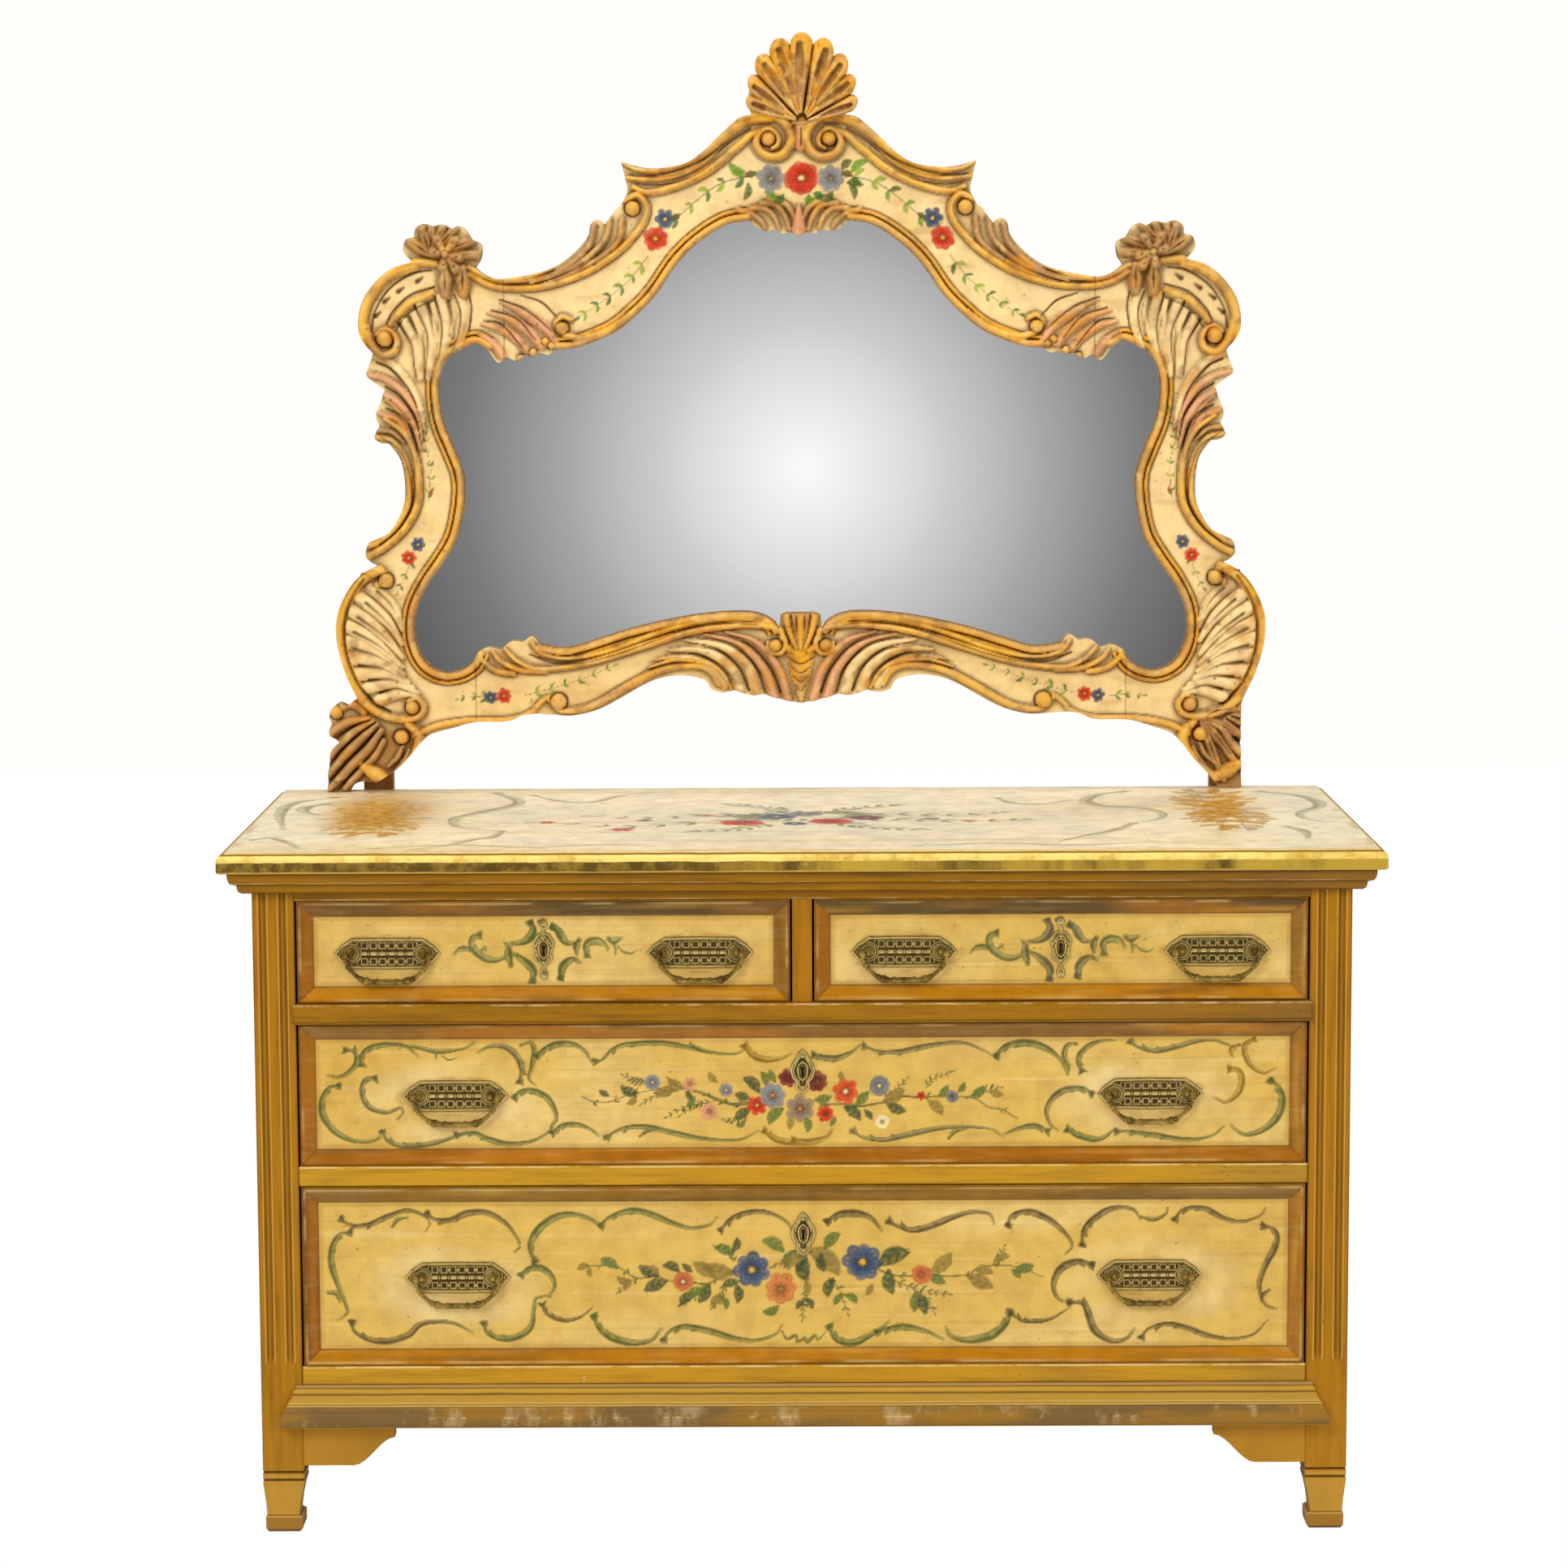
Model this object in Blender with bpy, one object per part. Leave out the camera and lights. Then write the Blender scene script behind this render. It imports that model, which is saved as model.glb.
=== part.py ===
"""Painted chest of four drawers with a carved mirror standing on its top.

Metres, +Z up, +X to the right, front towards -Y. The origin is on the floor, at the middle of
the whole piece's width and depth. The case, the drawers, their fittings and the mirror are built
from the driving sizes below; the carving is drawn on a millimetre grid that is fitted to the
mirror frame's width and height.
"""
import math

import bmesh
import bpy
import numpy as np
from mathutils import Vector
from mathutils.geometry import delaunay_2d_cdt

# Case, outer sizes
BODY_WIDTH = 1.200
BODY_DEPTH = 0.535
TOP_OVERHANG = 0.034
TOP_THICKNESS = 0.024
TOP_MOULDING = 0.009

# Case, heights stacked from the floor
LEG_CLEARANCE = 0.1205
BASE_MOULDING_HEIGHT = 0.0475
BOTTOM_RAIL_SHOWING = 0.0205
BOTTOM_OPENING = 0.2025
LOWER_RAIL_HEIGHT = 0.0225
MIDDLE_OPENING = 0.1595
UPPER_RAIL_HEIGHT = 0.0215
SMALL_OPENING = 0.1145
FRIEZE_SHOWING = 0.0095
CORNICE_HEIGHT = 0.0235

# Case, timber sizes
STILE_WIDTH = 0.0455
POST_DEPTH = 0.045
RAIL_DEPTH = 0.022
CENTRE_STILE_WIDTH = 0.0215
DIVIDER_THICKNESS = 0.012
SIDE_PANEL_THICKNESS = 0.010
SIDE_PANEL_RECESS = 0.010
SIDE_RAIL_THICKNESS = 0.024
SIDE_RAIL_HEIGHT = 0.060
BACK_THICKNESS = 0.010
DUST_THICKNESS = 0.010
DUST_HOUSING = 0.021
GUIDE_HEIGHT = 0.018
STOP_SIZE = (0.030, 0.012, 0.007)
UPPER_RAIL_PROUD = 0.006
UPPER_RAIL_EAR = 0.003
FLUTE_WIDTH = 0.009
FLUTE_PLACES = (0.24, 0.72)
FLUTE_LENGTH = 0.548
GROOVE_HEIGHTS = (0.0600, 0.0690)
GROOVE_DEPTH = 0.0015
FOOT_HEIGHT = 0.056
BRACKET_LENGTH = 0.101
BRACKET_HEIGHT = 0.044
BRACKET_TIP = 0.012
BRACKET_THICKNESS = 0.020
CORNICE_PROJECTION = 0.024
BASE_PROJECTION = 0.021
BASE_OVERLAP = 0.0035
ARRIS = 0.0012
RAIL_ARRIS = 0.0020
SIDE_RAIL_RECESS = 0.0005
FLUTE_CENTRE_PROUD = 0.0012
FLUTE_RUN_OUT = 0.006
BRACKET_FLAT = 0.55
WIDE_STOP_PLACES = (-0.3, 0.3)
SMALL_STOP_PLACES = (-0.40, -0.16, 0.16, 0.40)

# Profiles. The foot's are (share of its height, outer inset, inner inset) from the floor up, and
# the mouldings' are (share of the projection, share of the height) from below.
FOOT_PROFILE = ((0.0, 0.0050, 0.0060), (0.0714, 0.0022, 0.0028), (0.30, 0.0020, 0.0026),
                (0.35, 0.0034, 0.0062), (0.38, 0.0034, 0.0066), (0.62, 0.0024, 0.0050),
                (0.84, 0.0010, 0.0024), (1.0, 0.0, 0.0))
EDGE_PROFILE = ((0.55, 0.0), (0.95, 0.06), (1.0, 0.12), (1.0, 0.58))
EDGE_FILLET = (0.1, 0.92)
EDGE_TOP_STEP = 0.94
CORNICE_PROFILE = ((0.40, 0.0), (0.55, 0.10), (0.60, 0.30), (0.62, 0.40), (0.80, 0.46))
BASE_PROFILE = ((0.35, 0.0), (0.38, 0.04), (0.80, 0.06), (0.97, 0.11), (1.0, 0.20), (0.93, 0.31),
                (0.76, 0.40), (0.74, 0.47), (0.66, 0.52), (0.62, 0.56), (0.40, 0.70), (0.30, 0.82),
                (0.30, 0.86), (0.20, 0.90), (0.16, 1.0))

# Drawers
FRONT_THICKNESS = 0.0215
FRONT_RECESS = 0.0005
FRONT_BORDER = 0.0175
FRONT_FIELD_DEPTH = 0.0062
DRAWER_SIDE_GAP = 0.0025
DRAWER_TOP_GAP = 0.0010
DRAWER_FRONT_LIFT = 0.0006
SIDE_THICKNESS = 0.012
DRAWER_DEPTH = 0.455
DRAWER_SIDE_DROP = 0.006
DRAWER_BACK_DROP = 0.006
DRAWER_BACK_INSET = 0.010
DRAWER_BOTTOM_THICKNESS = 0.006
DRAWER_BOTTOM_LIFT = 0.012
DRAWER_GROOVE = 0.005
TAIL_LENGTH = 0.014
TAIL_SLOPE = 0.0022
TAIL_PITCH = 0.045
TAIL_SHARE = (0.24, 0.76)
FRONT_FLAT_BORDER = 0.0035
FRONT_COVE = 0.0015

# Pulls, plates and locks
PLATE_LENGTH = 0.1175
PLATE_HEIGHT = 0.035
PLATE_THICKNESS = 0.0016
PLATE_FLAT_LENGTH = 0.078
PLATE_HOLE = 0.0044
PLATE_HOLE_PITCH = 0.0100
PLATE_HOLE_ROW = 0.0088
PLATE_HOLES_PER_ROW = 6
PLATE_SHOULDER = 0.97
PLATE_END_PROFILE = ((0.22, 0.80), (0.62, 0.50))
POST_SPACING = 0.078
POST_NECK_RADIUS = 0.0030
POST_HEAD_RADIUS = 0.0036
POST_HEAD_LENGTH = 0.0030
POST_HEAD_OVERLAP = 0.0008
POST_COLLAR_RADII = (0.0052, 0.0050)
POST_COLLAR_STEPS = (0.0008, 0.0014)
PIN_DEPTH = 0.0012
PIN_RUN_OUT = 0.010
PIVOT_STANDOFF = 0.0075
PIN_RADIUS = 0.0015
PIN_CLEARANCE = 0.0004
BAIL_DROP = 0.0305
BAIL_RADIUS = 0.0023
BAIL_GRIP_RADIUS = 0.0029
BAIL_GRIP_HALF = 0.022
BAIL_GRIP_SHOULDER = 0.008
BAIL_PIN_GAP = 0.0002
BAIL_POST_GAP = 0.0006
SMALL_PULL_OFFSET = 0.171
WIDE_PULL_OFFSET = 0.3815
PULL_BELOW_CENTRE = 0.002
KEYHOLE_BELOW_TOP = 0.0530
KEYHOLE_RADIUS = 0.0026
KEYHOLE_SLOT_WIDTH = 0.0032
KEYHOLE_LENGTH = 0.0125
ESCUTCHEON_BELOW_KEY = 0.003
ESCUTCHEON_BALL = 0.0050
ESCUTCHEON_STEM = 0.0018
ESCUTCHEON_THICKNESS = 0.0016
ESCUTCHEON_WIDTH = 0.0250
ESCUTCHEON_HEIGHT = 0.0380
ESCUTCHEON_FINIAL = 0.0145
WIDE_ESCUTCHEON_WIDTH = 0.0280
WIDE_ESCUTCHEON_HEIGHT = 0.0500
LOCK_SIZE = (0.060, 0.011, 0.036)
LOCK_SELVEDGE = 0.0025
LOCK_SELVEDGE_DEPTH = 0.015
LOCK_PLATE_FRONT = 0.004
LOCK_KEY_SHARE = 0.45

# Mirror
FRAME_WIDTH = 1.120
FRAME_HEIGHT = 0.902
FRAME_THICKNESS = 0.020
ROLL_HEIGHT = 0.010
REBATE_WIDTH = 9.0
REBATE_DEPTH = 0.011
GLASS_THICKNESS = 0.004
BACKBOARD_THICKNESS = 0.005
STANDARD_WIDTH = 0.035
STANDARD_THICKNESS = 0.022
STANDARD_CENTRE = 513.0
STANDARD_BELOW_TOP = 0.350
STANDARD_ABOVE_TOP = 0.262
SHELL_THICKNESS = 0.008
SHELL_RELIEF = 0.012

# Fits
SEAT = 0.0003
EMBED = 0.0020

# Places worked out from the sizes above
HALF_BODY = BODY_WIDTH / 2
HALF_OPENING = HALF_BODY - STILE_WIDTH
TOTAL_DEPTH = TOP_OVERHANG + BODY_DEPTH + SEAT + STANDARD_THICKNESS
Y_NOSE = -TOTAL_DEPTH / 2
Y_FRONT = Y_NOSE + TOP_OVERHANG
Y_BACK = Y_FRONT + BODY_DEPTH
Y_RAIL_BACK = Y_FRONT + RAIL_DEPTH
Y_PANEL = Y_BACK - BACK_THICKNESS
Z_BASE_TOP = LEG_CLEARANCE + BASE_MOULDING_HEIGHT
Z_BOTTOM = Z_BASE_TOP + BOTTOM_RAIL_SHOWING
Z_LOWER_RAIL = Z_BOTTOM + BOTTOM_OPENING
Z_MIDDLE = Z_LOWER_RAIL + LOWER_RAIL_HEIGHT
Z_UPPER_RAIL = Z_MIDDLE + MIDDLE_OPENING
Z_SMALL = Z_UPPER_RAIL + UPPER_RAIL_HEIGHT
Z_FRIEZE = Z_SMALL + SMALL_OPENING
Z_CORNICE = Z_FRIEZE + FRIEZE_SHOWING
Z_TOP_UNDER = Z_CORNICE + CORNICE_HEIGHT
Z_TOP = Z_TOP_UNDER + TOP_THICKNESS
Y_FIELD = Y_FRONT + FRONT_RECESS + FRONT_FIELD_DEPTH

# The carving's drawing grid, in millimetres: x from the middle, z from the top board
GRID_HALF_WIDTH = 560.0
GRID_HEIGHT = 902.0
CARVING_STEP = 17.0
REBATE_STEP = 30.0

# Left half of the frame's outer outline, from the crest down. Each run is smooth, with a corner
# where it meets the next one.
CREST_RUNS = [
    [(0, 884), (-20, 880), (-40, 864), (-54, 845), (-60, 826), (-56, 806)],
    [(-56, 806), (-71, 802), (-94, 782), (-114, 763), (-136, 749), (-167, 744), (-190, 746),
     (-211, 752)],
    [(-211, 752), (-207, 735), (-204, 716), (-212, 700)],
    [(-212, 700), (-219, 695), (-223, 688), (-231, 678)],
    [(-231, 678), (-240, 684), (-248, 678), (-252, 663), (-271, 642), (-294, 627), (-317, 620),
     (-356, 614), (-374, 619), (-386, 628)],
]
ROSETTE_RUNS = [
    [(-386, 628), (-379, 640), (-379, 655), (-390, 661)],
    [(-390, 661), (-397, 672), (-405, 677), (-413, 673)],
    [(-413, 673), (-424, 679), (-436, 677), (-447, 680), (-457, 674), (-458, 664)],
    [(-458, 664), (-468, 661), (-472, 650), (-467, 641), (-460, 635)],
]
SHOULDER_RUN = [(-460, 635), (-485, 627), (-505, 611), (-521, 588), (-526, 562), (-522, 544), (-509, 526)]
SIDE_LEAF_RUNS = [
    [(-509, 526), (-514, 513), (-518, 502), (-512, 495), (-496, 483)],
    [(-496, 483), (-500, 472), (-507, 452), (-503, 440)],
    [(-503, 440), (-509, 427), (-502, 420), (-492, 419)],
    [(-492, 419), (-479, 401), (-474, 378), (-474, 351), (-480, 332), (-494, 312), (-518, 300)],
    [(-518, 300), (-522, 289), (-517, 278), (-507, 273)],
]
LOWER_SCROLL_RUN = [(-507, 273), (-526, 263), (-541, 247), (-553, 224), (-558, 201), (-556, 174),
                    (-547, 142), (-533, 112)]
LEFT_FOOT_RUNS = [
    [(-533, 112), (-540, 109), (-547, 103)],
    [(-547, 103), (-556, 107), (-565, 101), (-569, 91), (-566, 82)],
    [(-566, 82), (-569, 74), (-566, 66), (-556, 60)],
    [(-556, 60), (-566, 51), (-569, 38), (-571, 20), (-572, 0)],
    [(-572, 0), (-546, 0)],
    [(-546, 0), (-539, 9), (-528, 12), (-515, 10)],
    [(-515, 10), (-491, 25), (-474, 41), (-460, 58), (-446, 69), (-418, 77)],
]
RIGHT_FOOT_RUNS = [
    [(-533, 112), (-530, 102)],
    [(-530, 102), (-530, 38), (-532, 0)],
    [(-532, 0), (-504, 0)],
    [(-504, 0), (-491, 18), (-474, 36), (-460, 54), (-446, 67), (-418, 77)],
]
LOWER_EDGE_RUNS = [
    [(-418, 77), (-393, 84), (-354, 85), (-331, 93), (-300, 92), (-275, 91), (-245, 98), (-219, 111),
     (-189, 128), (-168, 136), (-143, 139), (-117, 134), (-108, 122)],
    [(-108, 122), (-95, 118), (-79, 121)],
    [(-79, 121), (-62, 115), (-45, 116)],
    [(-45, 116), (-20, 109), (0, 105)],
]

# Left half of the opening's outline, from the top. SIGHT runs carry the moulded roll, LEAF runs
# are the carved leaves and drops between them.
TOP_DROP_RUNS = [
    [(0, 663), (-10, 668), (-19, 666)],
    [(-19, 666), (-29, 671), (-38, 669)],
    [(-38, 669), (-49, 673), (-60, 682)],
]
SIGHT_TOP_RUN = [(-60, 682), (-87, 677), (-118, 658), (-145, 632), (-172, 594), (-199, 567),
                 (-218, 552), (-241, 541), (-268, 532), (-291, 530)]
SHOULDER_LEAF_RUNS = [
    [(-291, 530), (-300, 524), (-309, 527)],
    [(-309, 527), (-319, 522), (-328, 524)],
    [(-328, 524), (-338, 517), (-349, 522)],
    [(-349, 522), (-360, 515), (-373, 531)],
]
SIGHT_SIDE_RUN = [(-373, 531), (-387, 538), (-402, 532), (-418, 523), (-428, 508), (-431, 488),
                  (-430, 462), (-425, 439), (-414, 412), (-404, 385), (-402, 362), (-405, 335),
                  (-413, 304), (-429, 277), (-447, 251), (-461, 223), (-465, 196), (-461, 173),
                  (-450, 154), (-431, 144), (-411, 146), (-396, 155), (-389, 168)]
CORNER_LEAF_RUNS = [
    [(-389, 168), (-376, 174), (-361, 171)],
    [(-361, 171), (-348, 181), (-334, 180)],
    [(-334, 180), (-323, 187), (-313, 177)],
]
SIGHT_BOTTOM_RUN = [(-313, 177), (-291, 173), (-274, 174), (-244, 183), (-202, 196), (-159, 206),
                    (-117, 213), (-75, 216), (-49, 213), (-32, 204), (-26, 194)]
CARTOUCHE_RUNS = [
    [(-26, 194), (-24, 211)],
    [(-24, 211), (-12, 214), (0, 213)],
]

# Carved strokes of the left half: points, half widths at both ends and height, all in millimetres
ROLL_HALF_WIDTH = 9.0
EDGE_HALF_WIDTH = 6.0
SCROLLS = [
    ([(-196, 716), (-185, 709), (-184, 695), (-192, 682), (-208, 663), (-228, 646), (-258, 631),
      (-298, 616), (-335, 607), (-367, 606), (-393, 612)], 5.0, 4.0, 8.0),
    ([(-440, 602), (-458, 590), (-476, 573), (-485, 556)], 4.0, 4.5, 7.0),
    ([(-503, 516), (-482, 503), (-466, 470), (-460, 427), (-461, 380), (-466, 350), (-477, 319),
      (-494, 293), (-508, 281)], 4.0, 6.0, 8.0),
    ([(-479, 77), (-469, 68), (-473, 53), (-491, 34), (-518, 24)], 4.0, 5.0, 7.0),
]
CURLS = [
    ((-38, 779), 20.0, 9.0, 6.0, 12.0),
    ((-198, 697), 12.0, 8.0, 4.5, 10.0),
    ((-494, 544), 14.0, 9.0, 5.0, 11.0),
    ((-503, 258), 12.0, 10.0, 5.0, 11.0),
    ((-469, 103), 14.0, 10.0, 5.0, 11.0),
    ((-291, 109), 13.0, 9.0, 4.5, 10.0),
    ((-31, 177), 11.0, 8.0, 4.0, 9.0),
    ((-281, 551), 12.0, 8.0, 5.0, 9.0),
]
FLUTES = [
    ([(-427, 588), (-434, 548), (-450, 500)], 3.5, 1.0, -5.0),
    ([(-441, 585), (-448, 545), (-457, 503)], 3.5, 1.0, -5.0),
    ([(-455, 577), (-461, 545), (-465, 512)], 3.5, 1.0, -5.0),
    ([(-468, 566), (-471, 545), (-474, 526)], 3.0, 1.0, -5.0),
    ([(-338, 596), (-312, 586), (-294, 567)], 1.0, 4.0, -5.0),
    ([(-363, 590), (-328, 578), (-303, 553)], 1.0, 4.0, -5.0),
    ([(-371, 577), (-342, 566), (-318, 545)], 1.0, 4.0, -5.0),
    ([(-112, 166), (-88, 152), (-72, 128)], 1.0, 4.0, -5.0),
    ([(-98, 172), (-70, 156), (-54, 124)], 1.0, 4.0, -5.0),
    ([(-84, 176), (-52, 158), (-36, 122)], 1.0, 4.0, -5.0),
]
CORNER_RIBS = 8
CORNER_RIB_TIPS = ((-500, 180), (45.0, 64.0), 112.0, 236.0)
CORNER_RIB_ROOTS = ((-489, 206), (-467, 124))
ROSETTE_CENTRE = (-425, 641)
ROSETTE_PETALS = 6
ROSETTE_RADIUS = 34.0
FOOT_LEAF_ROOT = (-496, 76)
FOOT_LEAF_TIPS = [(-541, 101), (-559, 92), (-560, 66), (-563, 38), (-560, 10), (-536, 16)]
FOOT_CURL = ((-488, 67), 9.0, 11.0)

# Crest shell, in grid millimetres about the point where its ribs meet
SHELL_CENTRE = (4.0, 797.0)
SHELL_LOBES = 9
SHELL_SIDE_RADIUS = 66.0
SHELL_TOP_RADIUS = 105.0
SHELL_SPREAD = 78.3
SHELL_NOTCH = 0.13
SHELL_ROOT_RADIUS = 9.0


def clear_scene():
    """Remove every object that the file holds."""
    for item in list(bpy.data.objects):
        bpy.data.objects.remove(item, do_unlink=True)


def material(name, colour, roughness, metallic=0.0):
    """Return a Principled material of one colour."""
    made = bpy.data.materials.new(name)
    made.use_nodes = True
    shader = made.node_tree.nodes["Principled BSDF"]
    shader.inputs["Base Color"].default_value = (*colour, 1.0)
    shader.inputs["Roughness"].default_value = roughness
    shader.inputs["Metallic"].default_value = metallic
    made.diffuse_color = (*colour, 1.0)
    return made


def add_mesh(name, vertices, faces, finish, smooth_angle=None):
    """Make an object from vertices and faces, with every face turned outwards."""
    mesh = bpy.data.meshes.new(name)
    mesh.from_pydata([tuple(v) for v in vertices], [], faces)
    form = bmesh.new()
    form.from_mesh(mesh)
    bmesh.ops.recalc_face_normals(form, faces=form.faces)
    if form.calc_volume(signed=True) < 0:
        bmesh.ops.reverse_faces(form, faces=form.faces)
    form.to_mesh(mesh)
    form.free()
    mesh.materials.append(finish)
    if smooth_angle is not None:
        mesh.shade_smooth()
        mesh.set_sharp_from_angle(angle=smooth_angle)
    item = bpy.data.objects.new(name, mesh)
    bpy.context.scene.collection.objects.link(item)
    return item


def loft_data(loops):
    """Return vertices and faces that join equal closed loops, capped at both ends."""
    count = len(loops[0])
    vertices = [corner for loop in loops for corner in loop]
    faces = [tuple(range(count)), tuple(range(len(vertices) - count, len(vertices)))]
    for level in range(len(loops) - 1):
        low = level * count
        high = low + count
        for i in range(count):
            j = (i + 1) % count
            faces.append((low + i, low + j, high + j, high + i))
    return vertices, faces


def loft(name, loops, finish, smooth_angle=None):
    """Make an object that joins equal closed loops."""
    vertices, faces = loft_data(loops)
    return add_mesh(name, vertices, faces, finish, smooth_angle)


def level_rect(x0, x1, y0, y1, z):
    """Return a rectangle's corners at one height."""
    return [(x0, y0, z), (x1, y0, z), (x1, y1, z), (x0, y1, z)]


def upright_rect(x0, x1, z0, z1, y):
    """Return an upright rectangle's corners at one depth."""
    return [(x0, y, z0), (x1, y, z0), (x1, y, z1), (x0, y, z1)]


def box_loops(low, high):
    """Return the two loops of a plain box."""
    return [level_rect(low[0], high[0], low[1], high[1], low[2]),
            level_rect(low[0], high[0], low[1], high[1], high[2])]


def box(name, low, high, finish, bevel=0.0):
    """Make a box, with its edges eased by a bevel where one is given."""
    item = loft(name, box_loops(low, high), finish)
    if bevel:
        easing = item.modifiers.new("eased_edges", "BEVEL")
        easing.width = bevel
        easing.segments = 1
    return item


def prism_data(outline, axis, start, end):
    """Return the mesh data of an outline drawn along one axis."""
    place = {
        "X": lambda u, v, w: (w, u, v),
        "Y": lambda u, v, w: (u, w, v),
        "Z": lambda u, v, w: (u, v, w),
    }[axis]
    loops = [[place(u, v, w) for u, v in outline] for w in (start, end)]
    return loft_data(loops)


def prism(name, outline, axis, start, end, finish):
    """Make an outline drawn along one axis into a solid."""
    vertices, faces = prism_data(outline, axis, start, end)
    return add_mesh(name, vertices, faces, finish)


def joined_data(pieces):
    """Return several solids' mesh data as one list of vertices and faces."""
    vertices = []
    faces = []
    for piece_vertices, piece_faces in pieces:
        base = len(vertices)
        vertices += piece_vertices
        faces += [tuple(base + i for i in face) for face in piece_faces]
    return vertices, faces


def shape(item, operation, name, pieces):
    """Add or take away solids, given as mesh data, with one exact Boolean."""
    vertices, faces = joined_data(pieces)
    tool = add_mesh(name, vertices, faces, item.data.materials[0])
    tool.hide_render = True
    tool.hide_set(True)
    tool.display_type = "WIRE"
    step = item.modifiers.new(name, "BOOLEAN")
    step.operation = operation
    step.object = tool
    step.solver = "EXACT"


def settled_mesh(item, smooth_angle=None):
    """Return an object's mesh with its modifiers applied."""
    bpy.context.view_layer.update()
    graph = bpy.context.evaluated_depsgraph_get()
    mesh = bpy.data.meshes.new_from_object(item.evaluated_get(graph))
    if smooth_angle is not None:
        mesh.shade_smooth()
        mesh.set_sharp_from_angle(angle=smooth_angle)
    return mesh


def empty(name, place, parent=None):
    """Make an empty that a moving piece hangs from."""
    item = bpy.data.objects.new(name, None)
    item.empty_display_size = 0.02
    item.location = place
    bpy.context.scene.collection.objects.link(item)
    if parent is not None:
        adopt(item, parent)
    return item


def adopt(item, parent):
    """Parent an object and keep it where it is."""
    bpy.context.view_layer.update()
    item.parent = parent
    item.matrix_parent_inverse = parent.matrix_world.inverted()


def circle(radius, count):
    """Return points round a circle."""
    angles = [2 * math.pi * i / count for i in range(count)]
    return [(radius * math.cos(a), radius * math.sin(a)) for a in angles]


def turned_data(profile, centre, count=8):
    """Return a solid turned about an axis along Y from (distance, radius) pairs."""
    loops = []
    for along, radius in profile:
        loops.append([(centre[0] + u, centre[1] + along, centre[2] + v) for u, v in circle(radius, count)])
    return loft_data(loops)


def mirrored(points):
    """Return points mirrored left to right."""
    return [(-x, z) for x, z in points]


def smooth(points, step=CARVING_STEP):
    """Return points on a Catmull-Rom curve through the given ones."""
    ends = [tuple(2 * np.array(points[0]) - np.array(points[1]))]
    tail = [tuple(2 * np.array(points[-1]) - np.array(points[-2]))]
    control = np.array(ends + list(points) + tail, dtype=float)
    path = [control[1]]
    for i in range(1, len(control) - 2):
        before, start, end, after = control[i - 1:i + 3]
        bend = np.linalg.norm(end - 2 * start + before) + np.linalg.norm(after - 2 * end + start)
        parts = max(1, round((np.linalg.norm(end - start) + 0.5 * bend) / step))
        for part in range(1, parts + 1):
            t = part / parts
            path.append(0.5 * ((2 * start) + (end - before) * t
                               + (2 * before - 5 * start + 4 * end - after) * t * t
                               + (3 * start - before - 3 * end + after) * t ** 3))
    return [tuple(p) for p in path]


def chain(runs):
    """Return one path through smooth runs that meet at corners."""
    path = []
    for run in runs:
        part = smooth(run)
        path += part if not path else part[1:]
    return path


def offset(path, distance):
    """Return a path moved sideways, to the left of its direction for a positive distance."""
    points = np.array(path, dtype=float)
    ahead = np.gradient(points, axis=0)
    ahead /= np.linalg.norm(ahead, axis=1)[:, None]
    side = np.column_stack((-ahead[:, 1], ahead[:, 0]))
    return [tuple(p) for p in points + distance * side]


def polar(centre, reach, angle):
    """Return the point at a distance and an angle from a centre."""
    return (centre[0] + reach * math.cos(angle), centre[1] + reach * math.sin(angle))


def arc(centre, radius, turns, count=9):
    """Return points that run round a centre from its right side."""
    return [polar(centre, radius, 2 * math.pi * turns * i / count) for i in range(count + 1)]


def frame_outline():
    """Return the frame's outer outline and its opening, in grid millimetres."""
    shared = CREST_RUNS + ROSETTE_RUNS + [SHOULDER_RUN] + SIDE_LEAF_RUNS + [LOWER_SCROLL_RUN]
    left = chain(shared + LEFT_FOOT_RUNS + LOWER_EDGE_RUNS)
    right = chain(shared + RIGHT_FOOT_RUNS + LOWER_EDGE_RUNS)
    outer = left + mirrored(right)[-2:0:-1]
    opening = chain(TOP_DROP_RUNS + [SIGHT_TOP_RUN] + SHOULDER_LEAF_RUNS + [SIGHT_SIDE_RUN]
                    + CORNER_LEAF_RUNS + [SIGHT_BOTTOM_RUN] + CARTOUCHE_RUNS)
    inner = opening + mirrored(opening)[-2:0:-1]
    return outer, inner


def rebate_outline(width):
    """Return the outline of the rebate behind the opening, a set width outside the sight line."""
    half = []
    for run in (SIGHT_TOP_RUN, SIGHT_SIDE_RUN, SIGHT_BOTTOM_RUN):
        half += offset(smooth(run, REBATE_STEP), -width)
    half = [(0.0, half[0][1])] + half + [(0.0, half[-1][1])]
    return half + mirrored(half)[-2:0:-1]


def polyline_distance(points, path, widths):
    """Return each point's distance from a path and the path's half width there."""
    best = np.full(len(points), 1e9)
    width = np.ones(len(points))
    for (a, b), (wa, wb) in zip(zip(path[:-1], path[1:]), zip(widths[:-1], widths[1:])):
        a = np.array(a)
        run = np.array(b) - a
        t = np.clip(((points - a) @ run) / max(run @ run, 1e-9), 0, 1)
        away = np.linalg.norm(points - (a + t[:, None] * run), axis=1)
        near = away < best
        best[near] = away[near]
        width[near] = (wa + (wb - wa) * t)[near]
    return best, width


def taper(path, start, end):
    """Return half widths that change evenly along a path."""
    return list(np.linspace(start, end, len(path)))


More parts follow.
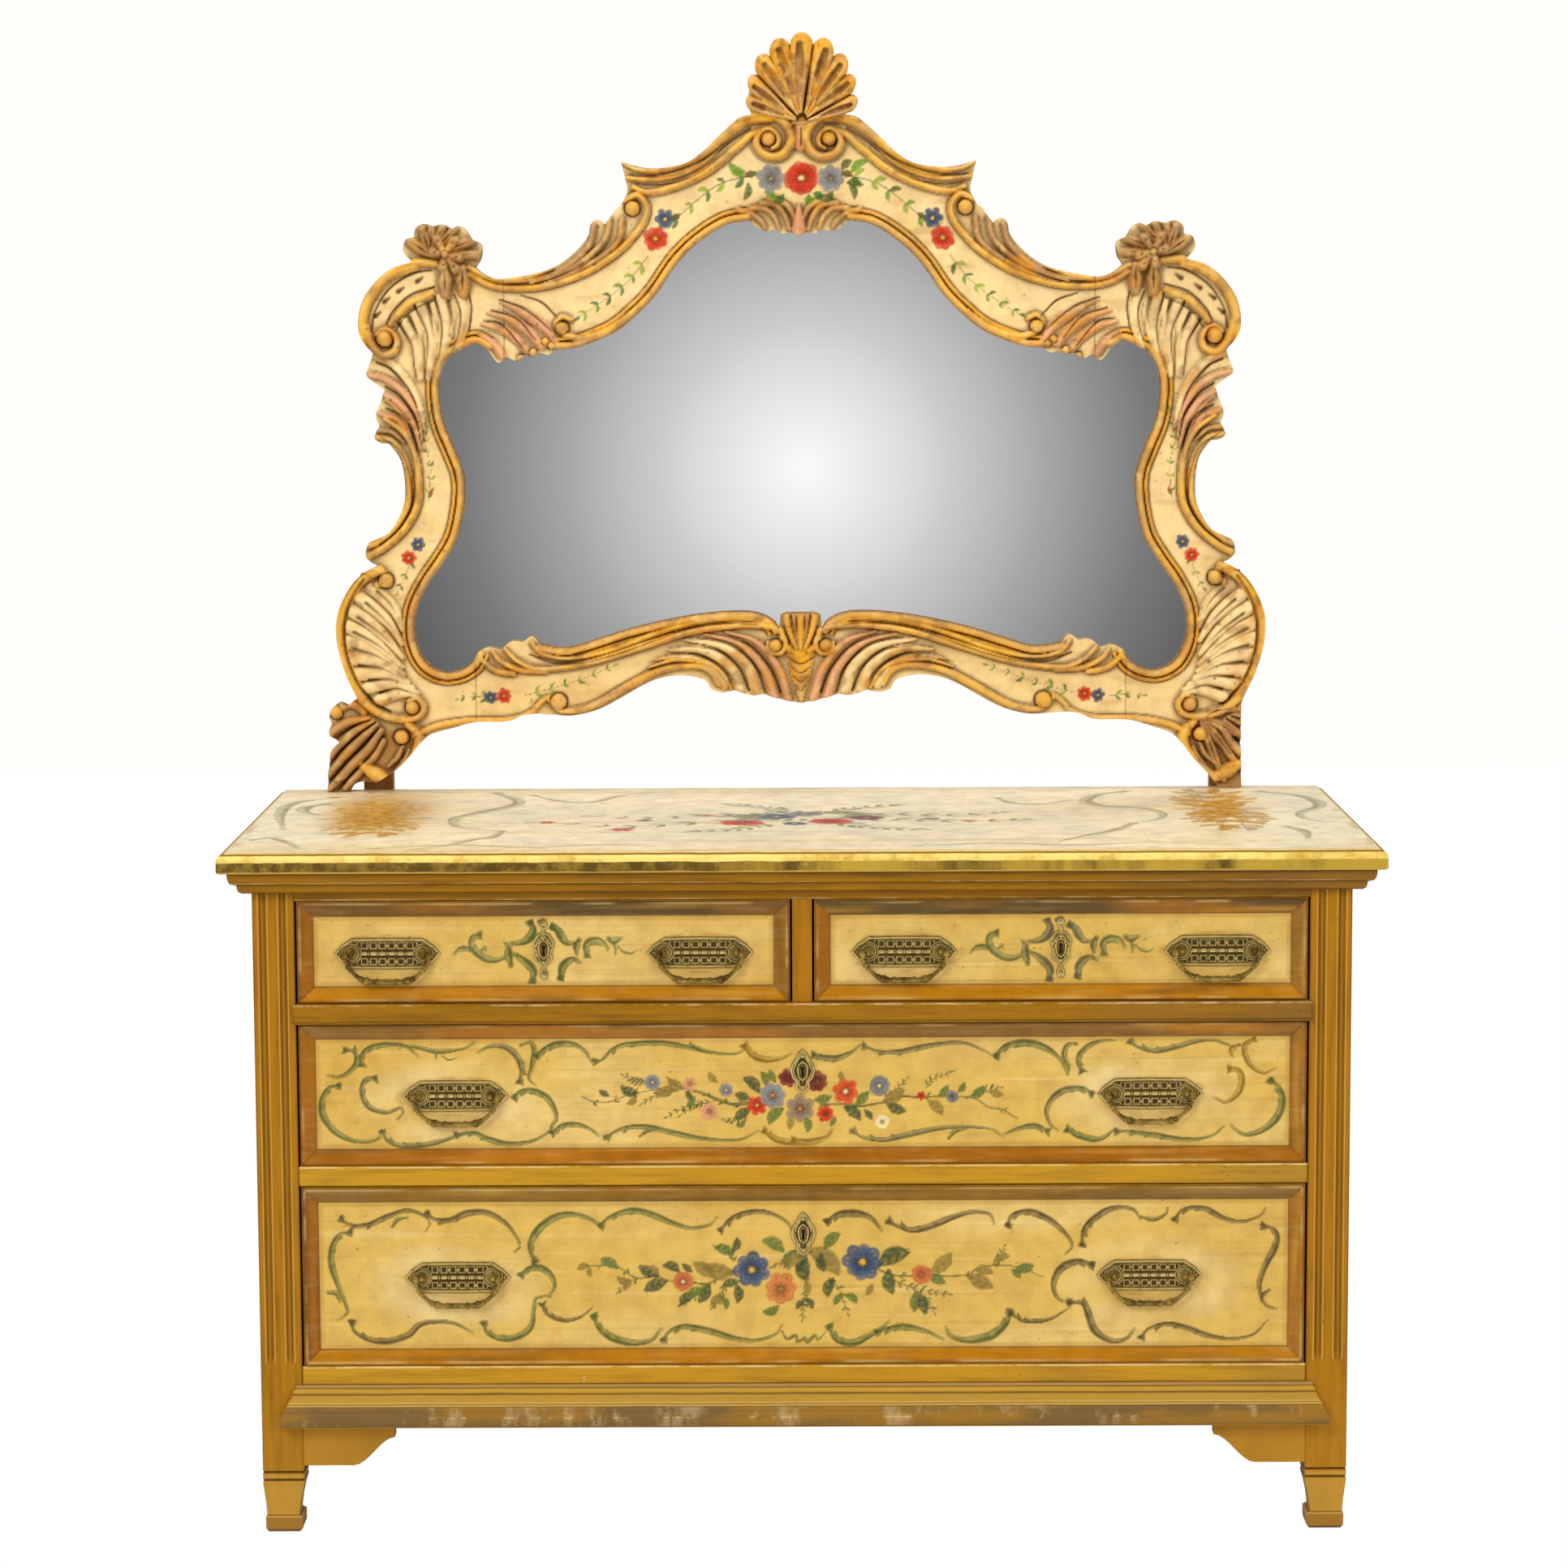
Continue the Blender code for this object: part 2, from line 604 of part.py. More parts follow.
def left_strokes():
    """Return the left half's carved strokes as (path, half widths, height)."""
    strokes = []
    for run, side, half in ((SIGHT_TOP_RUN, -1, ROLL_HALF_WIDTH), (SIGHT_SIDE_RUN, -1, ROLL_HALF_WIDTH),
                            (SIGHT_BOTTOM_RUN, -1, ROLL_HALF_WIDTH)):
        path = offset(smooth(run), side * half)
        strokes.append((path, taper(path, half, half), ROLL_HEIGHT * 1000))
    for run in (CREST_RUNS[1], SHOULDER_RUN, LOWER_SCROLL_RUN, LOWER_EDGE_RUNS[0], CREST_RUNS[4]):
        path = offset(smooth(run), EDGE_HALF_WIDTH)
        strokes.append((path, taper(path, EDGE_HALF_WIDTH, EDGE_HALF_WIDTH), ROLL_HEIGHT * 1000))
    for points, start, end, height in SCROLLS + FLUTES:
        path = smooth(points)
        strokes.append((path, taper(path, start, end), height))
    for centre, radius, button, half, height in CURLS:
        path = arc(centre, radius - half / 2, 0.9)
        strokes.append((path, taper(path, half, half), height - 2.0))
        strokes.append(([centre, (centre[0] + 0.1, centre[1])], [button, button], height))
    for i in range(CORNER_RIBS):
        t = i / (CORNER_RIBS - 1)
        middle, reach, first, last = CORNER_RIB_TIPS
        angle = math.radians(first + (last - first) * t)
        tip = (middle[0] + reach[0] * math.cos(angle), middle[1] + reach[1] * math.sin(angle))
        root = tuple(np.array(CORNER_RIB_ROOTS[0]) * (1 - t) + np.array(CORNER_RIB_ROOTS[1]) * t)
        strokes.append(([tip, root], [6.5, 3.0], 6.0))
    for i in range(ROSETTE_PETALS):
        angle = 2 * math.pi * (i + 0.5) / ROSETTE_PETALS
        petal = [polar(ROSETTE_CENTRE, share * ROSETTE_RADIUS, angle) for share in (0.35, 0.85)]
        strokes.append((petal, [6.0, 10.0], 11.0))
    strokes.append(([ROSETTE_CENTRE, (ROSETTE_CENTRE[0], ROSETTE_CENTRE[1] - 1)], [6.0, 6.0], 14.0))
    return strokes


def foot_strokes():
    """Return the strokes of the left foot's leaf, which the right foot lacks."""
    strokes = []
    for tip in FOOT_LEAF_TIPS:
        strokes.append(([FOOT_LEAF_ROOT, tip], [4.0, 8.0], 8.0))
    centre, radius, height = FOOT_CURL
    strokes.append(([centre, (centre[0] + 0.1, centre[1])], [radius, radius], height))
    return strokes


def mirrored_strokes(strokes):
    """Return strokes mirrored left to right."""
    return [(mirrored(path), widths, height) for path, widths, height in strokes]


def relief(points, strokes):
    """Return how far the carving stands above the board at each point, in millimetres."""
    raised = np.zeros(len(points))
    sunk = np.zeros(len(points))
    for path, widths, height in strokes:
        away, width = polyline_distance(points, path, widths)
        inside = np.clip(1 - (away / width) ** 2, 0, 1)
        if height > 0:
            raised = np.maximum(raised, height * np.sqrt(inside))
        else:
            sunk = np.minimum(sunk, height * inside)
    return raised + sunk


def inside_loop(points, loop):
    """Return which points lie inside a closed loop."""
    x, z = points[:, 0], points[:, 1]
    result = np.zeros(len(points), dtype=bool)
    for (ax, az), (bx, bz) in zip(loop, loop[1:] + loop[:1]):
        crosses = (az > z) != (bz > z)
        if az != bz:
            result ^= crosses & (x < (bx - ax) * (z - az) / (bz - az) + ax)
    return result


def loop_distance(points, loop):
    """Return each point's distance from a closed loop."""
    path = list(loop) + [loop[0]]
    return polyline_distance(points, path, [1.0] * len(path))[0]


def guide_lines(strokes, loops, margin=2.2, spacing=2.6):
    """Return the crest and edge lines of strokes, kept inside the board and off each other."""
    taken = []
    lines = []
    for path, widths, _ in strokes:
        flat = np.array(path, dtype=float)
        reach = np.array(widths)
        sides = [flat]
        if np.linalg.norm(flat[-1] - flat[0]) > 1.0:
            ahead = np.gradient(flat, axis=0)
            ahead /= np.linalg.norm(ahead, axis=1)[:, None]
            normal = np.column_stack((-ahead[:, 1], ahead[:, 0]))
            sides += [flat + normal * reach[:, None], flat - normal * reach[:, None]]
        else:
            sides.append(flat[0] + np.array(circle(reach[0], 8)))
        for side in sides:
            run = []
            fits = inside_loop(side, loops[0]) & (loop_distance(side, loops[0]) > margin)
            for hole in loops[1:]:
                fits &= ~inside_loop(side, hole) & (loop_distance(side, hole) > margin)
            for point, good in zip(side, fits):
                clear = good and all(np.hypot(*(point - other)) > spacing for other in taken)
                if not clear:
                    if len(run) > 1:
                        lines.append(run)
                    run = []
                    continue
                run.append(tuple(point))
                taken.append(point)
            if run:
                lines.append(run)
    return lines


def triangulate(loops, lines):
    """Return points and triangles that fill the first loop less the others, with lines as edges."""
    points = []
    edges = []
    for loop in loops:
        base = len(points)
        points += [Vector(p) for p in loop]
        edges += [(base + i, base + (i + 1) % len(loop)) for i in range(len(loop))]
    for line in lines:
        base = len(points)
        points += [Vector(p) for p in line]
        edges += [(base + i, base + i + 1) for i in range(len(line) - 1)]
    result = delaunay_2d_cdt(points, edges, [], 0, 1e-4)
    flat = np.array([tuple(p) for p in result[0]])
    faces = np.array([tuple(f) for f in result[2]])
    middles = flat[faces].mean(axis=1)
    keep = inside_loop(middles, loops[0])
    for hole in loops[1:]:
        keep &= ~inside_loop(middles, hole)
    return flat, [tuple(int(i) for i in f) for f in faces[keep]]


def boundary_loops(faces):
    """Return the closed loops of edges that only one face uses."""
    ahead = {}
    edges = {}
    for face in faces:
        for i in range(3):
            a, b = face[i], face[(i + 1) % 3]
            edges[(a, b)] = True
    for a, b in edges:
        if (b, a) not in edges:
            ahead[a] = b
    loops = []
    while ahead:
        start, follow = ahead.popitem()
        loop = [start]
        while follow != start:
            loop.append(follow)
            follow = ahead.pop(follow)
        loops.append(loop)
    return sorted(loops, key=len, reverse=True)


def grid_to_metres(points, depths):
    """Return grid points as places in the piece, at given depths."""
    across = FRAME_WIDTH / 2 / GRID_HALF_WIDTH
    up = FRAME_HEIGHT / GRID_HEIGHT
    return [(x * across, y, Z_TOP + SEAT + z * up) for (x, z), y in zip(points, depths)]


def carved_board(name, outer, inner, rebate, strokes, back, thickness, finish):
    """Make a carved board with an opening and, behind it, a rebate.

    The front is a mesh whose edges follow the strokes' crests and feet, lifted by the relief.
    """
    loops = [outer] + ([inner] if inner else [])
    flat, faces = triangulate(loops, guide_lines(strokes, loops))
    depth = back - thickness - relief(flat, strokes) / 1000
    vertices = grid_to_metres(flat, depth)
    faces = list(faces)
    rims = boundary_loops(faces)
    edge = rims[0]
    back_base = len(vertices)
    vertices += grid_to_metres(flat[edge], [back] * len(edge))
    for i in range(len(edge)):
        j = (i + 1) % len(edge)
        faces.append((edge[i], edge[j], back_base + j, back_base + i))
    if not inner:
        faces.append(tuple(range(back_base, back_base + len(edge))))
        return add_mesh(name, vertices, faces, finish)
    sight = rims[1]
    ledge = back - REBATE_DEPTH
    ledge_base = len(vertices)
    vertices += grid_to_metres(flat[sight], [ledge] * len(sight))
    for i in range(len(sight)):
        j = (i + 1) % len(sight)
        faces.append((sight[i], sight[j], ledge_base + j, ledge_base + i))
    recess_base = len(vertices)
    vertices += grid_to_metres(rebate, [ledge] * len(rebate))
    rim_base = len(vertices)
    vertices += grid_to_metres(rebate, [back] * len(rebate))
    for i in range(len(rebate)):
        j = (i + 1) % len(rebate)
        faces.append((recess_base + i, recess_base + j, rim_base + j, rim_base + i))
    sight_points = [tuple(p) for p in flat[sight]]
    edge_points = [tuple(p) for p in flat[edge]]
    ledge_faces = triangulate([rebate, sight_points], [])[1]
    ledge_index = list(range(recess_base, recess_base + len(rebate)))
    ledge_index += range(ledge_base, ledge_base + len(sight))
    faces += [tuple(ledge_index[i] for i in face) for face in ledge_faces]
    back_faces = triangulate([edge_points, rebate], [])[1]
    back_index = list(range(back_base, back_base + len(edge)))
    back_index += range(rim_base, rim_base + len(rebate))
    faces += [tuple(back_index[i] for i in face) for face in back_faces]
    return add_mesh(name, vertices, faces, finish)


def shell_ray(share):
    """Return the angle and full reach of the shell at a share of its fan, from left to right."""
    angle = math.radians(90 + SHELL_SPREAD - 2 * SHELL_SPREAD * share)
    reach = SHELL_SIDE_RADIUS + (SHELL_TOP_RADIUS - SHELL_SIDE_RADIUS) * math.sin(angle) ** 2
    return angle, reach


def shell_outline(inset=0.0):
    """Return the scalloped outline of the crest shell, in grid millimetres."""
    points = []
    per_lobe = 4
    steps = SHELL_LOBES * per_lobe
    for i in range(steps + 1):
        angle, reach = shell_ray(i / steps)
        swell = abs(math.sin(math.pi * i / per_lobe)) ** 0.6
        reach = reach * (1 - SHELL_NOTCH * (1 - swell)) - inset
        points.append(polar(SHELL_CENTRE, reach, angle))
    points += [(SHELL_CENTRE[0] + SHELL_ROOT_RADIUS, SHELL_CENTRE[1]),
               (SHELL_CENTRE[0] - SHELL_ROOT_RADIUS, SHELL_CENTRE[1])]
    return points[::-1]


def shell_strokes():
    """Return the shell's ribs, each with a groove along its middle."""
    strokes = []
    for i in range(SHELL_LOBES):
        angle, reach = shell_ray((i + 0.5) / SHELL_LOBES)
        spoke = [polar(SHELL_CENTRE, share * reach, angle) for share in (0.16, 0.5, 0.86)]
        half = reach * math.radians(SHELL_SPREAD / SHELL_LOBES)
        strokes.append((spoke, [0.25 * half, 0.55 * half, 0.98 * half], SHELL_RELIEF * 1000))
        groove = [polar(SHELL_CENTRE, share * reach, angle) for share in (0.45, 0.88)]
        strokes.append((groove, [0.15 * half, 0.42 * half], -0.5 * SHELL_RELIEF * 1000))
    return strokes


def build_mirror(finishes):
    """Build the carved frame, crest shell, glass, backboard and the two standards."""
    outer, inner = frame_outline()
    rebate = rebate_outline(REBATE_WIDTH)
    left = left_strokes()
    strokes = left + foot_strokes() + mirrored_strokes(left)
    flat_seat = shell_outline(-6.0)
    kept = []
    for path, widths, height in strokes:
        points = np.array(path)
        under = inside_loop(points, flat_seat) | (loop_distance(points, flat_seat) < max(widths))
        if not under.any():
            kept.append((path, widths, height))
    kept.append(([(0, 784), (0.1, 784)], [8.0, 8.0], 8.0))
    carved_board("mirror_frame", outer, inner, rebate, kept, Y_BACK, FRAME_THICKNESS, finishes["cream"])
    shell_back = Y_BACK - FRAME_THICKNESS - SEAT
    carved_board("crest_shell", shell_outline(), None, None, shell_strokes(), shell_back,
                 SHELL_THICKNESS, finishes["gold"])
    glass_outline = rebate_outline(REBATE_WIDTH - 0.6)
    glass_front = Y_BACK - REBATE_DEPTH + SEAT
    sheet = grid_to_metres(glass_outline, [0.0] * len(glass_outline))
    flat = [(x, z) for x, _, z in sheet]
    prism("mirror_glass", flat, "Y", glass_front, glass_front + GLASS_THICKNESS, finishes["glass"])
    board_front = glass_front + GLASS_THICKNESS + SEAT
    prism("mirror_backboard", flat, "Y", board_front, board_front + BACKBOARD_THICKNESS, finishes["raw"])
    middle = STANDARD_CENTRE / GRID_HALF_WIDTH * FRAME_WIDTH / 2
    for name, side in (("left_standard", -1), ("right_standard", 1)):
        low = (side * middle - STANDARD_WIDTH / 2, Y_BACK + SEAT, Z_TOP - STANDARD_BELOW_TOP)
        high = (side * middle + STANDARD_WIDTH / 2, Y_BACK + SEAT + STANDARD_THICKNESS,
                Z_TOP + STANDARD_ABOVE_TOP)
        box(name, low, high, finishes["carcass"])


def edge_profile():
    """Return (projection, height) pairs of the top board's thumb moulding, from below."""
    points = [(TOP_MOULDING * out, TOP_THICKNESS * up) for out, up in EDGE_PROFILE]
    shoulder = EDGE_PROFILE[-1][1]
    for i in range(1, 5):
        angle = math.pi / 2 * i / 4
        out = EDGE_FILLET[0] + (1 - EDGE_FILLET[0]) * math.cos(angle)
        up = shoulder + (EDGE_FILLET[1] - shoulder) * math.sin(angle)
        points.append((TOP_MOULDING * out, TOP_THICKNESS * up))
    return points + [(0.0, EDGE_TOP_STEP * TOP_THICKNESS), (0.0, TOP_THICKNESS)]


def build_top(finishes):
    """Build the top board with its moulded edge on three sides."""
    loops = []
    for out, up in edge_profile():
        inset = TOP_MOULDING - out
        half = HALF_BODY + TOP_OVERHANG - inset
        z = Z_TOP_UNDER + SEAT + up * (1 - SEAT / TOP_THICKNESS)
        loops.append(level_rect(-half, half, Y_NOSE + inset, Y_BACK, z))
    loft("top_board", loops, finishes["top"])


def build_cornice(finishes):
    """Build the moulding that runs round the case under the top board, mitred at its corners."""
    profile = [(CORNICE_PROJECTION * out, CORNICE_HEIGHT * up) for out, up in CORNICE_PROFILE]
    start_out, start_up = CORNICE_PROFILE[-1]
    for i in range(1, 5):
        angle = math.pi / 2 * i / 4
        out = start_out + (1 - start_out) * math.sin(angle)
        up = 1 - (1 - start_up) * math.cos(angle)
        profile.append((CORNICE_PROJECTION * out, CORNICE_HEIGHT * up))
    section = [(SEAT, 0.0)] + profile + [(SEAT, CORNICE_HEIGHT)]
    loops = []
    for side, y_of in ((-1, None), (-1, Y_FRONT), (1, Y_FRONT), (1, None)):
        loop = []
        for out, up in section:
            y = Y_BACK if y_of is None else y_of - out
            loop.append((side * (HALF_BODY + out), y, Z_CORNICE + up))
        loops.append(loop)
    loft("cornice_moulding", loops, finishes["carcass"])


def foot_levels(outer, inner, near, far, up):
    """Return the shaped foot and post as rectangles from the floor up.

    outer and inner are the post's x faces, near and far its front and back faces.
    """
    turn = 1 if inner > outer else -1
    profile = [(share * FOOT_HEIGHT, out_in, in_in) for share, out_in, in_in in FOOT_PROFILE]
    for place in GROOVE_HEIGHTS:
        profile += [(place - GROOVE_DEPTH, 0.0, 0.0), (place, GROOVE_DEPTH, GROOVE_DEPTH),
                    (place + GROOVE_DEPTH, 0.0, 0.0)]
    profile.append((up, 0.0, 0.0))
    loops = []
    for z, out_in, in_in in profile:
        x0 = outer + turn * out_in
        x1 = inner - turn * in_in
        loops.append(level_rect(min(x0, x1), max(x0, x1), near + out_in, far - in_in, z))
    return loops


def flute_cutter(x, finish_z):
    """Return the half-round cutter of one flute, from its stopped foot to the post's top."""
    loops = []
    start = Z_TOP_UNDER - FLUTE_LENGTH
    for z, share in ((start, 0.35), (start + FLUTE_RUN_OUT, 1.0), (finish_z + EMBED, 1.0)):
        radius = FLUTE_WIDTH / 2 * share
        loops.append([(x + u, Y_FRONT - FLUTE_CENTRE_PROUD + v, z) for u, v in circle(radius, 12)])
    return loft_data(loops)


def build_stiles(finishes):
    """Build the two front posts with their feet and stopped flutes."""
    top = Z_TOP_UNDER
    for name, side in (("left_stile", -1), ("right_stile", 1)):
        outer = side * HALF_BODY
        inner = side * HALF_OPENING
        levels = foot_levels(outer, inner, Y_FRONT, Y_FRONT + POST_DEPTH, top)
        post = loft(name, levels, finishes["carcass"])
        cutters = [flute_cutter(outer + (inner - outer) * place, top) for place in FLUTE_PLACES]
        shape(post, "DIFFERENCE", name + "_flutes", cutters)


def build_sides(finishes):
    """Build each side: rear post and foot, framed panel and the guides under the dust boards."""
    for name, side in (("left_side_frame", -1), ("right_side_frame", 1)):
        outer = side * HALF_BODY
        inner = side * HALF_OPENING
        levels = foot_levels(outer, inner, Y_BACK - POST_DEPTH, Y_BACK, Z_TOP_UNDER)
        post = loft(name, levels, finishes["carcass"])
        front = Y_FRONT + POST_DEPTH + SEAT
        rear = Y_BACK - POST_DEPTH + EMBED
        panel_out = side * (HALF_BODY - SIDE_PANEL_RECESS)
        panel_in = side * (HALF_BODY - SIDE_PANEL_RECESS - SIDE_PANEL_THICKNESS)
        rail_in = side * (HALF_BODY - SIDE_RAIL_THICKNESS)
        low_rail = LEG_CLEARANCE + SIDE_RAIL_HEIGHT
        high_rail = Z_TOP_UNDER - SIDE_RAIL_HEIGHT
        spans = [
            (panel_out, panel_in, low_rail - EMBED, high_rail + EMBED),
            (outer - side * SIDE_RAIL_RECESS, rail_in, LEG_CLEARANCE, low_rail),
            (outer - side * SIDE_RAIL_RECESS, rail_in, high_rail, Z_TOP_UNDER),
        ]
        bars = []
        for a, b, low, high in spans:
            bars.append(loft_data(box_loops((min(a, b), front, low), (max(a, b), rear, high))))
        guide_in = inner + side * SEAT
        guide_out = side * (HALF_BODY - SIDE_PANEL_RECESS - EMBED)
        for shelf in (Z_BOTTOM, Z_MIDDLE, Z_SMALL):
            high = shelf - DUST_THICKNESS - SEAT
            bars.append(loft_data(box_loops(
                (min(guide_in, guide_out), front, high - GUIDE_HEIGHT),
                (max(guide_in, guide_out), rear, high))))
        for index, bar in enumerate(bars):
            shape(post, "UNION", f"{name}_bar_{index}", [bar])


def dust_outline():
    """Return the plan of a dust board, notched round the four posts."""
    wide = HALF_OPENING + DUST_HOUSING
    narrow = HALF_OPENING - SEAT
    y0 = Y_RAIL_BACK + SEAT
    y1 = Y_FRONT + POST_DEPTH + SEAT
    y2 = Y_BACK - POST_DEPTH - SEAT
    y3 = Y_PANEL - SEAT
    right = [(narrow, y0), (narrow, y1), (wide, y1), (wide, y2), (narrow, y2), (narrow, y3)]
    return right + [(-x, y) for x, y in reversed(right)]


def build_dust_boards(finishes):
    """Build the boards that the drawers run on, each with two stop blocks."""
    width, depth, height = STOP_SIZE
    for name, shelf, centres in (
            ("bottom_board", Z_BOTTOM, WIDE_STOP_PLACES),
            ("lower_dust_board", Z_MIDDLE, WIDE_STOP_PLACES),
            ("upper_dust_board", Z_SMALL, SMALL_STOP_PLACES)):
        board = prism(name, dust_outline(), "Z", shelf - DUST_THICKNESS, shelf, finishes["raw"])
        near = Y_RAIL_BACK + SEAT
        stops = []
        for x in centres:
            low = (x - width / 2, near, shelf - DUST_THICKNESS / 2)
            stops.append(loft_data(box_loops(low, (x + width / 2, near + depth, shelf + height))))
        shape(board, "UNION", name + "_stops", stops)


def build_rails(finishes):
    """Build the rails between the posts, the centre divider, base moulding and brackets."""
    paint = finishes["carcass"]
    half = HALF_OPENING - SEAT
    box("frieze_rail", (-half, Y_FRONT, Z_FRIEZE), (half, Y_RAIL_BACK, Z_TOP_UNDER), paint)
    box("lower_rail", (-half, Y_FRONT, Z_LOWER_RAIL), (half, Y_RAIL_BACK, Z_MIDDLE), paint, bevel=ARRIS)
    box("bottom_rail", (-half, Y_FRONT, LEG_CLEARANCE), (half, Y_RAIL_BACK, Z_BOTTOM), paint, bevel=ARRIS)
    ear = HALF_OPENING + UPPER_RAIL_EAR
    proud = Y_FRONT - UPPER_RAIL_PROUD
    z0, z1 = Z_UPPER_RAIL, Z_SMALL
    eased = proud + RAIL_ARRIS
    plan = [(-ear, Y_FRONT - SEAT), (-ear, eased), (-ear + RAIL_ARRIS, proud), (ear - RAIL_ARRIS, proud),
            (ear, eased), (ear, Y_FRONT - SEAT), (half, Y_FRONT - SEAT), (half, Y_RAIL_BACK),
            (-half, Y_RAIL_BACK), (-half, Y_FRONT - SEAT)]
    prism("upper_rail", plan, "Z", z0, z1, paint)
    divider_half = CENTRE_STILE_WIDTH / 2
    wall = DIVIDER_THICKNESS / 2
    low, high = Z_SMALL + SEAT, Z_FRIEZE - SEAT
    back = Y_PANEL - SEAT
    rear = Y_RAIL_BACK
    plan = [(-divider_half, Y_FRONT), (divider_half, Y_FRONT), (divider_half, rear), (wall, rear),
            (wall, back), (-wall, back), (-wall, rear), (-divider_half, rear)]
    prism("centre_divider", plan, "Z", low, high, paint)
    build_base_moulding(paint)
    build_brackets(paint)
    top = Z_TOP_UNDER
    box("back_panel", (-half, Y_PANEL, LEG_CLEARANCE), (half, Y_BACK, top), finishes["raw"])


def build_base_moulding(paint):
    """Build the moulding across the front, returned on the faces of the posts."""
    loops = []
    for out_share, up_share in BASE_PROFILE:
        out = out_share * BASE_PROJECTION
        half = HALF_OPENING + BASE_OVERLAP + out
        z = LEG_CLEARANCE + up_share * BASE_MOULDING_HEIGHT
        loops.append(level_rect(-half, half, Y_FRONT - SEAT - out, Y_FRONT - SEAT, z))
    loft("base_moulding", loops, paint)


def build_brackets(paint):
    """Build the ogee brackets in the corners under the bottom rail."""
    high = LEG_CLEARANCE - SEAT
    low = LEG_CLEARANCE - BRACKET_HEIGHT
    for name, side in (("left_bracket", -1), ("right_bracket", 1)):
        start = HALF_OPENING - SEAT
        tip = start - BRACKET_LENGTH
        flat = start - BRACKET_FLAT * BRACKET_LENGTH
        shape_points = [(start, high), (start, low), (flat, low)]
        for i in range(1, 9):
            t = i / 8
            rise = t * t * (3 - 2 * t)
            shape_points.append((flat + (tip - flat) * t, low + (high - BRACKET_TIP - low) * rise))
        shape_points.append((tip, high))
        outline = [(side * x, z) for x, z in shape_points]
        prism(name, outline, "Y", Y_FRONT, Y_FRONT + BRACKET_THICKNESS, paint)


def dovetails(low, high):
    """Return the (start, end) heights of a drawer side's tails between its lower and upper edges."""
    span = high - low
    count = max(2, round(span / TAIL_PITCH))
    pitch = span / count
    start, end = TAIL_SHARE
    return [(low + pitch * (i + start), low + pitch * (i + end)) for i in range(count)]


def side_outline(near, shoulder, far, low, high):
    """Return a drawer side's outline in depth and height, tails included."""
    points = [(shoulder, low)]
    for start, end in dovetails(low, high):
        points += [(shoulder, start + TAIL_SLOPE / 2), (near, start - TAIL_SLOPE / 2),
                   (near, end + TAIL_SLOPE / 2), (shoulder, end - TAIL_SLOPE / 2)]
    points += [(shoulder, high), (far, high), (far, low)]
    return points


def tail_sockets(x_out, x_in, near, shoulder, low, high):
    """Return the sockets that the tails leave in a drawer front."""
    sockets = []
    for start, end in dovetails(low, high):
        half = TAIL_SLOPE / 2
        outline = [(shoulder + EMBED, start + half - SEAT), (near - SEAT, start - half - SEAT),
                   (near - SEAT, end + half + SEAT), (shoulder + EMBED, end - half + SEAT)]
        sockets.append(prism_data(outline, "X", x_out, x_in))
    return sockets


def keyhole_outline(x, z, count=8):
    """Return a keyhole: a round hole with a slot hanging from it."""
    slot = KEYHOLE_SLOT_WIDTH / 2
    start = math.asin(slot / KEYHOLE_RADIUS)
    points = []
    for i in range(count + 1):
        angle = -math.pi / 2 + start + (2 * math.pi - 2 * start) * i / count
        points.append((x + KEYHOLE_RADIUS * math.cos(angle), z + KEYHOLE_RADIUS * math.sin(angle)))
    foot = z + KEYHOLE_RADIUS - KEYHOLE_LENGTH
    return points + [(x - slot, foot), (x + slot, foot)]


def escutcheon_outline(wide):
    """Return half of an escutcheon's outline, from its top point down the right side."""
    if wide:
        w, h = WIDE_ESCUTCHEON_WIDTH / 2, WIDE_ESCUTCHEON_HEIGHT / 2
        return [(0, h), (0.34 * w, 0.84 * h), (0.60 * w, 0.55 * h), (0.92 * w, 0.28 * h), (1.0 * w, 0.0),
                (0.82 * w, -0.32 * h), (0.55 * w, -0.48 * h), (0.60 * w, -0.70 * h), (0.34 * w, -0.86 * h),
                (0, -h)]
    w, h = ESCUTCHEON_WIDTH / 2, ESCUTCHEON_HEIGHT / 2
    ball, stem = ESCUTCHEON_BALL, ESCUTCHEON_STEM
    top = h + ESCUTCHEON_FINIAL
    upper = [(0, top), (0.7 * ball, top - 0.3 * ball), (ball, top - ball), (0.7 * ball, top - 1.7 * ball),
             (stem, top - 2.1 * ball), (stem, h), (0.55 * w, 0.94 * h), (0.74 * w, 0.72 * h)]
    middle = [(1.0 * w, 0.52 * h), (0.86 * w, 0.10 * h), (0.72 * w, -0.20 * h), (0.86 * w, -0.52 * h)]
    lower = [(0.45 * w, -0.80 * h), (stem, -h), (0.8 * ball, -top + 1.9 * ball), (ball, -top + ball),
             (0.6 * ball, -top + 0.2 * ball), (0, -top)]
    return upper + middle + lower


def full_outline(half):
    """Return a closed outline from a right half that starts and ends on the middle line."""
    return half + [(-x, z) for x, z in half[-2:0:-1]]


def pierced_plate_data(outline, holes, near, far):
    """Return a flat plate with holes through it."""
    flat, faces = triangulate([outline] + holes, [])
    count = len(flat)
    vertices = [(x, near, z) for x, z in flat] + [(x, far, z) for x, z in flat]
    solid = [face for face in faces] + [tuple(count + i for i in reversed(face)) for face in faces]
    for loop in boundary_loops(faces):
        for i in range(len(loop)):
            j = (i + 1) % len(loop)
            solid.append((loop[i], loop[j], count + loop[j], count + loop[i]))
    return vertices, solid


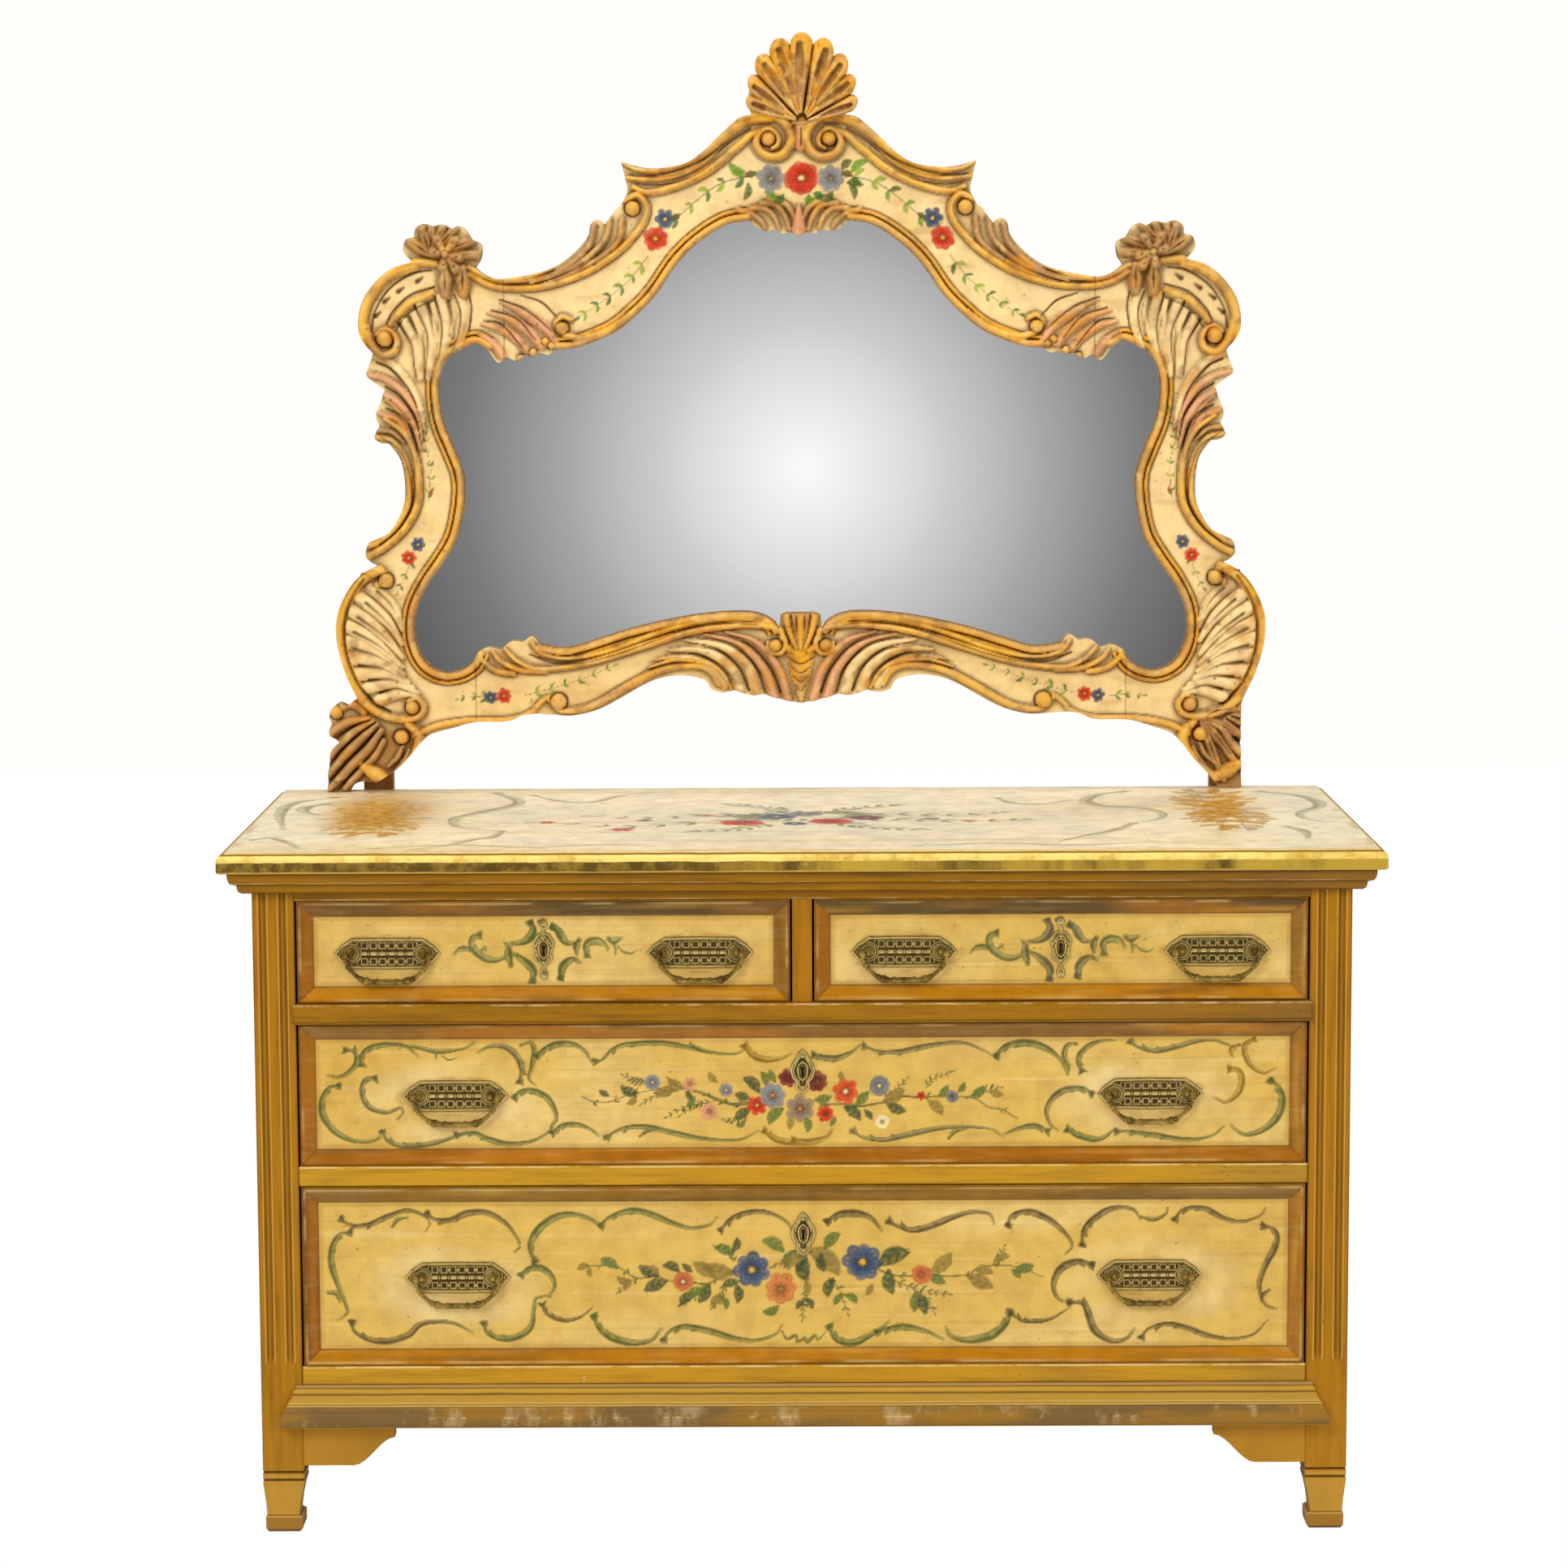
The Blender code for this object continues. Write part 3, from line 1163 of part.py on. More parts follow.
def back_plate_mesh(finish):
    """Return the mesh of a pierced back plate with its two posts, its back at y = 0."""
    half = PLATE_LENGTH / 2
    flat = PLATE_FLAT_LENGTH / 2
    tall = PLATE_HEIGHT / 2
    right = [(0, tall), (flat, PLATE_SHOULDER * tall)]
    right += [(flat + along * (half - flat), up * tall) for along, up in PLATE_END_PROFILE] + [(half, 0.0)]
    upper = right + [(x, -z) for x, z in right[-2:0:-1]] + [(0, -tall)]
    outline = upper + [(-x, z) for x, z in upper[-2:0:-1]]
    holes = []
    side = PLATE_HOLE / 2
    for row in (-PLATE_HOLE_ROW, PLATE_HOLE_ROW):
        for i in range(PLATE_HOLES_PER_ROW):
            x = (i - (PLATE_HOLES_PER_ROW - 1) / 2) * PLATE_HOLE_PITCH
            holes.append([(x - side, row - side), (x + side, row - side), (x + side, row + side),
                          (x - side, row + side)])
    vertices, faces = pierced_plate_data(outline, holes, -PLATE_THICKNESS, 0.0)
    plate = add_mesh("plate_pattern", vertices, faces, finish)
    posts = []
    bores = []
    reach = PIVOT_STANDOFF + PLATE_THICKNESS / 2
    for side_x in (-POST_SPACING / 2, POST_SPACING / 2):
        collar, shoulder = POST_COLLAR_RADII
        low, high = POST_COLLAR_STEPS
        profile = [(-PLATE_THICKNESS / 2, collar), (-PLATE_THICKNESS - low, shoulder),
                   (-PLATE_THICKNESS - high, POST_NECK_RADIUS),
                   (-reach - POST_HEAD_OVERLAP, POST_HEAD_RADIUS),
                   (-reach - POST_HEAD_LENGTH, 0.6 * POST_HEAD_RADIUS)]
        posts.append(turned_data(profile, (side_x, 0.0, 0.0)))
        hole = [(-PIVOT_STANDOFF + v, u) for u, v in circle(PIN_RADIUS + PIN_CLEARANCE, 6)]
        outward = 1 if side_x > 0 else -1
        bores.append(prism_data(hole, "X", side_x - outward * PIN_DEPTH, side_x + outward * PIN_RUN_OUT))
    for index, post in enumerate(posts):
        shape(plate, "UNION", f"plate_post_{index}", [post])
    shape(plate, "DIFFERENCE", "plate_bores", bores)
    mesh = settled_mesh(plate, math.radians(40))
    retire(plate)
    return mesh


def retire(item):
    """Remove a pattern object and the cutters that its modifiers used."""
    tools = [step.object for step in item.modifiers if step.type == "BOOLEAN"]
    for thing in [item] + tools:
        bpy.data.objects.remove(thing, do_unlink=True)


def bail_mesh(finish):
    """Return the mesh of a hanging bail whose pivot line is the x axis."""
    inner = POST_SPACING / 2
    elbow = inner + POST_HEAD_RADIUS + BAIL_RADIUS + BAIL_POST_GAP
    right = [(inner - BAIL_PIN_GAP, 0.0, PIN_RADIUS), (elbow - 0.0024, 0.0, PIN_RADIUS),
             (elbow - 0.0006, -0.0006, 0.8 * BAIL_RADIUS), (elbow + 0.0004, -0.0036, BAIL_RADIUS),
             (elbow - 0.0012, -0.36 * BAIL_DROP, 0.92 * BAIL_RADIUS),
             (elbow - 0.0075, -0.64 * BAIL_DROP, 1.05 * BAIL_RADIUS),
             (BAIL_GRIP_HALF + BAIL_GRIP_SHOULDER, -0.86 * BAIL_DROP, 1.0 * BAIL_RADIUS),
             (BAIL_GRIP_HALF, -0.97 * BAIL_DROP, BAIL_GRIP_RADIUS),
             (0.6 * BAIL_GRIP_HALF, -BAIL_DROP, BAIL_GRIP_RADIUS),
             (0.0, -BAIL_DROP, 1.08 * BAIL_GRIP_RADIUS)]
    stations = right + [(-x, z, r) for x, z, r in right[-2::-1]]
    centres = np.array([(x, z) for x, z, _ in stations])
    ahead = np.gradient(centres, axis=0)
    ahead /= np.linalg.norm(ahead, axis=1)[:, None]
    loops = []
    for (x, z, radius), (ax, az) in zip(stations, ahead):
        loop = []
        for u, v in circle(radius, 6):
            loop.append((x - az * u, v, z + ax * u))
        loops.append(loop)
    vertices, faces = loft_data(loops)
    bail = add_mesh("bail_pattern", vertices, faces, finish, math.radians(50))
    mesh = bail.data
    bpy.data.objects.remove(bail, do_unlink=True)
    return mesh


def place_mesh(name, mesh, place, parent):
    """Make an object that shares a mesh, at a place, under a parent."""
    item = bpy.data.objects.new(name, mesh)
    item.location = place
    bpy.context.scene.collection.objects.link(item)
    adopt(item, parent)
    return item


def build_drawer(name, centre, opening, shelf, tall, pull_offset, wide, finishes, plate, bail):
    """Build one drawer with its dovetailed box, bottom, lock, escutcheon and two pulls."""
    half = opening / 2 - DRAWER_SIDE_GAP
    low = shelf + DRAWER_FRONT_LIFT
    high = shelf + tall - DRAWER_TOP_GAP
    face = Y_FRONT + FRONT_RECESS
    rear = face + FRONT_THICKNESS
    slider = empty(name + "_slide", (centre, face, (low + high) / 2))
    steps = [(0.0, rear), (0.0, face + ARRIS), (ARRIS, face), (FRONT_FLAT_BORDER, face),
             (FRONT_BORDER - FRONT_COVE, face + 0.8 * FRONT_FIELD_DEPTH),
             (FRONT_BORDER, face + FRONT_FIELD_DEPTH)]
    loops = [upright_rect(centre - half + inset, centre + half - inset, low + inset, high - inset, y)
             for inset, y in steps]
    front = loft(name + "_front", loops, finishes["drawer"])
    side_low = shelf + SEAT
    side_high = high - DRAWER_SIDE_DROP
    near = rear - TAIL_LENGTH
    far = rear + DRAWER_DEPTH
    shoulder = rear + SEAT
    bottom_low = side_low + DRAWER_BOTTOM_LIFT
    bottom_high = bottom_low + DRAWER_BOTTOM_THICKNESS
    sockets = []
    walls = []
    for side in (-1, 1):
        outer = centre + side * half
        inner = outer - side * SIDE_THICKNESS
        sockets += tail_sockets(outer + side * EMBED, inner - side * SEAT, near, rear, side_low,
                                side_high)
        outline = side_outline(near, shoulder, far, side_low, side_high)
        walls.append(prism_data(outline, "X", min(outer, inner), max(outer, inner)))
    groove_low = bottom_low - SEAT
    groove_high = bottom_high + SEAT
    front_groove = loft_data(box_loops(
        (centre - half + SIDE_THICKNESS - DRAWER_GROOVE - SEAT, rear - DRAWER_GROOVE - SEAT, groove_low),
        (centre + half - SIDE_THICKNESS + DRAWER_GROOVE + SEAT, rear + EMBED, groove_high)))
    key_z = high + DRAWER_TOP_GAP - KEYHOLE_BELOW_TOP
    lock_w, lock_d, lock_h = LOCK_SIZE
    lock_low = key_z - LOCK_KEY_SHARE * lock_h
    pocket = loft_data(box_loops((centre - lock_w / 2 - SEAT, rear - lock_d - SEAT, lock_low - SEAT),
                                 (centre + lock_w / 2 + SEAT, rear + EMBED, high + EMBED)))
    keyway = prism_data(keyhole_outline(centre, key_z), "Y", face - EMBED, rear - lock_d)
    for index, tool in enumerate((sockets, [front_groove], [pocket], [keyway])):
        shape(front, "DIFFERENCE", f"{name}_front_cut_{index}", tool)
    adopt(front, slider)
    span = (shoulder, far, side_low, side_high)
    build_drawer_box(name, centre, half, walls, span, (groove_low, groove_high), slider, finishes)
    reach = half - SIDE_THICKNESS + DRAWER_GROOVE
    bottom = box(name + "_bottom", (centre - reach, rear - DRAWER_GROOVE, bottom_low),
                 (centre + reach, far, bottom_high), finishes["raw"])
    adopt(bottom, slider)
    build_lock(name, centre, rear, lock_low, high, key_z, slider, finishes)
    plate_z = key_z - ESCUTCHEON_BELOW_KEY
    outline = [(centre + x, plate_z + z) for x, z in full_outline(escutcheon_outline(wide))]
    vertices, faces = pierced_plate_data(outline, [keyhole_outline(centre, key_z)],
                                         Y_FIELD - SEAT - ESCUTCHEON_THICKNESS, Y_FIELD - SEAT)
    escutcheon = add_mesh(name + "_escutcheon", vertices, faces, finishes["brass"])
    adopt(escutcheon, slider)
    pull_z = (low + high) / 2 - PULL_BELOW_CENTRE
    for label, side in (("left", -1), ("right", 1)):
        x = centre + side * pull_offset
        place_mesh(f"{name}_{label}_plate", plate, (x, Y_FIELD - SEAT, pull_z), slider)
        pivot = empty(f"{name}_{label}_bail_pivot", (x, Y_FIELD - SEAT - PIVOT_STANDOFF, pull_z), slider)
        place_mesh(f"{name}_{label}_bail", bail, pivot.location, pivot)


def build_drawer_box(name, centre, half, walls, span, groove, slider, finishes):
    """Build the drawer's two sides and back, with the grooves that hold the bottom."""
    shoulder, far, low, high = span
    vertices, faces = walls[0]
    body = add_mesh(name + "_box", vertices, faces, finishes["raw"])
    shape(body, "UNION", name + "_box_side", [walls[1]])
    behind = far - DRAWER_BACK_INSET
    back = loft_data(box_loops((centre - half + EMBED, behind - SIDE_THICKNESS, groove[1]),
                               (centre + half - EMBED, behind, high - DRAWER_BACK_DROP)))
    shape(body, "UNION", name + "_box_back", [back])
    reach = half - SIDE_THICKNESS + DRAWER_GROOVE + SEAT
    channel = loft_data(box_loops((centre - reach, shoulder - FRONT_THICKNESS, groove[0]),
                                  (centre + reach, far + EMBED, groove[1])))
    shape(body, "DIFFERENCE", name + "_box_groove", [channel])
    adopt(body, slider)


def build_lock(name, centre, rear, low, high, key_z, slider, finishes):
    """Build the half-mortise lock let into the back of a drawer front."""
    width, depth, _ = LOCK_SIZE
    edge = rear - LOCK_SELVEDGE_DEPTH + LOCK_PLATE_FRONT
    section = [(rear - depth, low), (rear, low), (rear, high), (edge, high), (edge, high - LOCK_SELVEDGE),
               (rear - depth, high - LOCK_SELVEDGE)]
    vertices, faces = prism_data(section, "X", centre - width / 2, centre + width / 2)
    lock = add_mesh(name + "_lock", vertices, faces, finishes["steel"])
    adopt(lock, slider)


def build_drawers(finishes):
    """Build the two small drawers over the two wide ones."""
    plate = back_plate_mesh(finishes["brass"])
    bail = bail_mesh(finishes["brass"])
    small_opening = HALF_OPENING - CENTRE_STILE_WIDTH / 2
    small_centre = (HALF_OPENING + CENTRE_STILE_WIDTH / 2) / 2
    full_opening = 2 * HALF_OPENING
    build_drawer("small_left_drawer", -small_centre, small_opening, Z_SMALL, SMALL_OPENING,
                 SMALL_PULL_OFFSET, False, finishes, plate, bail)
    build_drawer("small_right_drawer", small_centre, small_opening, Z_SMALL, SMALL_OPENING,
                 SMALL_PULL_OFFSET, False, finishes, plate, bail)
    build_drawer("middle_drawer", 0.0, full_opening, Z_MIDDLE, MIDDLE_OPENING,
                 WIDE_PULL_OFFSET, True, finishes, plate, bail)
    build_drawer("bottom_drawer", 0.0, full_opening, Z_BOTTOM, BOTTOM_OPENING,
                 WIDE_PULL_OFFSET, True, finishes, plate, bail)


def main():
    """Build the whole piece."""
    clear_scene()
    finishes = {
        "carcass": material("ochre_paint", (0.48, 0.28, 0.06), 0.45),
        "top": material("cream_top", (0.78, 0.66, 0.42), 0.25),
        "drawer": material("yellow_cream_paint", (0.80, 0.60, 0.25), 0.42),
        "cream": material("frame_cream", (0.82, 0.67, 0.38), 0.48),
        "gold": material("shell_ochre", (0.62, 0.38, 0.12), 0.45),
        "raw": material("bare_wood", (0.42, 0.28, 0.15), 0.70),
        "brass": material("aged_brass", (0.42, 0.33, 0.16), 0.40, 0.9),
        "steel": material("lock_iron", (0.22, 0.20, 0.18), 0.50, 0.8),
        "glass": material("mirror_silver", (0.80, 0.80, 0.80), 0.03, 1.0),
    }
    build_top(finishes)
    build_cornice(finishes)
    build_stiles(finishes)
    build_sides(finishes)
    build_dust_boards(finishes)
    build_rails(finishes)
    build_drawers(finishes)
    build_mirror(finishes)


if __name__ == "__main__":
    main()
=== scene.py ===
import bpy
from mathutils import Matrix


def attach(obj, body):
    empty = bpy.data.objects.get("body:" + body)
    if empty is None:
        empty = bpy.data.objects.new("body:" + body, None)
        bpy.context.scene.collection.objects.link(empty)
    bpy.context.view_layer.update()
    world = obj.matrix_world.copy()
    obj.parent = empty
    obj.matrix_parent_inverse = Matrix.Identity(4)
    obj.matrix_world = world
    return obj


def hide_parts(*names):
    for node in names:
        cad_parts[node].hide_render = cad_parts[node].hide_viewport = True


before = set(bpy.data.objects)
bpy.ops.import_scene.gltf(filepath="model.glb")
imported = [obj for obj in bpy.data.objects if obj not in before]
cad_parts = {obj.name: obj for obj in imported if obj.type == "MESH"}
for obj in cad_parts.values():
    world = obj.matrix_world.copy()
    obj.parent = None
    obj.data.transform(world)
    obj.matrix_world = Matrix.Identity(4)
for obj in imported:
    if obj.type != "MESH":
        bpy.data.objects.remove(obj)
"""Looks of a painted chest of drawers with a carved mirror: finishes, carving, paint, light."""
import logging
import math
from dataclasses import dataclass, field
from enum import Enum
from typing import Callable, Iterable, Sequence

import bpy
import numpy as np
from mathutils import Matrix, Vector
from mathutils.geometry import delaunay_2d_cdt

LOG = logging.getLogger("chest")
Point = tuple[float, float]
Colour = tuple[float, float, float]
MM = 1000  # millimetres in a metre
FAR = 1e9
TINY = 1e-6
DOT = 0.05  # length of a stroke that is only a dot, in mm
EVERYWHERE = (slice(None), slice(None))  # the whole of a canvas
SIDES = (-1, 1)
WIDE_HALF = 300  # half width in mm above which a drawer counts as wide
CARVED_ANGLE, CAST_ANGLE, SKIN_ANGLE = (math.radians(angle) for angle in (62, 50, 40))


def linear(red: int, green: int, blue: int) -> Colour:
    """Turn a display colour into a linear one.

    Args:
        red: Red, 0 to 255.
        green: Green, 0 to 255.
        blue: Blue, 0 to 255.

    Returns:
        The linear colour.
    """
    parts = [value / 255 for value in (red, green, blue)]
    return tuple(v / 12.92 if v <= 0.04045 else ((v + 0.055) / 1.055) ** 2.4 for v in parts)


class Paint(Enum):
    """Colours of the painted and carved work, as seen on the front."""

    CREAM = linear(250, 219, 154)
    FIELD = linear(228, 188, 92)
    TOP = linear(252, 238, 198)
    GOLD = linear(236, 172, 46)
    BRONZE = linear(176, 126, 68)
    BROWN = linear(92, 54, 16)
    UMBER = linear(58, 38, 18)
    PINK = linear(222, 152, 108)
    RED = linear(206, 48, 16)
    WINE = linear(120, 30, 26)
    BLUE = linear(60, 80, 108)
    GREY_BLUE = linear(132, 132, 130)
    GREEN = linear(86, 108, 38)
    DEEP_GREEN = linear(54, 72, 36)
    GREY_GREEN = linear(122, 128, 88)
    OLIVE = linear(142, 118, 48)
    ORANGE = linear(206, 118, 58)
    LIGHT = linear(250, 228, 170)
    YELLOW = linear(232, 184, 62)
    DUSK = linear(146, 120, 94)
    SCARLET = linear(218, 72, 24)
    SMOKE = linear(120, 118, 112)
    RUST = linear(196, 104, 56)


class Tone(Enum):
    """Dark, middle and light shade of a painted scroll."""

    GREEN = (linear(72, 76, 30), linear(112, 112, 48), linear(166, 160, 84))
    SAGE = (linear(96, 92, 42), linear(136, 130, 64), linear(188, 178, 104))
    OCHRE = (linear(124, 88, 18), linear(166, 128, 32), linear(210, 176, 84))
    BROWN = (linear(66, 52, 26), linear(108, 90, 44), linear(162, 140, 80))
    FADED = (linear(150, 142, 96), linear(180, 172, 124), linear(216, 206, 160))
    SLATE = (linear(84, 76, 42), linear(120, 110, 60), linear(170, 156, 98))


class Flow:
    """A socket of a node tree that takes part in plain arithmetic."""

    def __init__(self, tree: bpy.types.NodeTree, socket: bpy.types.NodeSocket) -> None:
        """Wrap a socket.

        Args:
            tree: Node tree that the socket belongs to.
            socket: Output socket.
        """
        self.tree = tree
        self.socket = socket

    def maths(self, operation: str, *others: "Flow | float", swap: bool = False) -> "Flow":
        """Add a math node.

        Args:
            operation: Name of the operation.
            others: Further values.
            swap: True to put this value second.

        Returns:
            The result.
        """
        node = self.tree.nodes.new("ShaderNodeMath")
        node.operation = operation
        values = [self, *others]
        if swap:
            values = [others[0], self]
        for index, value in enumerate(values):
            feed(self.tree, value, node.inputs[index])
        return Flow(self.tree, node.outputs[0])

    def __add__(self, other: "Flow | float") -> "Flow":
        """Add."""
        return self.maths("ADD", other)

    def __sub__(self, other: "Flow | float") -> "Flow":
        """Subtract."""
        return self.maths("SUBTRACT", other)

    def __rsub__(self, other: float) -> "Flow":
        """Subtract this from a number."""
        return self.maths("SUBTRACT", other, swap=True)

    def __mul__(self, other: "Flow | float") -> "Flow":
        """Multiply."""
        return self.maths("MULTIPLY", other)

    def __truediv__(self, other: "Flow | float") -> "Flow":
        """Divide."""
        return self.maths("DIVIDE", other)

    def __rtruediv__(self, other: float) -> "Flow":
        """Divide a number by this."""
        return self.maths("DIVIDE", other, swap=True)

    __radd__ = __add__
    __rmul__ = __mul__

    def ramp(self, low: float, high: float, start: float = 0.0, end: float = 1.0) -> "Flow":
        """Ease this value from one range to another.

        Args:
            low: Value that gives start.
            high: Value that gives end.
            start: Result at the low end.
            end: Result at the high end.

        Returns:
            The eased value.
        """
        node = self.tree.nodes.new("ShaderNodeMapRange")
        node.interpolation_type = "SMOOTHSTEP"
        feed(self.tree, self, node.inputs["Value"])
        for name, value in (("From Min", low), ("From Max", high), ("To Min", start),
                            ("To Max", end)):
            node.inputs[name].default_value = value
        return Flow(self.tree, node.outputs["Result"])


def feed(tree: bpy.types.NodeTree, value: "Flow | float | Sequence[float]",
         socket: bpy.types.NodeSocket) -> None:
    """Link a flow to a socket, or set a constant on it.

    Args:
        tree: Node tree.
        value: Flow or constant.
        socket: Input socket.
    """
    if isinstance(value, Flow):
        tree.links.new(value.socket, socket)
    else:
        socket.default_value = value


class Graph:
    """Builder of one node tree."""

    def __init__(self, tree: bpy.types.NodeTree) -> None:
        """Start on a node tree.

        Args:
            tree: Node tree to build in.
        """
        self.tree = tree

    def node(self, kind: str, inputs: dict | None = None, output: str | int = 0,
             **settings: object) -> Flow:
        """Add a node.

        Args:
            kind: Node type.
            inputs: Values or flows by input name or index.
            output: Output to return.
            settings: Properties of the node.

        Returns:
            The chosen output.
        """
        node = self.tree.nodes.new(kind)
        for name, value in settings.items():
            setattr(node, name, value)
        for name, value in (inputs or {}).items():
            feed(self.tree, value, node.inputs[name])
        return Flow(self.tree, node.outputs[output])

    def mix(self, share: "Flow | float", first: "Flow | Colour", second: "Flow | Colour",
            blend: str = "MIX") -> Flow:
        """Mix two colours.

        Args:
            share: Share of the second colour.
            first: First colour.
            second: Second colour.
            blend: Blend type.

        Returns:
            The mixed colour.
        """
        node = self.tree.nodes.new("ShaderNodeMix")
        node.data_type = "RGBA"
        node.blend_type = blend
        feed(self.tree, share, node.inputs[0])
        for value, socket in ((first, node.inputs[6]), (second, node.inputs[7])):
            feed(self.tree, value if isinstance(value, Flow) else (*value, 1.0), socket)
        return Flow(self.tree, node.outputs[2])

    def stretched(self, stretch: Sequence[float]) -> Flow:
        """Return object coordinates scaled on each axis.

        Args:
            stretch: Scale on each axis.

        Returns:
            The coordinates.
        """
        place = self.node("ShaderNodeTexCoord", output="Object")
        return self.node("ShaderNodeVectorMath", {0: place, 1: tuple(stretch)},
                         operation="MULTIPLY")

    def noise(self, scale: float, detail: float = 4.0, rough: float = 0.55,
              stretch: Sequence[float] = (1, 1, 1)) -> Flow:
        """Return noise over the object's own coordinates.

        Args:
            scale: Scale of the noise.
            detail: Octaves.
            rough: Strength of the finer octaves.
            stretch: Scale on each axis.

        Returns:
            Noise from 0 to 1.
        """
        return self.node("ShaderNodeTexNoise", {"Vector": self.stretched(stretch), "Scale": scale,
                                                "Detail": detail, "Roughness": rough}, output="Fac")

    def axis(self, letter: str) -> Flow:
        """Return one of the object's own coordinates.

        Args:
            letter: X, Y or Z.

        Returns:
            The coordinate in metres.
        """
        place = self.node("ShaderNodeTexCoord", output="Object")
        return self.node("ShaderNodeSeparateXYZ", {0: place}, output=letter)

    def bands(self, colour: Flow, value: Flow, rows: Iterable, soft: float = 0.0005) -> Flow:
        """Lay bands of colour over ranges of a value.

        Args:
            colour: Colour below the bands.
            value: Value that the ranges are of.
            rows: Low end, high end, colour and share of each band.
            soft: Distance over which a band's edge fades.

        Returns:
            The colour with its bands.
        """
        for low, high, paint, share in rows:
            inside = value.ramp(low - soft, low + soft) * value.ramp(high - soft, high + soft, 1.0,
                    0.0)
            colour = self.mix(inside * share, colour, paint)
        return colour

    def cells(self, scale: float, feature: str = "DISTANCE_TO_EDGE",
              stretch: Sequence[float] = (1, 1, 1)) -> Flow:
        """Return cell distances over the object's own coordinates.

        Args:
            scale: Scale of the cells.
            feature: Voronoi feature.
            stretch: Scale on each axis.

        Returns:
            The distance.
        """
        return self.node("ShaderNodeTexVoronoi",
                         {"Vector": self.stretched(stretch), "Scale": scale}, output="Distance",
                         feature=feature)


def surface(name: str, colour: "Callable[[Graph], Flow]", rough: "Callable[[Graph], Flow] | float",
            height: "Callable[[Graph], Flow] | None" = None, bump: float = 0.2,
            distance: float = 0.0005, metallic: "Callable[[Graph], Flow] | float" = 0.0,
            coat: "Callable[[Graph], Flow] | float" = 0.0, coat_rough: float = 0.25,
            specular: float = 0.5) -> bpy.types.Material:
    """Build a material.

    Args:
        name: Name of the material.
        colour: Makes the base colour.
        rough: Makes the roughness, or a constant.
        height: Makes the bump's height.
        bump: Strength of the bump.
        distance: Depth of the bump in metres.
        metallic: Makes the metallic share, or a constant.
        coat: Makes the coat's weight, or a constant.
        coat_rough: Roughness of the coat.
        specular: Strength of the plain reflection.

    Returns:
        The material.
    """
    made = bpy.data.materials.new(name)
    made.use_nodes = True
    graph = Graph(made.node_tree)
    shader = made.node_tree.nodes["Principled BSDF"]

    def give(value: "Callable[[Graph], Flow] | float", socket: str) -> None:
        """Feed a socket of the shader from a maker or a constant."""
        feed(graph.tree, value(graph) if callable(value) else value, shader.inputs[socket])

    give(colour, "Base Color")
    give(rough, "Roughness")
    give(metallic, "Metallic")
    give(coat, "Coat Weight")
    shader.inputs["Coat Roughness"].default_value = coat_rough
    shader.inputs["Specular IOR Level"].default_value = specular
    if height is not None:
        raised = graph.node("ShaderNodeBump", {"Height": height(graph), "Strength": bump,
                                               "Distance": distance}, output="Normal")
        feed(graph.tree, raised, shader.inputs["Normal"])
    return made


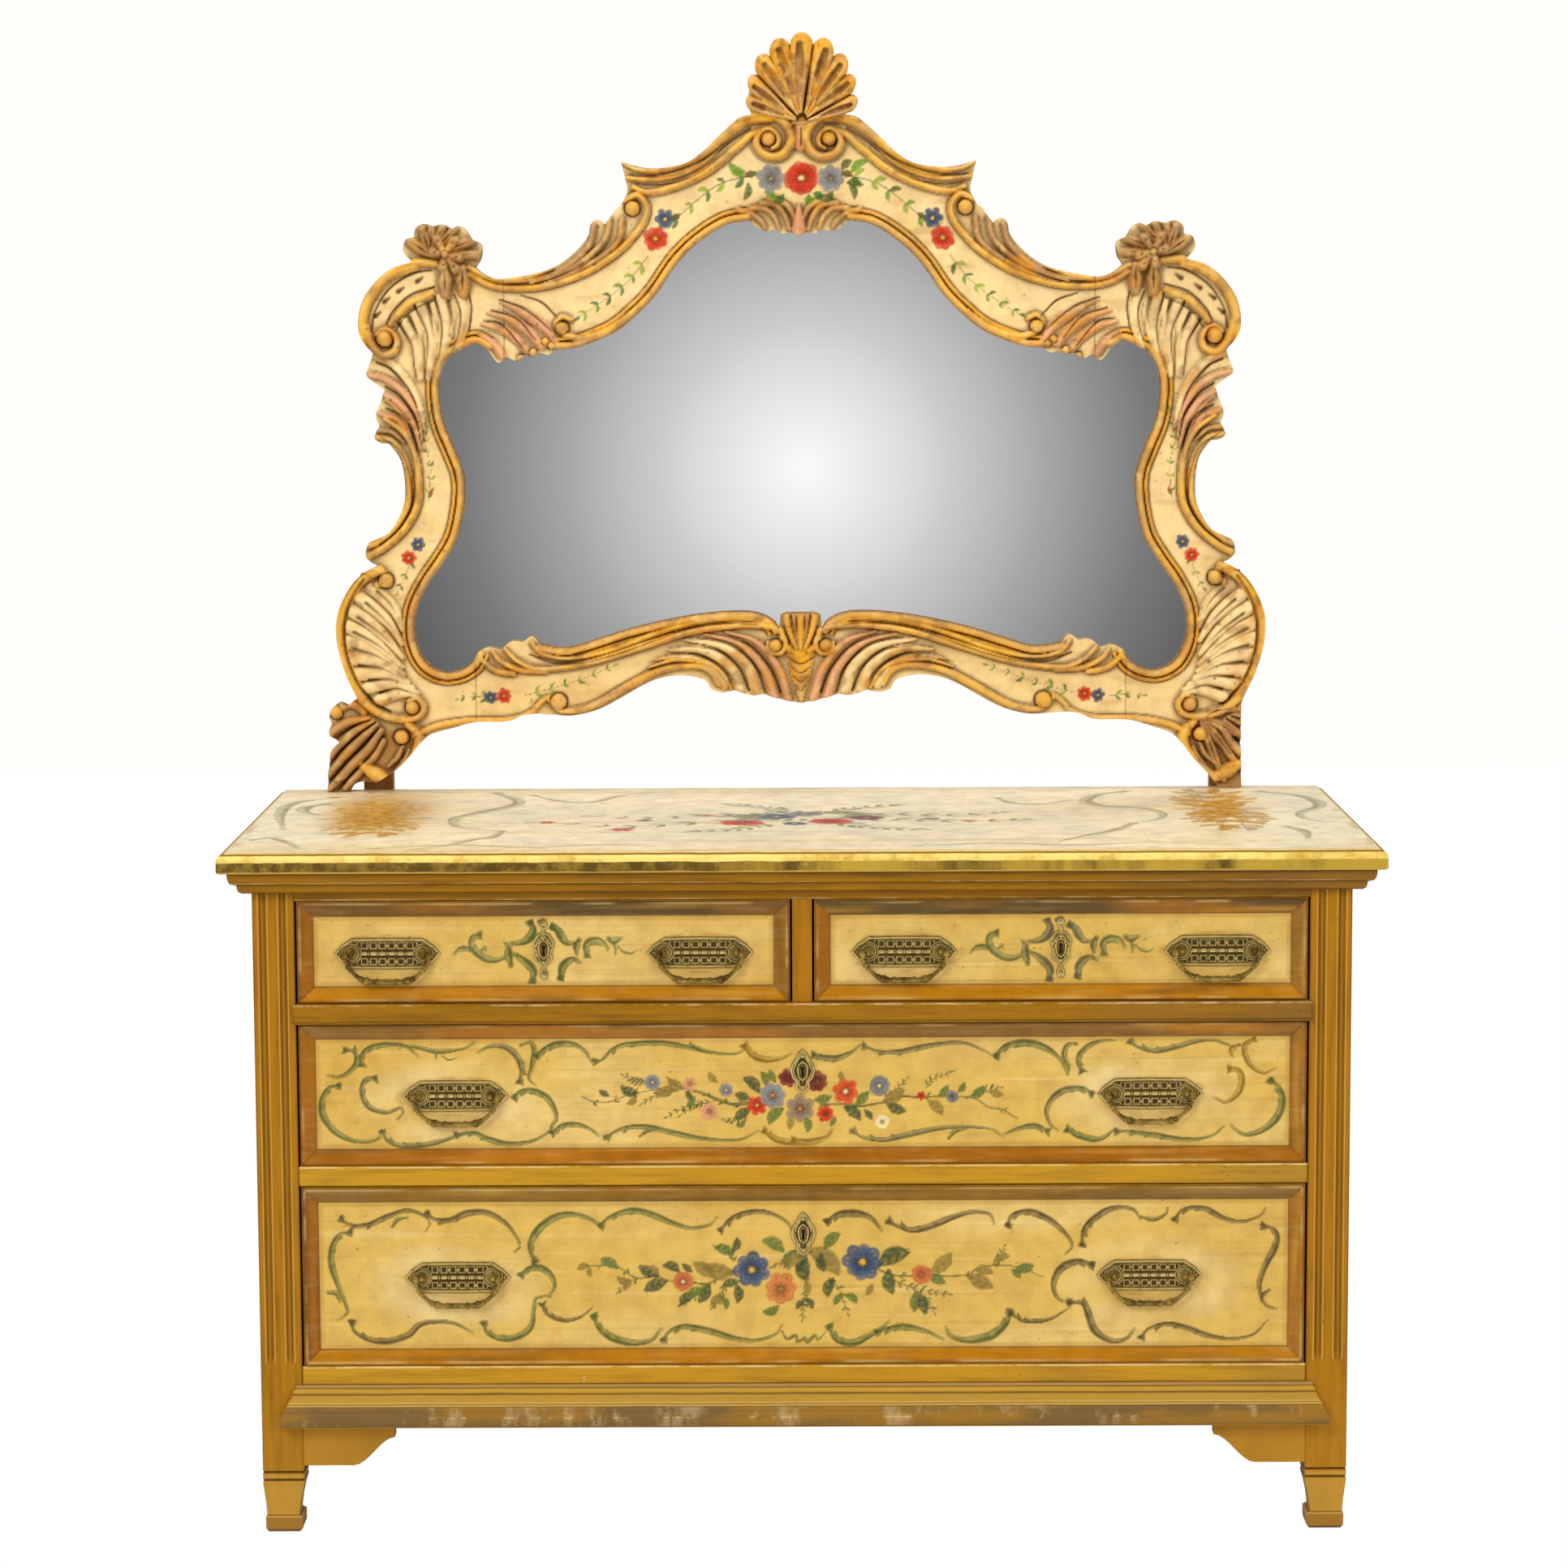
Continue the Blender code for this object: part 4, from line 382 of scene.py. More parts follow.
class Finish:
    """The materials of the piece, made once and handed to every part."""

    def __init__(self) -> None:
        """Build all the materials."""
        self.carved = self.attribute_paint("carved_paint", 0.42, 0.35)
        self.ornament = self.attribute_paint("ornament_paint", 0.36, 0.22)
        self.top = self.attribute_paint("top_paint", 0.24, 0.16)
        along, up = (1.0, 6.0, 14.0), (16.0, 6.0, 1.0)
        self.rail = self.ochre("rail_ochre", linear(160, 110, 14), linear(92, 62, 16), along,
                               self.rail_lines)
        self.upright = self.ochre("upright_ochre", linear(172, 116, 14), linear(96, 60, 12), up)
        self.stile = self.ochre("stile_ochre", linear(174, 118, 12), linear(108, 66, 10), up,
                                self.post_lines)
        self.light_rail = self.ochre("light_rail_ochre", linear(200, 150, 34), linear(140, 98, 26),
                                     along, self.low_rail_lines)
        self.edge = self.ochre("top_edge_gold", linear(208, 168, 70), linear(140, 98, 26), along,
                               self.top_lines)
        self.base = self.ochre("base_bands", linear(178, 134, 48), linear(112, 82, 40), along,
                               self.base_lines)
        self.bracket = self.ochre("bracket_ochre", linear(186, 136, 40), linear(146, 100, 28),
                                  (1.0, 1.0, 1.0))
        self.back = self.wood("back_boards", linear(158, 116, 72), linear(108, 72, 40),
                              (1.4, 1.4, 26.0), (0.268, 0.412, 0.566, 0.694))
        self.boards = self.wood("bare_board", linear(168, 128, 84), linear(118, 82, 48),
                                (1.4, 22.0, 22.0))
        self.sides = self.wood("drawer_sides", linear(182, 142, 94), linear(132, 94, 56),
                               (24.0, 1.6, 24.0))
        self.post = self.ochre("standard_brown", linear(146, 96, 48), linear(92, 58, 28),
                               (14.0, 6.0, 1.0))
        self.brass = self.aged_brass("aged_brass", None)
        self.cast = self.aged_brass("cast_brass", "paint")
        self.iron = surface("lock_iron", lambda g: g.mix(g.noise(90.0, 6.0), linear(92, 84, 74),
                                                         linear(70, 46, 30)),
                            lambda g: g.noise(60.0).ramp(0.3, 0.7, 0.35, 0.7),
                            lambda g: g.noise(240.0), 0.3, 0.0003,
                            metallic=lambda g: g.noise(60.0).ramp(0.35, 0.6, 0.9, 0.5))
        self.mirror = surface("mirror_silver",
                              lambda g: g.mix(g.noise(3.0, 2.0).ramp(0.7, 0.9),
                                              (0.985, 0.985, 0.985), (0.95, 0.955, 0.95)), 0.015,
                              metallic=1.0)

    @staticmethod
    def attribute_paint(name: str, rough: float, bump: float) -> bpy.types.Material:
        """Build paint whose colour is drawn on the mesh, with brushing, dirt and worn gloss.

        Args:
            name: Name of the material.
            rough: Middle roughness.
            bump: Strength of the bump.

        Returns:
            The material.
        """
        def colour(g: Graph) -> Flow:
            """Mottle the drawn colour and settle dirt in its specks."""
            drawn = g.node("ShaderNodeAttribute", output="Color", attribute_name="paint")
            mottled = g.mix(g.noise(42.0, 6.0, 0.6).ramp(0.35, 0.7, 0.0, 0.22), drawn,
                            linear(150, 104, 44), "MULTIPLY")
            brushed = g.mix(g.noise(30.0, 4.0, 0.6, (0.6, 3.0, 6.0)).ramp(0.45, 0.75, 0.0, 0.06),
                            mottled, linear(252, 232, 180))
            specks = g.cells(210.0, "F1").ramp(0.05, 0.14, 1.0, 0.0)
            gate = g.noise(24.0, 3.0).ramp(0.56, 0.7)
            return g.mix(specks * gate * 0.55, brushed, linear(84, 54, 22))

        return surface(name, colour, lambda g: g.noise(18.0, 5.0).ramp(0.3, 0.7, rough - 0.08,
                rough + 0.16), lambda g: g.noise(260.0, 5.0) * 0.5
                + g.noise(60.0, 3.0, 0.5, (0.5, 3.0, 5.0)), bump, 0.0004, coat=0.06,
                coat_rough=0.28, specular=0.16)

    @staticmethod
    def ochre(name: str, base: Colour, dark: Colour, grain: Sequence[float],
              lines: "Callable[[Graph, Flow], Flow] | None" = None) -> bpy.types.Material:
        """Build brushed ochre paint, streaked along one direction and worn through in places.

        Args:
            name: Name of the material.
            base: Main colour.
            dark: Colour of the glaze in the streaks.
            grain: Scale of the streaks on each axis.
            lines: Adds lines and bands that follow the mouldings.

        Returns:
            The material.
        """
        def colour(g: Graph) -> Flow:
            """Streak the base with dark glaze, then lift lights and specks."""
            streaks = g.noise(9.0, 8.0, 0.65, grain).ramp(0.42, 0.72)
            clouds = g.noise(5.0, 4.0, 0.6).ramp(0.4, 0.75)
            glazed = g.mix(streaks * 0.55, base, dark)
            warm = g.mix(clouds * 0.3, glazed, linear(200, 134, 16))
            lights = g.noise(34.0, 6.0, 0.7, grain).ramp(0.6, 0.78)
            lifted = g.mix(lights * 0.30, warm, linear(226, 182, 80))
            drawn = lines(g, lifted) if lines else lifted
            rubbed = g.mix(g.noise(60.0, 4.0, 0.7).ramp(0.66, 0.74, 0.0, 0.5)
                           * g.noise(6.0).ramp(0.5, 0.62), drawn, linear(222, 190, 140))
            specks = g.cells(120.0, "F1").ramp(0.06, 0.16, 1.0, 0.0) * g.noise(14.0).ramp(0.52,
                    0.66)
            return g.mix(specks * 0.7, rubbed, linear(64, 40, 18))

        return surface(name, colour, lambda g: g.noise(12.0, 5.0, 0.6, grain).ramp(0.3, 0.75, 0.32,
                0.58), lambda g: g.noise(40.0, 6.0, 0.6, grain) + g.noise(220.0, 3.0) * 0.3, 0.28,
                0.0005, coat=0.05, coat_rough=0.3, specular=0.12)

    @staticmethod
    def level(g: Graph, wobble: float = 0.0012, reach: float = 24.0) -> Flow:
        """Return the height, made a little uneven along the piece.

        Args:
            g: Builder of the material.
            wobble: Unevenness in metres.
            reach: Scale of the unevenness.

        Returns:
            The uneven height.
        """
        return g.axis("Z") + (g.noise(reach, 5.0, 0.65, (1.0, 1.0, 0.2)) - 0.5) * wobble

    def top_lines(self, g: Graph, colour: Flow) -> Flow:
        """Band the top board's edge: cream, a dark line, worn gold, then a dark olive hollow."""
        height = self.level(g, 0.0030, 30.0)
        patch = (g.noise(9.0, 5.0, 0.65, (1.0, 1.0, 0.1)) + g.axis("X") * 0.22).ramp(0.44, 0.66)
        olive = g.mix(patch, linear(74, 56, 18), linear(188, 154, 52))
        bloom = g.noise(60.0, 6.0, 0.7).ramp(0.42, 0.62)
        olive = g.mix(bloom * 0.35, olive, linear(196, 160, 66))
        gold = g.mix(g.noise(26.0, 6.0, 0.7).ramp(0.4, 0.68), linear(250, 222, 124),
                     linear(208, 164, 60))
        cream = g.mix(0.85, colour, linear(236, 214, 160))
        colour = g.bands(colour, height,
                         [(0.7446, 0.7550, olive, 0.92), (0.7550, 0.7622, gold, 0.95),
                          (0.7420, 0.7446, linear(206, 170, 76), 0.75),
                          (0.7640, 0.7700, cream, 1.0)], 0.0006)
        return g.bands(colour, g.axis("Z"), [(0.7625, 0.7638, linear(104, 74, 26), 0.85)], 0.0004)

    def rail_lines(self, g: Graph, colour: Flow) -> Flow:
        """Draw painted shade in the creases of the rails and of the cornice, and their worn edges
        with a painted highlight.
        """
        flecks = g.noise(20.0, 5.0, 0.7, (1.0, 1.0, 0.3)).ramp(0.40, 0.62)
        shade = g.noise(2.2, 2.0, 0.5, (1.0, 0.2, 0.2)).ramp(0.48, 0.60)
        # dark lines: painted shade in the creases; light lines: worn edges, lightened further as
        # painted highlight
        worn, crease_shade = linear(232, 200, 148), linear(72, 46, 12)
        colour = g.mix(shade * 0.42, colour, linear(110, 84, 50))
        colour = g.bands(colour, self.level(g),
                         [(0.5740, 0.5760, crease_shade, 0.55), (0.5925, 0.5942, worn, flecks * 0.7),
                          (0.7185, 0.7196, crease_shade, 0.6), (0.7284, 0.7298, crease_shade, 0.75),
                          (0.7300, 0.7312, worn, flecks * 0.4),
                          (0.7085, 0.7102, worn, flecks * 0.5), (0.7400, 0.7430, crease_shade, 0.6)])
        return colour

    def low_rail_lines(self, g: Graph, colour: Flow) -> Flow:
        """Draw the worn upper edges of the lower and the bottom rail, lightened as painted
        highlight, and painted shade in their creases.
        """
        flecks = g.noise(20.0, 5.0, 0.7, (1.0, 1.0, 0.3)).ramp(0.34, 0.58)
        shade = g.noise(2.6, 2.0, 0.5, (1.0, 0.2, 0.2)).ramp(0.52, 0.66)
        # dark lines: painted shade in the creases; light lines: worn edges, lightened further as
        # painted highlight
        worn, crease_shade = linear(238, 206, 140), linear(84, 54, 14)
        colour = g.mix(shade * 0.35, colour, linear(136, 102, 52))
        return g.bands(colour, self.level(g),
                       [(0.4112, 0.4130, worn, flecks * 0.75), (0.3905, 0.3925, crease_shade, 0.5),
                        (0.1862, 0.1882, worn, flecks * 0.75), (0.1676, 0.1690, crease_shade, 0.8)])

    def base_lines(self, g: Graph, colour: Flow) -> Flow:
        """Band the base moulding: worn fillets with a painted highlight, a cream cove, a grey-brown
        roll with a painted highlight along it, a gold line and painted shade in its creases.
        """
        height = self.level(g, 0.0016, 16.0)
        scuffed = g.noise(26.0, 6.0, 0.7, (1.0, 1.0, 0.4)).ramp(0.5, 0.64)
        roll = g.mix(g.noise(5.0, 5.0, 0.6, (1.0, 1.0, 5.0)).ramp(0.42, 0.62), linear(118, 92, 54),
                     linear(154, 112, 38))
        roll = g.mix(scuffed * 0.45, roll, linear(206, 182, 136))
        # dark lines: painted shade in the creases; light lines: worn fillets and a painted
        # highlight along the roll
        worn, crease_shade = linear(224, 188, 116), linear(88, 62, 22)
        return g.bands(colour, height,
                       [(0.1450, 0.1576, linear(186, 146, 56), 0.75),
                        (0.1655, 0.1690, linear(176, 140, 84), 0.8), (0.1575, 0.1592, crease_shade, 0.7),
                        (0.1600, 0.1640, linear(206, 162, 56), 0.6), (0.1640, 0.1656, crease_shade, 0.5),
                        (0.1490, 0.1500, worn, 0.5), (0.1464, 0.1474, worn, 0.5),
                        (0.1478, 0.1487, crease_shade, 0.5), (0.1254, 0.1456, roll, 0.92),
                        (0.1452, 0.1462, crease_shade, 0.6), (0.1340, 0.1356, worn, scuffed * 0.6),
                        (0.1240, 0.1256, crease_shade, 0.75),
                        (0.1200, 0.1240, linear(222, 178, 64), 0.8)])

    def post_lines(self, g: Graph, colour: Flow) -> Flow:
        """Draw the front posts' flutes with painted shade in them and a painted highlight inside,
        their worn arrises with painted highlight, and the lines and pads of their feet, with
        painted shade in the foot's creases.
        """
        across = g.axis("X").maths("ABSOLUTE")
        height = g.axis("Z")
        above = height.ramp(0.190, 0.196)
        # dark bands: painted shade in the flutes and at the posts' edges; light lines: worn
        # arrises, lightened further as painted highlight
        worn, crease_shade = linear(222, 178, 92), linear(92, 58, 10)
        rows = []
        for middle in (0.58908, 0.56724):
            rows.append((middle - 0.0034, middle + 0.0034, crease_shade, above * 0.42))
            # a painted highlight inside each flute, off its middle
            rows.append((middle - 0.0004, middle + 0.0012, linear(196, 150, 62), above * 0.40))
            for side in SIDES:
                edge = middle + side * 0.0050
                rows.append((edge - 0.0007, edge + 0.0007, worn, above * 0.50))
        rows += [(0.5985, 0.6010, crease_shade, 0.45), (0.5545, 0.5556, crease_shade, 0.5)]
        colour = g.bands(colour, across, rows, 0.0005)
        # dark: painted shade in the foot's creases, also laid along its bottom edge
        dark = linear(74, 48, 14)
        foot = g.mix(height.ramp(0.050, 0.075, 0.7, 0.0), colour, linear(206, 158, 62))
        foot = g.mix(height.ramp(0.120, 0.170, 0.35, 0.0) * height.ramp(0.066, 0.070), foot,
                     linear(186, 134, 36))
        return g.bands(foot, height, [(0.0588, 0.0612, dark, 0.85), (0.0678, 0.0702, dark, 0.85),
                                      (0.0628, 0.0660, worn, 0.35),
                                      (0.0, 0.0185, linear(150, 106, 42), 0.7),
                                      (0.0182, 0.0196, dark, 0.6), (0.0166, 0.0182, worn, 0.5),
                                      (0.0, 0.0022, dark, 0.7)], 0.0005)

    @staticmethod
    def wood(name: str, pale: Colour, dark: Colour, grain: Sequence[float],
             seams: Sequence[float] = ()) -> bpy.types.Material:
        """Build bare, time-stained wood with grain along one direction.

        Args:
            name: Name of the material.
            pale: Early-wood colour.
            dark: Late-wood colour.
            grain: Scale of the grain on each axis.
            seams: Heights at which its boards meet.

        Returns:
            The material.
        """
        def colour(g: Graph) -> Flow:
            """Draw rings, pores, grime and the joints between the boards."""
            rings = (g.noise(2.4, 2.0, 0.5, grain) * 42.0).maths("SINE").ramp(-0.6, 1.0)
            pores = g.noise(30.0, 8.0, 0.7, grain).ramp(0.5, 0.72)
            body = g.mix(rings * 0.55, pale, dark)
            pored = g.mix(pores * 0.5, body, linear(70, 44, 24))
            grime = g.noise(4.0, 4.0, 0.6).ramp(0.5, 0.8)
            aged = g.mix(grime * 0.4, pored, linear(96, 70, 46))
            for index, height in enumerate(seams):
                tone = linear(150, 112, 70) if index % 2 else linear(92, 64, 38)
                aged = g.mix(g.axis("Z").ramp(height - 0.0005, height + 0.0005) * 0.22, aged, tone)
            joints = [(height - 0.0007, height + 0.0007, linear(40, 26, 14), 0.9)
                      for height in seams]
            return g.bands(aged, g.axis("Z"), joints, 0.0003)

        return surface(name, colour, lambda g: g.noise(10.0, 4.0, 0.6, grain).ramp(0.3, 0.7, 0.55,
                0.8), lambda g: g.noise(36.0, 6.0, 0.7, grain), 0.4, 0.0005)

    @staticmethod
    def aged_brass(name: str, drawn: str | None) -> bpy.types.Material:
        """Build cast brass with dark lacquer in its hollows and a greenish bloom.

        Args:
            name: Name of the material.
            drawn: Attribute that holds the patina drawn on a casting, or None for plain rods.

        Returns:
            The material.
        """
        def colour(g: Graph) -> Flow:
            """Tarnish the brass unevenly."""
            if drawn:
                base = g.node("ShaderNodeAttribute", output="Color", attribute_name=drawn)
            else:
                base = g.mix(g.noise(70.0, 6.0, 0.65).ramp(0.35, 0.7), linear(196, 168, 84),
                             linear(100, 78, 34))
            dull = g.mix(g.noise(160.0, 5.0, 0.7).ramp(0.5, 0.75, 0.0, 0.7), base,
                         linear(86, 68, 32))
            return g.mix(g.noise(36.0, 4.0).ramp(0.62, 0.8, 0.0, 0.35), dull, linear(104, 112, 70))

        return surface(name, colour, lambda g: g.noise(120.0, 5.0).ramp(0.3, 0.75, 0.28, 0.52),
                       lambda g: g.noise(420.0, 4.0) + g.noise(110.0, 3.0), 0.25, 0.0003,
                       metallic=lambda g: g.noise(90.0, 4.0).ramp(0.5, 0.8, 0.85, 0.6))

    def dress(self) -> None:
        """Give every CAD node its material."""
        plain = {"top_board": self.edge, "cornice_moulding": self.rail, "frieze_rail": self.rail,
                 "centre_divider": self.upright, "upper_rail": self.rail,
                 "lower_rail": self.light_rail, "bottom_rail": self.light_rail,
                 "base_moulding": self.base, "left_bracket": self.bracket,
                 "right_bracket": self.bracket, "left_stile": self.stile, "right_stile": self.stile,
                 "left_side_frame": self.upright, "right_side_frame": self.upright,
                 "back_panel": self.back, "upper_dust_board": self.boards,
                 "lower_dust_board": self.boards, "bottom_board": self.boards,
                 "mirror_frame": self.bracket, "crest_shell": self.bracket,
                 "mirror_glass": self.mirror, "mirror_backboard": self.boards,
                 "left_standard": self.post, "right_standard": self.post,}
        endings = {
            "_front": self.upright, "_box": self.sides, "_bottom": self.boards, "_lock": self.iron,
            "_escutcheon": self.brass, "_plate": self.brass, "_bail": self.brass,
        }
        for name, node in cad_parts.items():
            found = plain.get(name)
            for ending, finish in endings.items():
                if found is None and name.endswith(ending):
                    found = finish
            if found is None:
                raise ValueError(f"no finish for {name}")
            for index in range(len(node.data.materials)):
                node.data.materials[index] = found


# The carving is drawn in millimetres: x from the middle, z from the top board.
# Left half of the frame's outer outline, from the crest down. Each run is smooth, with a corner
# where it meets the next one.
CREST_RUNS = [
    [(0, 884), (-20, 880), (-40, 864), (-54, 845), (-60, 826), (-56, 806)],
    [(-56, 806), (-71, 802), (-94, 782), (-114, 763), (-136, 749), (-167, 744), (-190, 746),
     (-211, 752)],
    [(-211, 752), (-207, 735), (-204, 716), (-212, 700)],
    [(-212, 700), (-219, 695), (-223, 688), (-231, 678)],
    [(-231, 678), (-240, 684), (-248, 678), (-252, 663), (-271, 642), (-294, 627), (-317, 620),
     (-356, 614), (-374, 619), (-386, 628)],
]
ROSETTE_RUNS = [
    [(-386, 628), (-379, 640), (-379, 655), (-390, 661)],
    [(-390, 661), (-397, 672), (-405, 677), (-413, 673)],
    [(-413, 673), (-424, 679), (-436, 677), (-447, 680), (-457, 674), (-458, 664)],
    [(-458, 664), (-468, 661), (-472, 650), (-467, 641), (-460, 635)],
]
SHOULDER_RUN = [(-460, 635), (-485, 627), (-505, 611), (-521, 588), (-526, 562), (-522, 544),
                (-509, 526)]
SIDE_LEAF_RUNS = [
    [(-509, 526), (-514, 513), (-518, 502), (-512, 495), (-496, 483)],
    [(-496, 483), (-500, 472), (-507, 452), (-503, 440)],
    [(-503, 440), (-509, 427), (-502, 420), (-492, 419)],
    [(-492, 419), (-479, 401), (-474, 378), (-474, 351), (-480, 332), (-494, 312), (-518, 300)],
    [(-518, 300), (-522, 289), (-517, 278), (-507, 273)],
]
LOWER_SCROLL_RUN = [(-507, 273), (-526, 263), (-541, 247), (-553, 224), (-558, 201), (-556, 174),
                    (-547, 142), (-533, 112)]
LEFT_FOOT_RUNS = [
    [(-533, 112), (-540, 109), (-547, 103)],
    [(-547, 103), (-556, 107), (-565, 101), (-569, 91), (-566, 82)],
    [(-566, 82), (-569, 74), (-566, 66), (-556, 60)],
    [(-556, 60), (-566, 51), (-569, 38), (-571, 20), (-572, 0)],
    [(-572, 0), (-546, 0)],
    [(-546, 0), (-539, 9), (-528, 12), (-515, 10)],
    [(-515, 10), (-491, 25), (-474, 41), (-460, 58), (-446, 69), (-418, 77)],
]
RIGHT_FOOT_RUNS = [
    [(-533, 112), (-530, 102)],
    [(-530, 102), (-530, 38), (-532, 0)],
    [(-532, 0), (-504, 0)],
    [(-504, 0), (-491, 18), (-474, 36), (-460, 54), (-446, 67), (-418, 77)],
]
LOWER_EDGE_RUNS = [
    [(-418, 77), (-393, 84), (-354, 85), (-331, 93), (-300, 92), (-275, 91), (-245, 98),
     (-219, 111),
     (-189, 128), (-168, 136), (-143, 139), (-117, 134), (-108, 122)],
    [(-108, 122), (-95, 118), (-79, 121)],
    [(-79, 121), (-62, 115), (-45, 116)],
    [(-45, 116), (-20, 109), (0, 105)],
]

# Left half of the opening's outline, from the top. SIGHT runs carry the moulded roll, LEAF runs
# are the carved leaves and drops between them.
TOP_DROP_RUNS = [
    [(0, 663), (-10, 668), (-19, 666)],
    [(-19, 666), (-29, 671), (-38, 669)],
    [(-38, 669), (-49, 673), (-60, 682)],
]
SIGHT_TOP_RUN = [(-60, 682), (-87, 677), (-118, 658), (-145, 632), (-172, 594), (-199, 567),
                 (-218, 552), (-241, 541), (-268, 532), (-291, 530)]
SHOULDER_LEAF_RUNS = [
    [(-291, 530), (-300, 524), (-309, 527)],
    [(-309, 527), (-319, 522), (-328, 524)],
    [(-328, 524), (-338, 517), (-349, 522)],
    [(-349, 522), (-360, 515), (-373, 531)],
]
SIGHT_SIDE_RUN = [(-373, 531), (-387, 538), (-402, 532), (-418, 523), (-428, 508), (-431, 488),
                  (-430, 462), (-425, 439), (-414, 412), (-404, 385), (-402, 362), (-405, 335),
                  (-413, 304), (-429, 277), (-447, 251), (-461, 223), (-465, 196), (-461, 173),
                  (-450, 154), (-431, 144), (-411, 146), (-396, 155), (-389, 168)]
CORNER_LEAF_RUNS = [
    [(-389, 168), (-376, 174), (-361, 171)],
    [(-361, 171), (-348, 181), (-334, 180)],
    [(-334, 180), (-323, 187), (-313, 177)],
]
SIGHT_BOTTOM_RUN = [(-313, 177), (-291, 173), (-274, 174), (-244, 183), (-202, 196), (-159, 206),
                    (-117, 213), (-75, 216), (-49, 213), (-32, 204), (-26, 194)]
CARTOUCHE_RUNS = [
    [(-26, 194), (-24, 211)],
    [(-24, 211), (-12, 214), (0, 213)],
]

# Carved strokes of the left half: points, half widths along them and height or depth
ROLLS = [
    ([(-474, 82), (-462, 68), (-462, 50), (-476, 31), (-497, 14)], (5.0, 7.0, 8.0, 8.0, 6.0), 10.0),
    ([(-530, 32), (-514, 21), (-496, 12)], (6.0, 9.5, 6.0), 11.0),
    ([(-33, 803), (-60, 800), (-83, 786), (-110, 765), (-140, 749), (-171, 741), (-194, 743), (-210,
     750)], (6, 6.5, 1.5), 9),
    ([(-87, 772), (-113, 751), (-140, 738), (-171, 731), (-194, 732), (-206, 733)], (1, 4, 2.5), 7),
    ([(-33, 790), (-54, 784), (-75, 767), (-102, 745), (-129, 730), (-159, 719), (-182, 716), (-197,
     722)], (4, 5.5, 3.5), 8),
    ([(-69, 802), (-49, 808), (-30, 806), (-16, 797), (-9, 784), (-10, 772), (-19, 760), (-33, 757),
     (-45, 763), (-50, 773), (-47, 782), (-39, 789), (-30, 787), (-24, 779), (-25, 771),
     (-31, 767)],
     (7, 6, 3), 12),
    ([(-205, 706), (-192, 713), (-181, 700), (-184, 682), (-200, 661), (-221, 642), (-256, 621),
      (-298,
     607), (-336, 603), (-367, 607), (-392, 620)], (4, 4.5, 4), 8),
    ([(-294, 626), (-325, 616), (-355, 613), (-378, 620), (-393, 628)], (2, 5, 4), 9),
    ([(-432, 633), (-458, 634), (-485, 624), (-506, 603), (-520, 575), (-522, 546), (-517, 524)],
     (5, 6,
     6), 10),
    ([(-518, 558), (-511, 538), (-498, 525), (-484, 529), (-480, 541), (-486, 552), (-496, 555),
      (-504,
     549)], (6, 5, 3), 11),
    ([(-438, 597), (-463, 587), (-478, 573), (-488, 561)], (5, 5, 4), 8),
    ([(-506, 427), (-487, 422), (-473, 401), (-468, 374), (-470, 347), (-485, 320), (-505, 302),
      (-517,
     296)], (3, 4.5, 4), 8),
    ([(-496, 449), (-473, 431), (-460, 403), (-457, 370), (-460, 343), (-476, 316), (-500, 295),
      (-518,
     285)], (3, 4.5, 5), 9),
    ([(-508, 250), (-500, 256), (-503, 266), (-516, 269), (-532, 264), (-548, 241), (-555, 215),
      (-556,
     185), (-550, 153), (-539, 125), (-522, 104), (-500, 91), (-477, 87), (-460, 92), (-455, 102),
     (-462, 112), (-472, 109)], (5, 6.5, 4), 11),
    ([(-199, 574), (-222, 557), (-245, 547), (-264, 544), (-281, 549), (-290, 560), (-283, 569),
      (-272,
     565)], (4, 4.5, 3), 9),
    ([(-25, 191), (-52, 205), (-94, 208), (-137, 201), (-183, 187), (-226, 171), (-264, 162), (-291,
     161), (-314, 168), (-324, 180)], (3, 4, 2.5), 8),
    ([(-22, 183), (-25, 194), (-55, 200), (-94, 198), (-137, 191), (-187, 176), (-245, 158), (-284,
     150), (-319, 148), (-342, 158), (-356, 172)], (4, 5, 2.5), 10),
    ([(-23, 191), (-18, 177), (-25, 166), (-37, 169), (-39, 178)], (4, 4, 3), 10),
    ([(-307, 145), (-338, 147), (-361, 157), (-371, 169)], (4, 4, 2.5), 8),
    ([(-346, 142), (-367, 146), (-382, 157), (-386, 167)], (4, 4, 2.5), 8),
    ([(-467, 67), (-440, 79), (-401, 85), (-354, 86), (-327, 94), (-315, 106), (-304, 114)],
     (4, 4, 3), 7),
    ([(-303, 110), (-294, 99), (-273, 97), (-246, 105), (-207, 127), (-168, 146), (-129, 151),
      (-109,
     144), (-99, 128)], (3, 5, 3.5), 9),
    ([(-183, 149), (-152, 158), (-121, 156), (-98, 146), (-83, 125)], (1.5, 4.5, 3.5), 8),
]
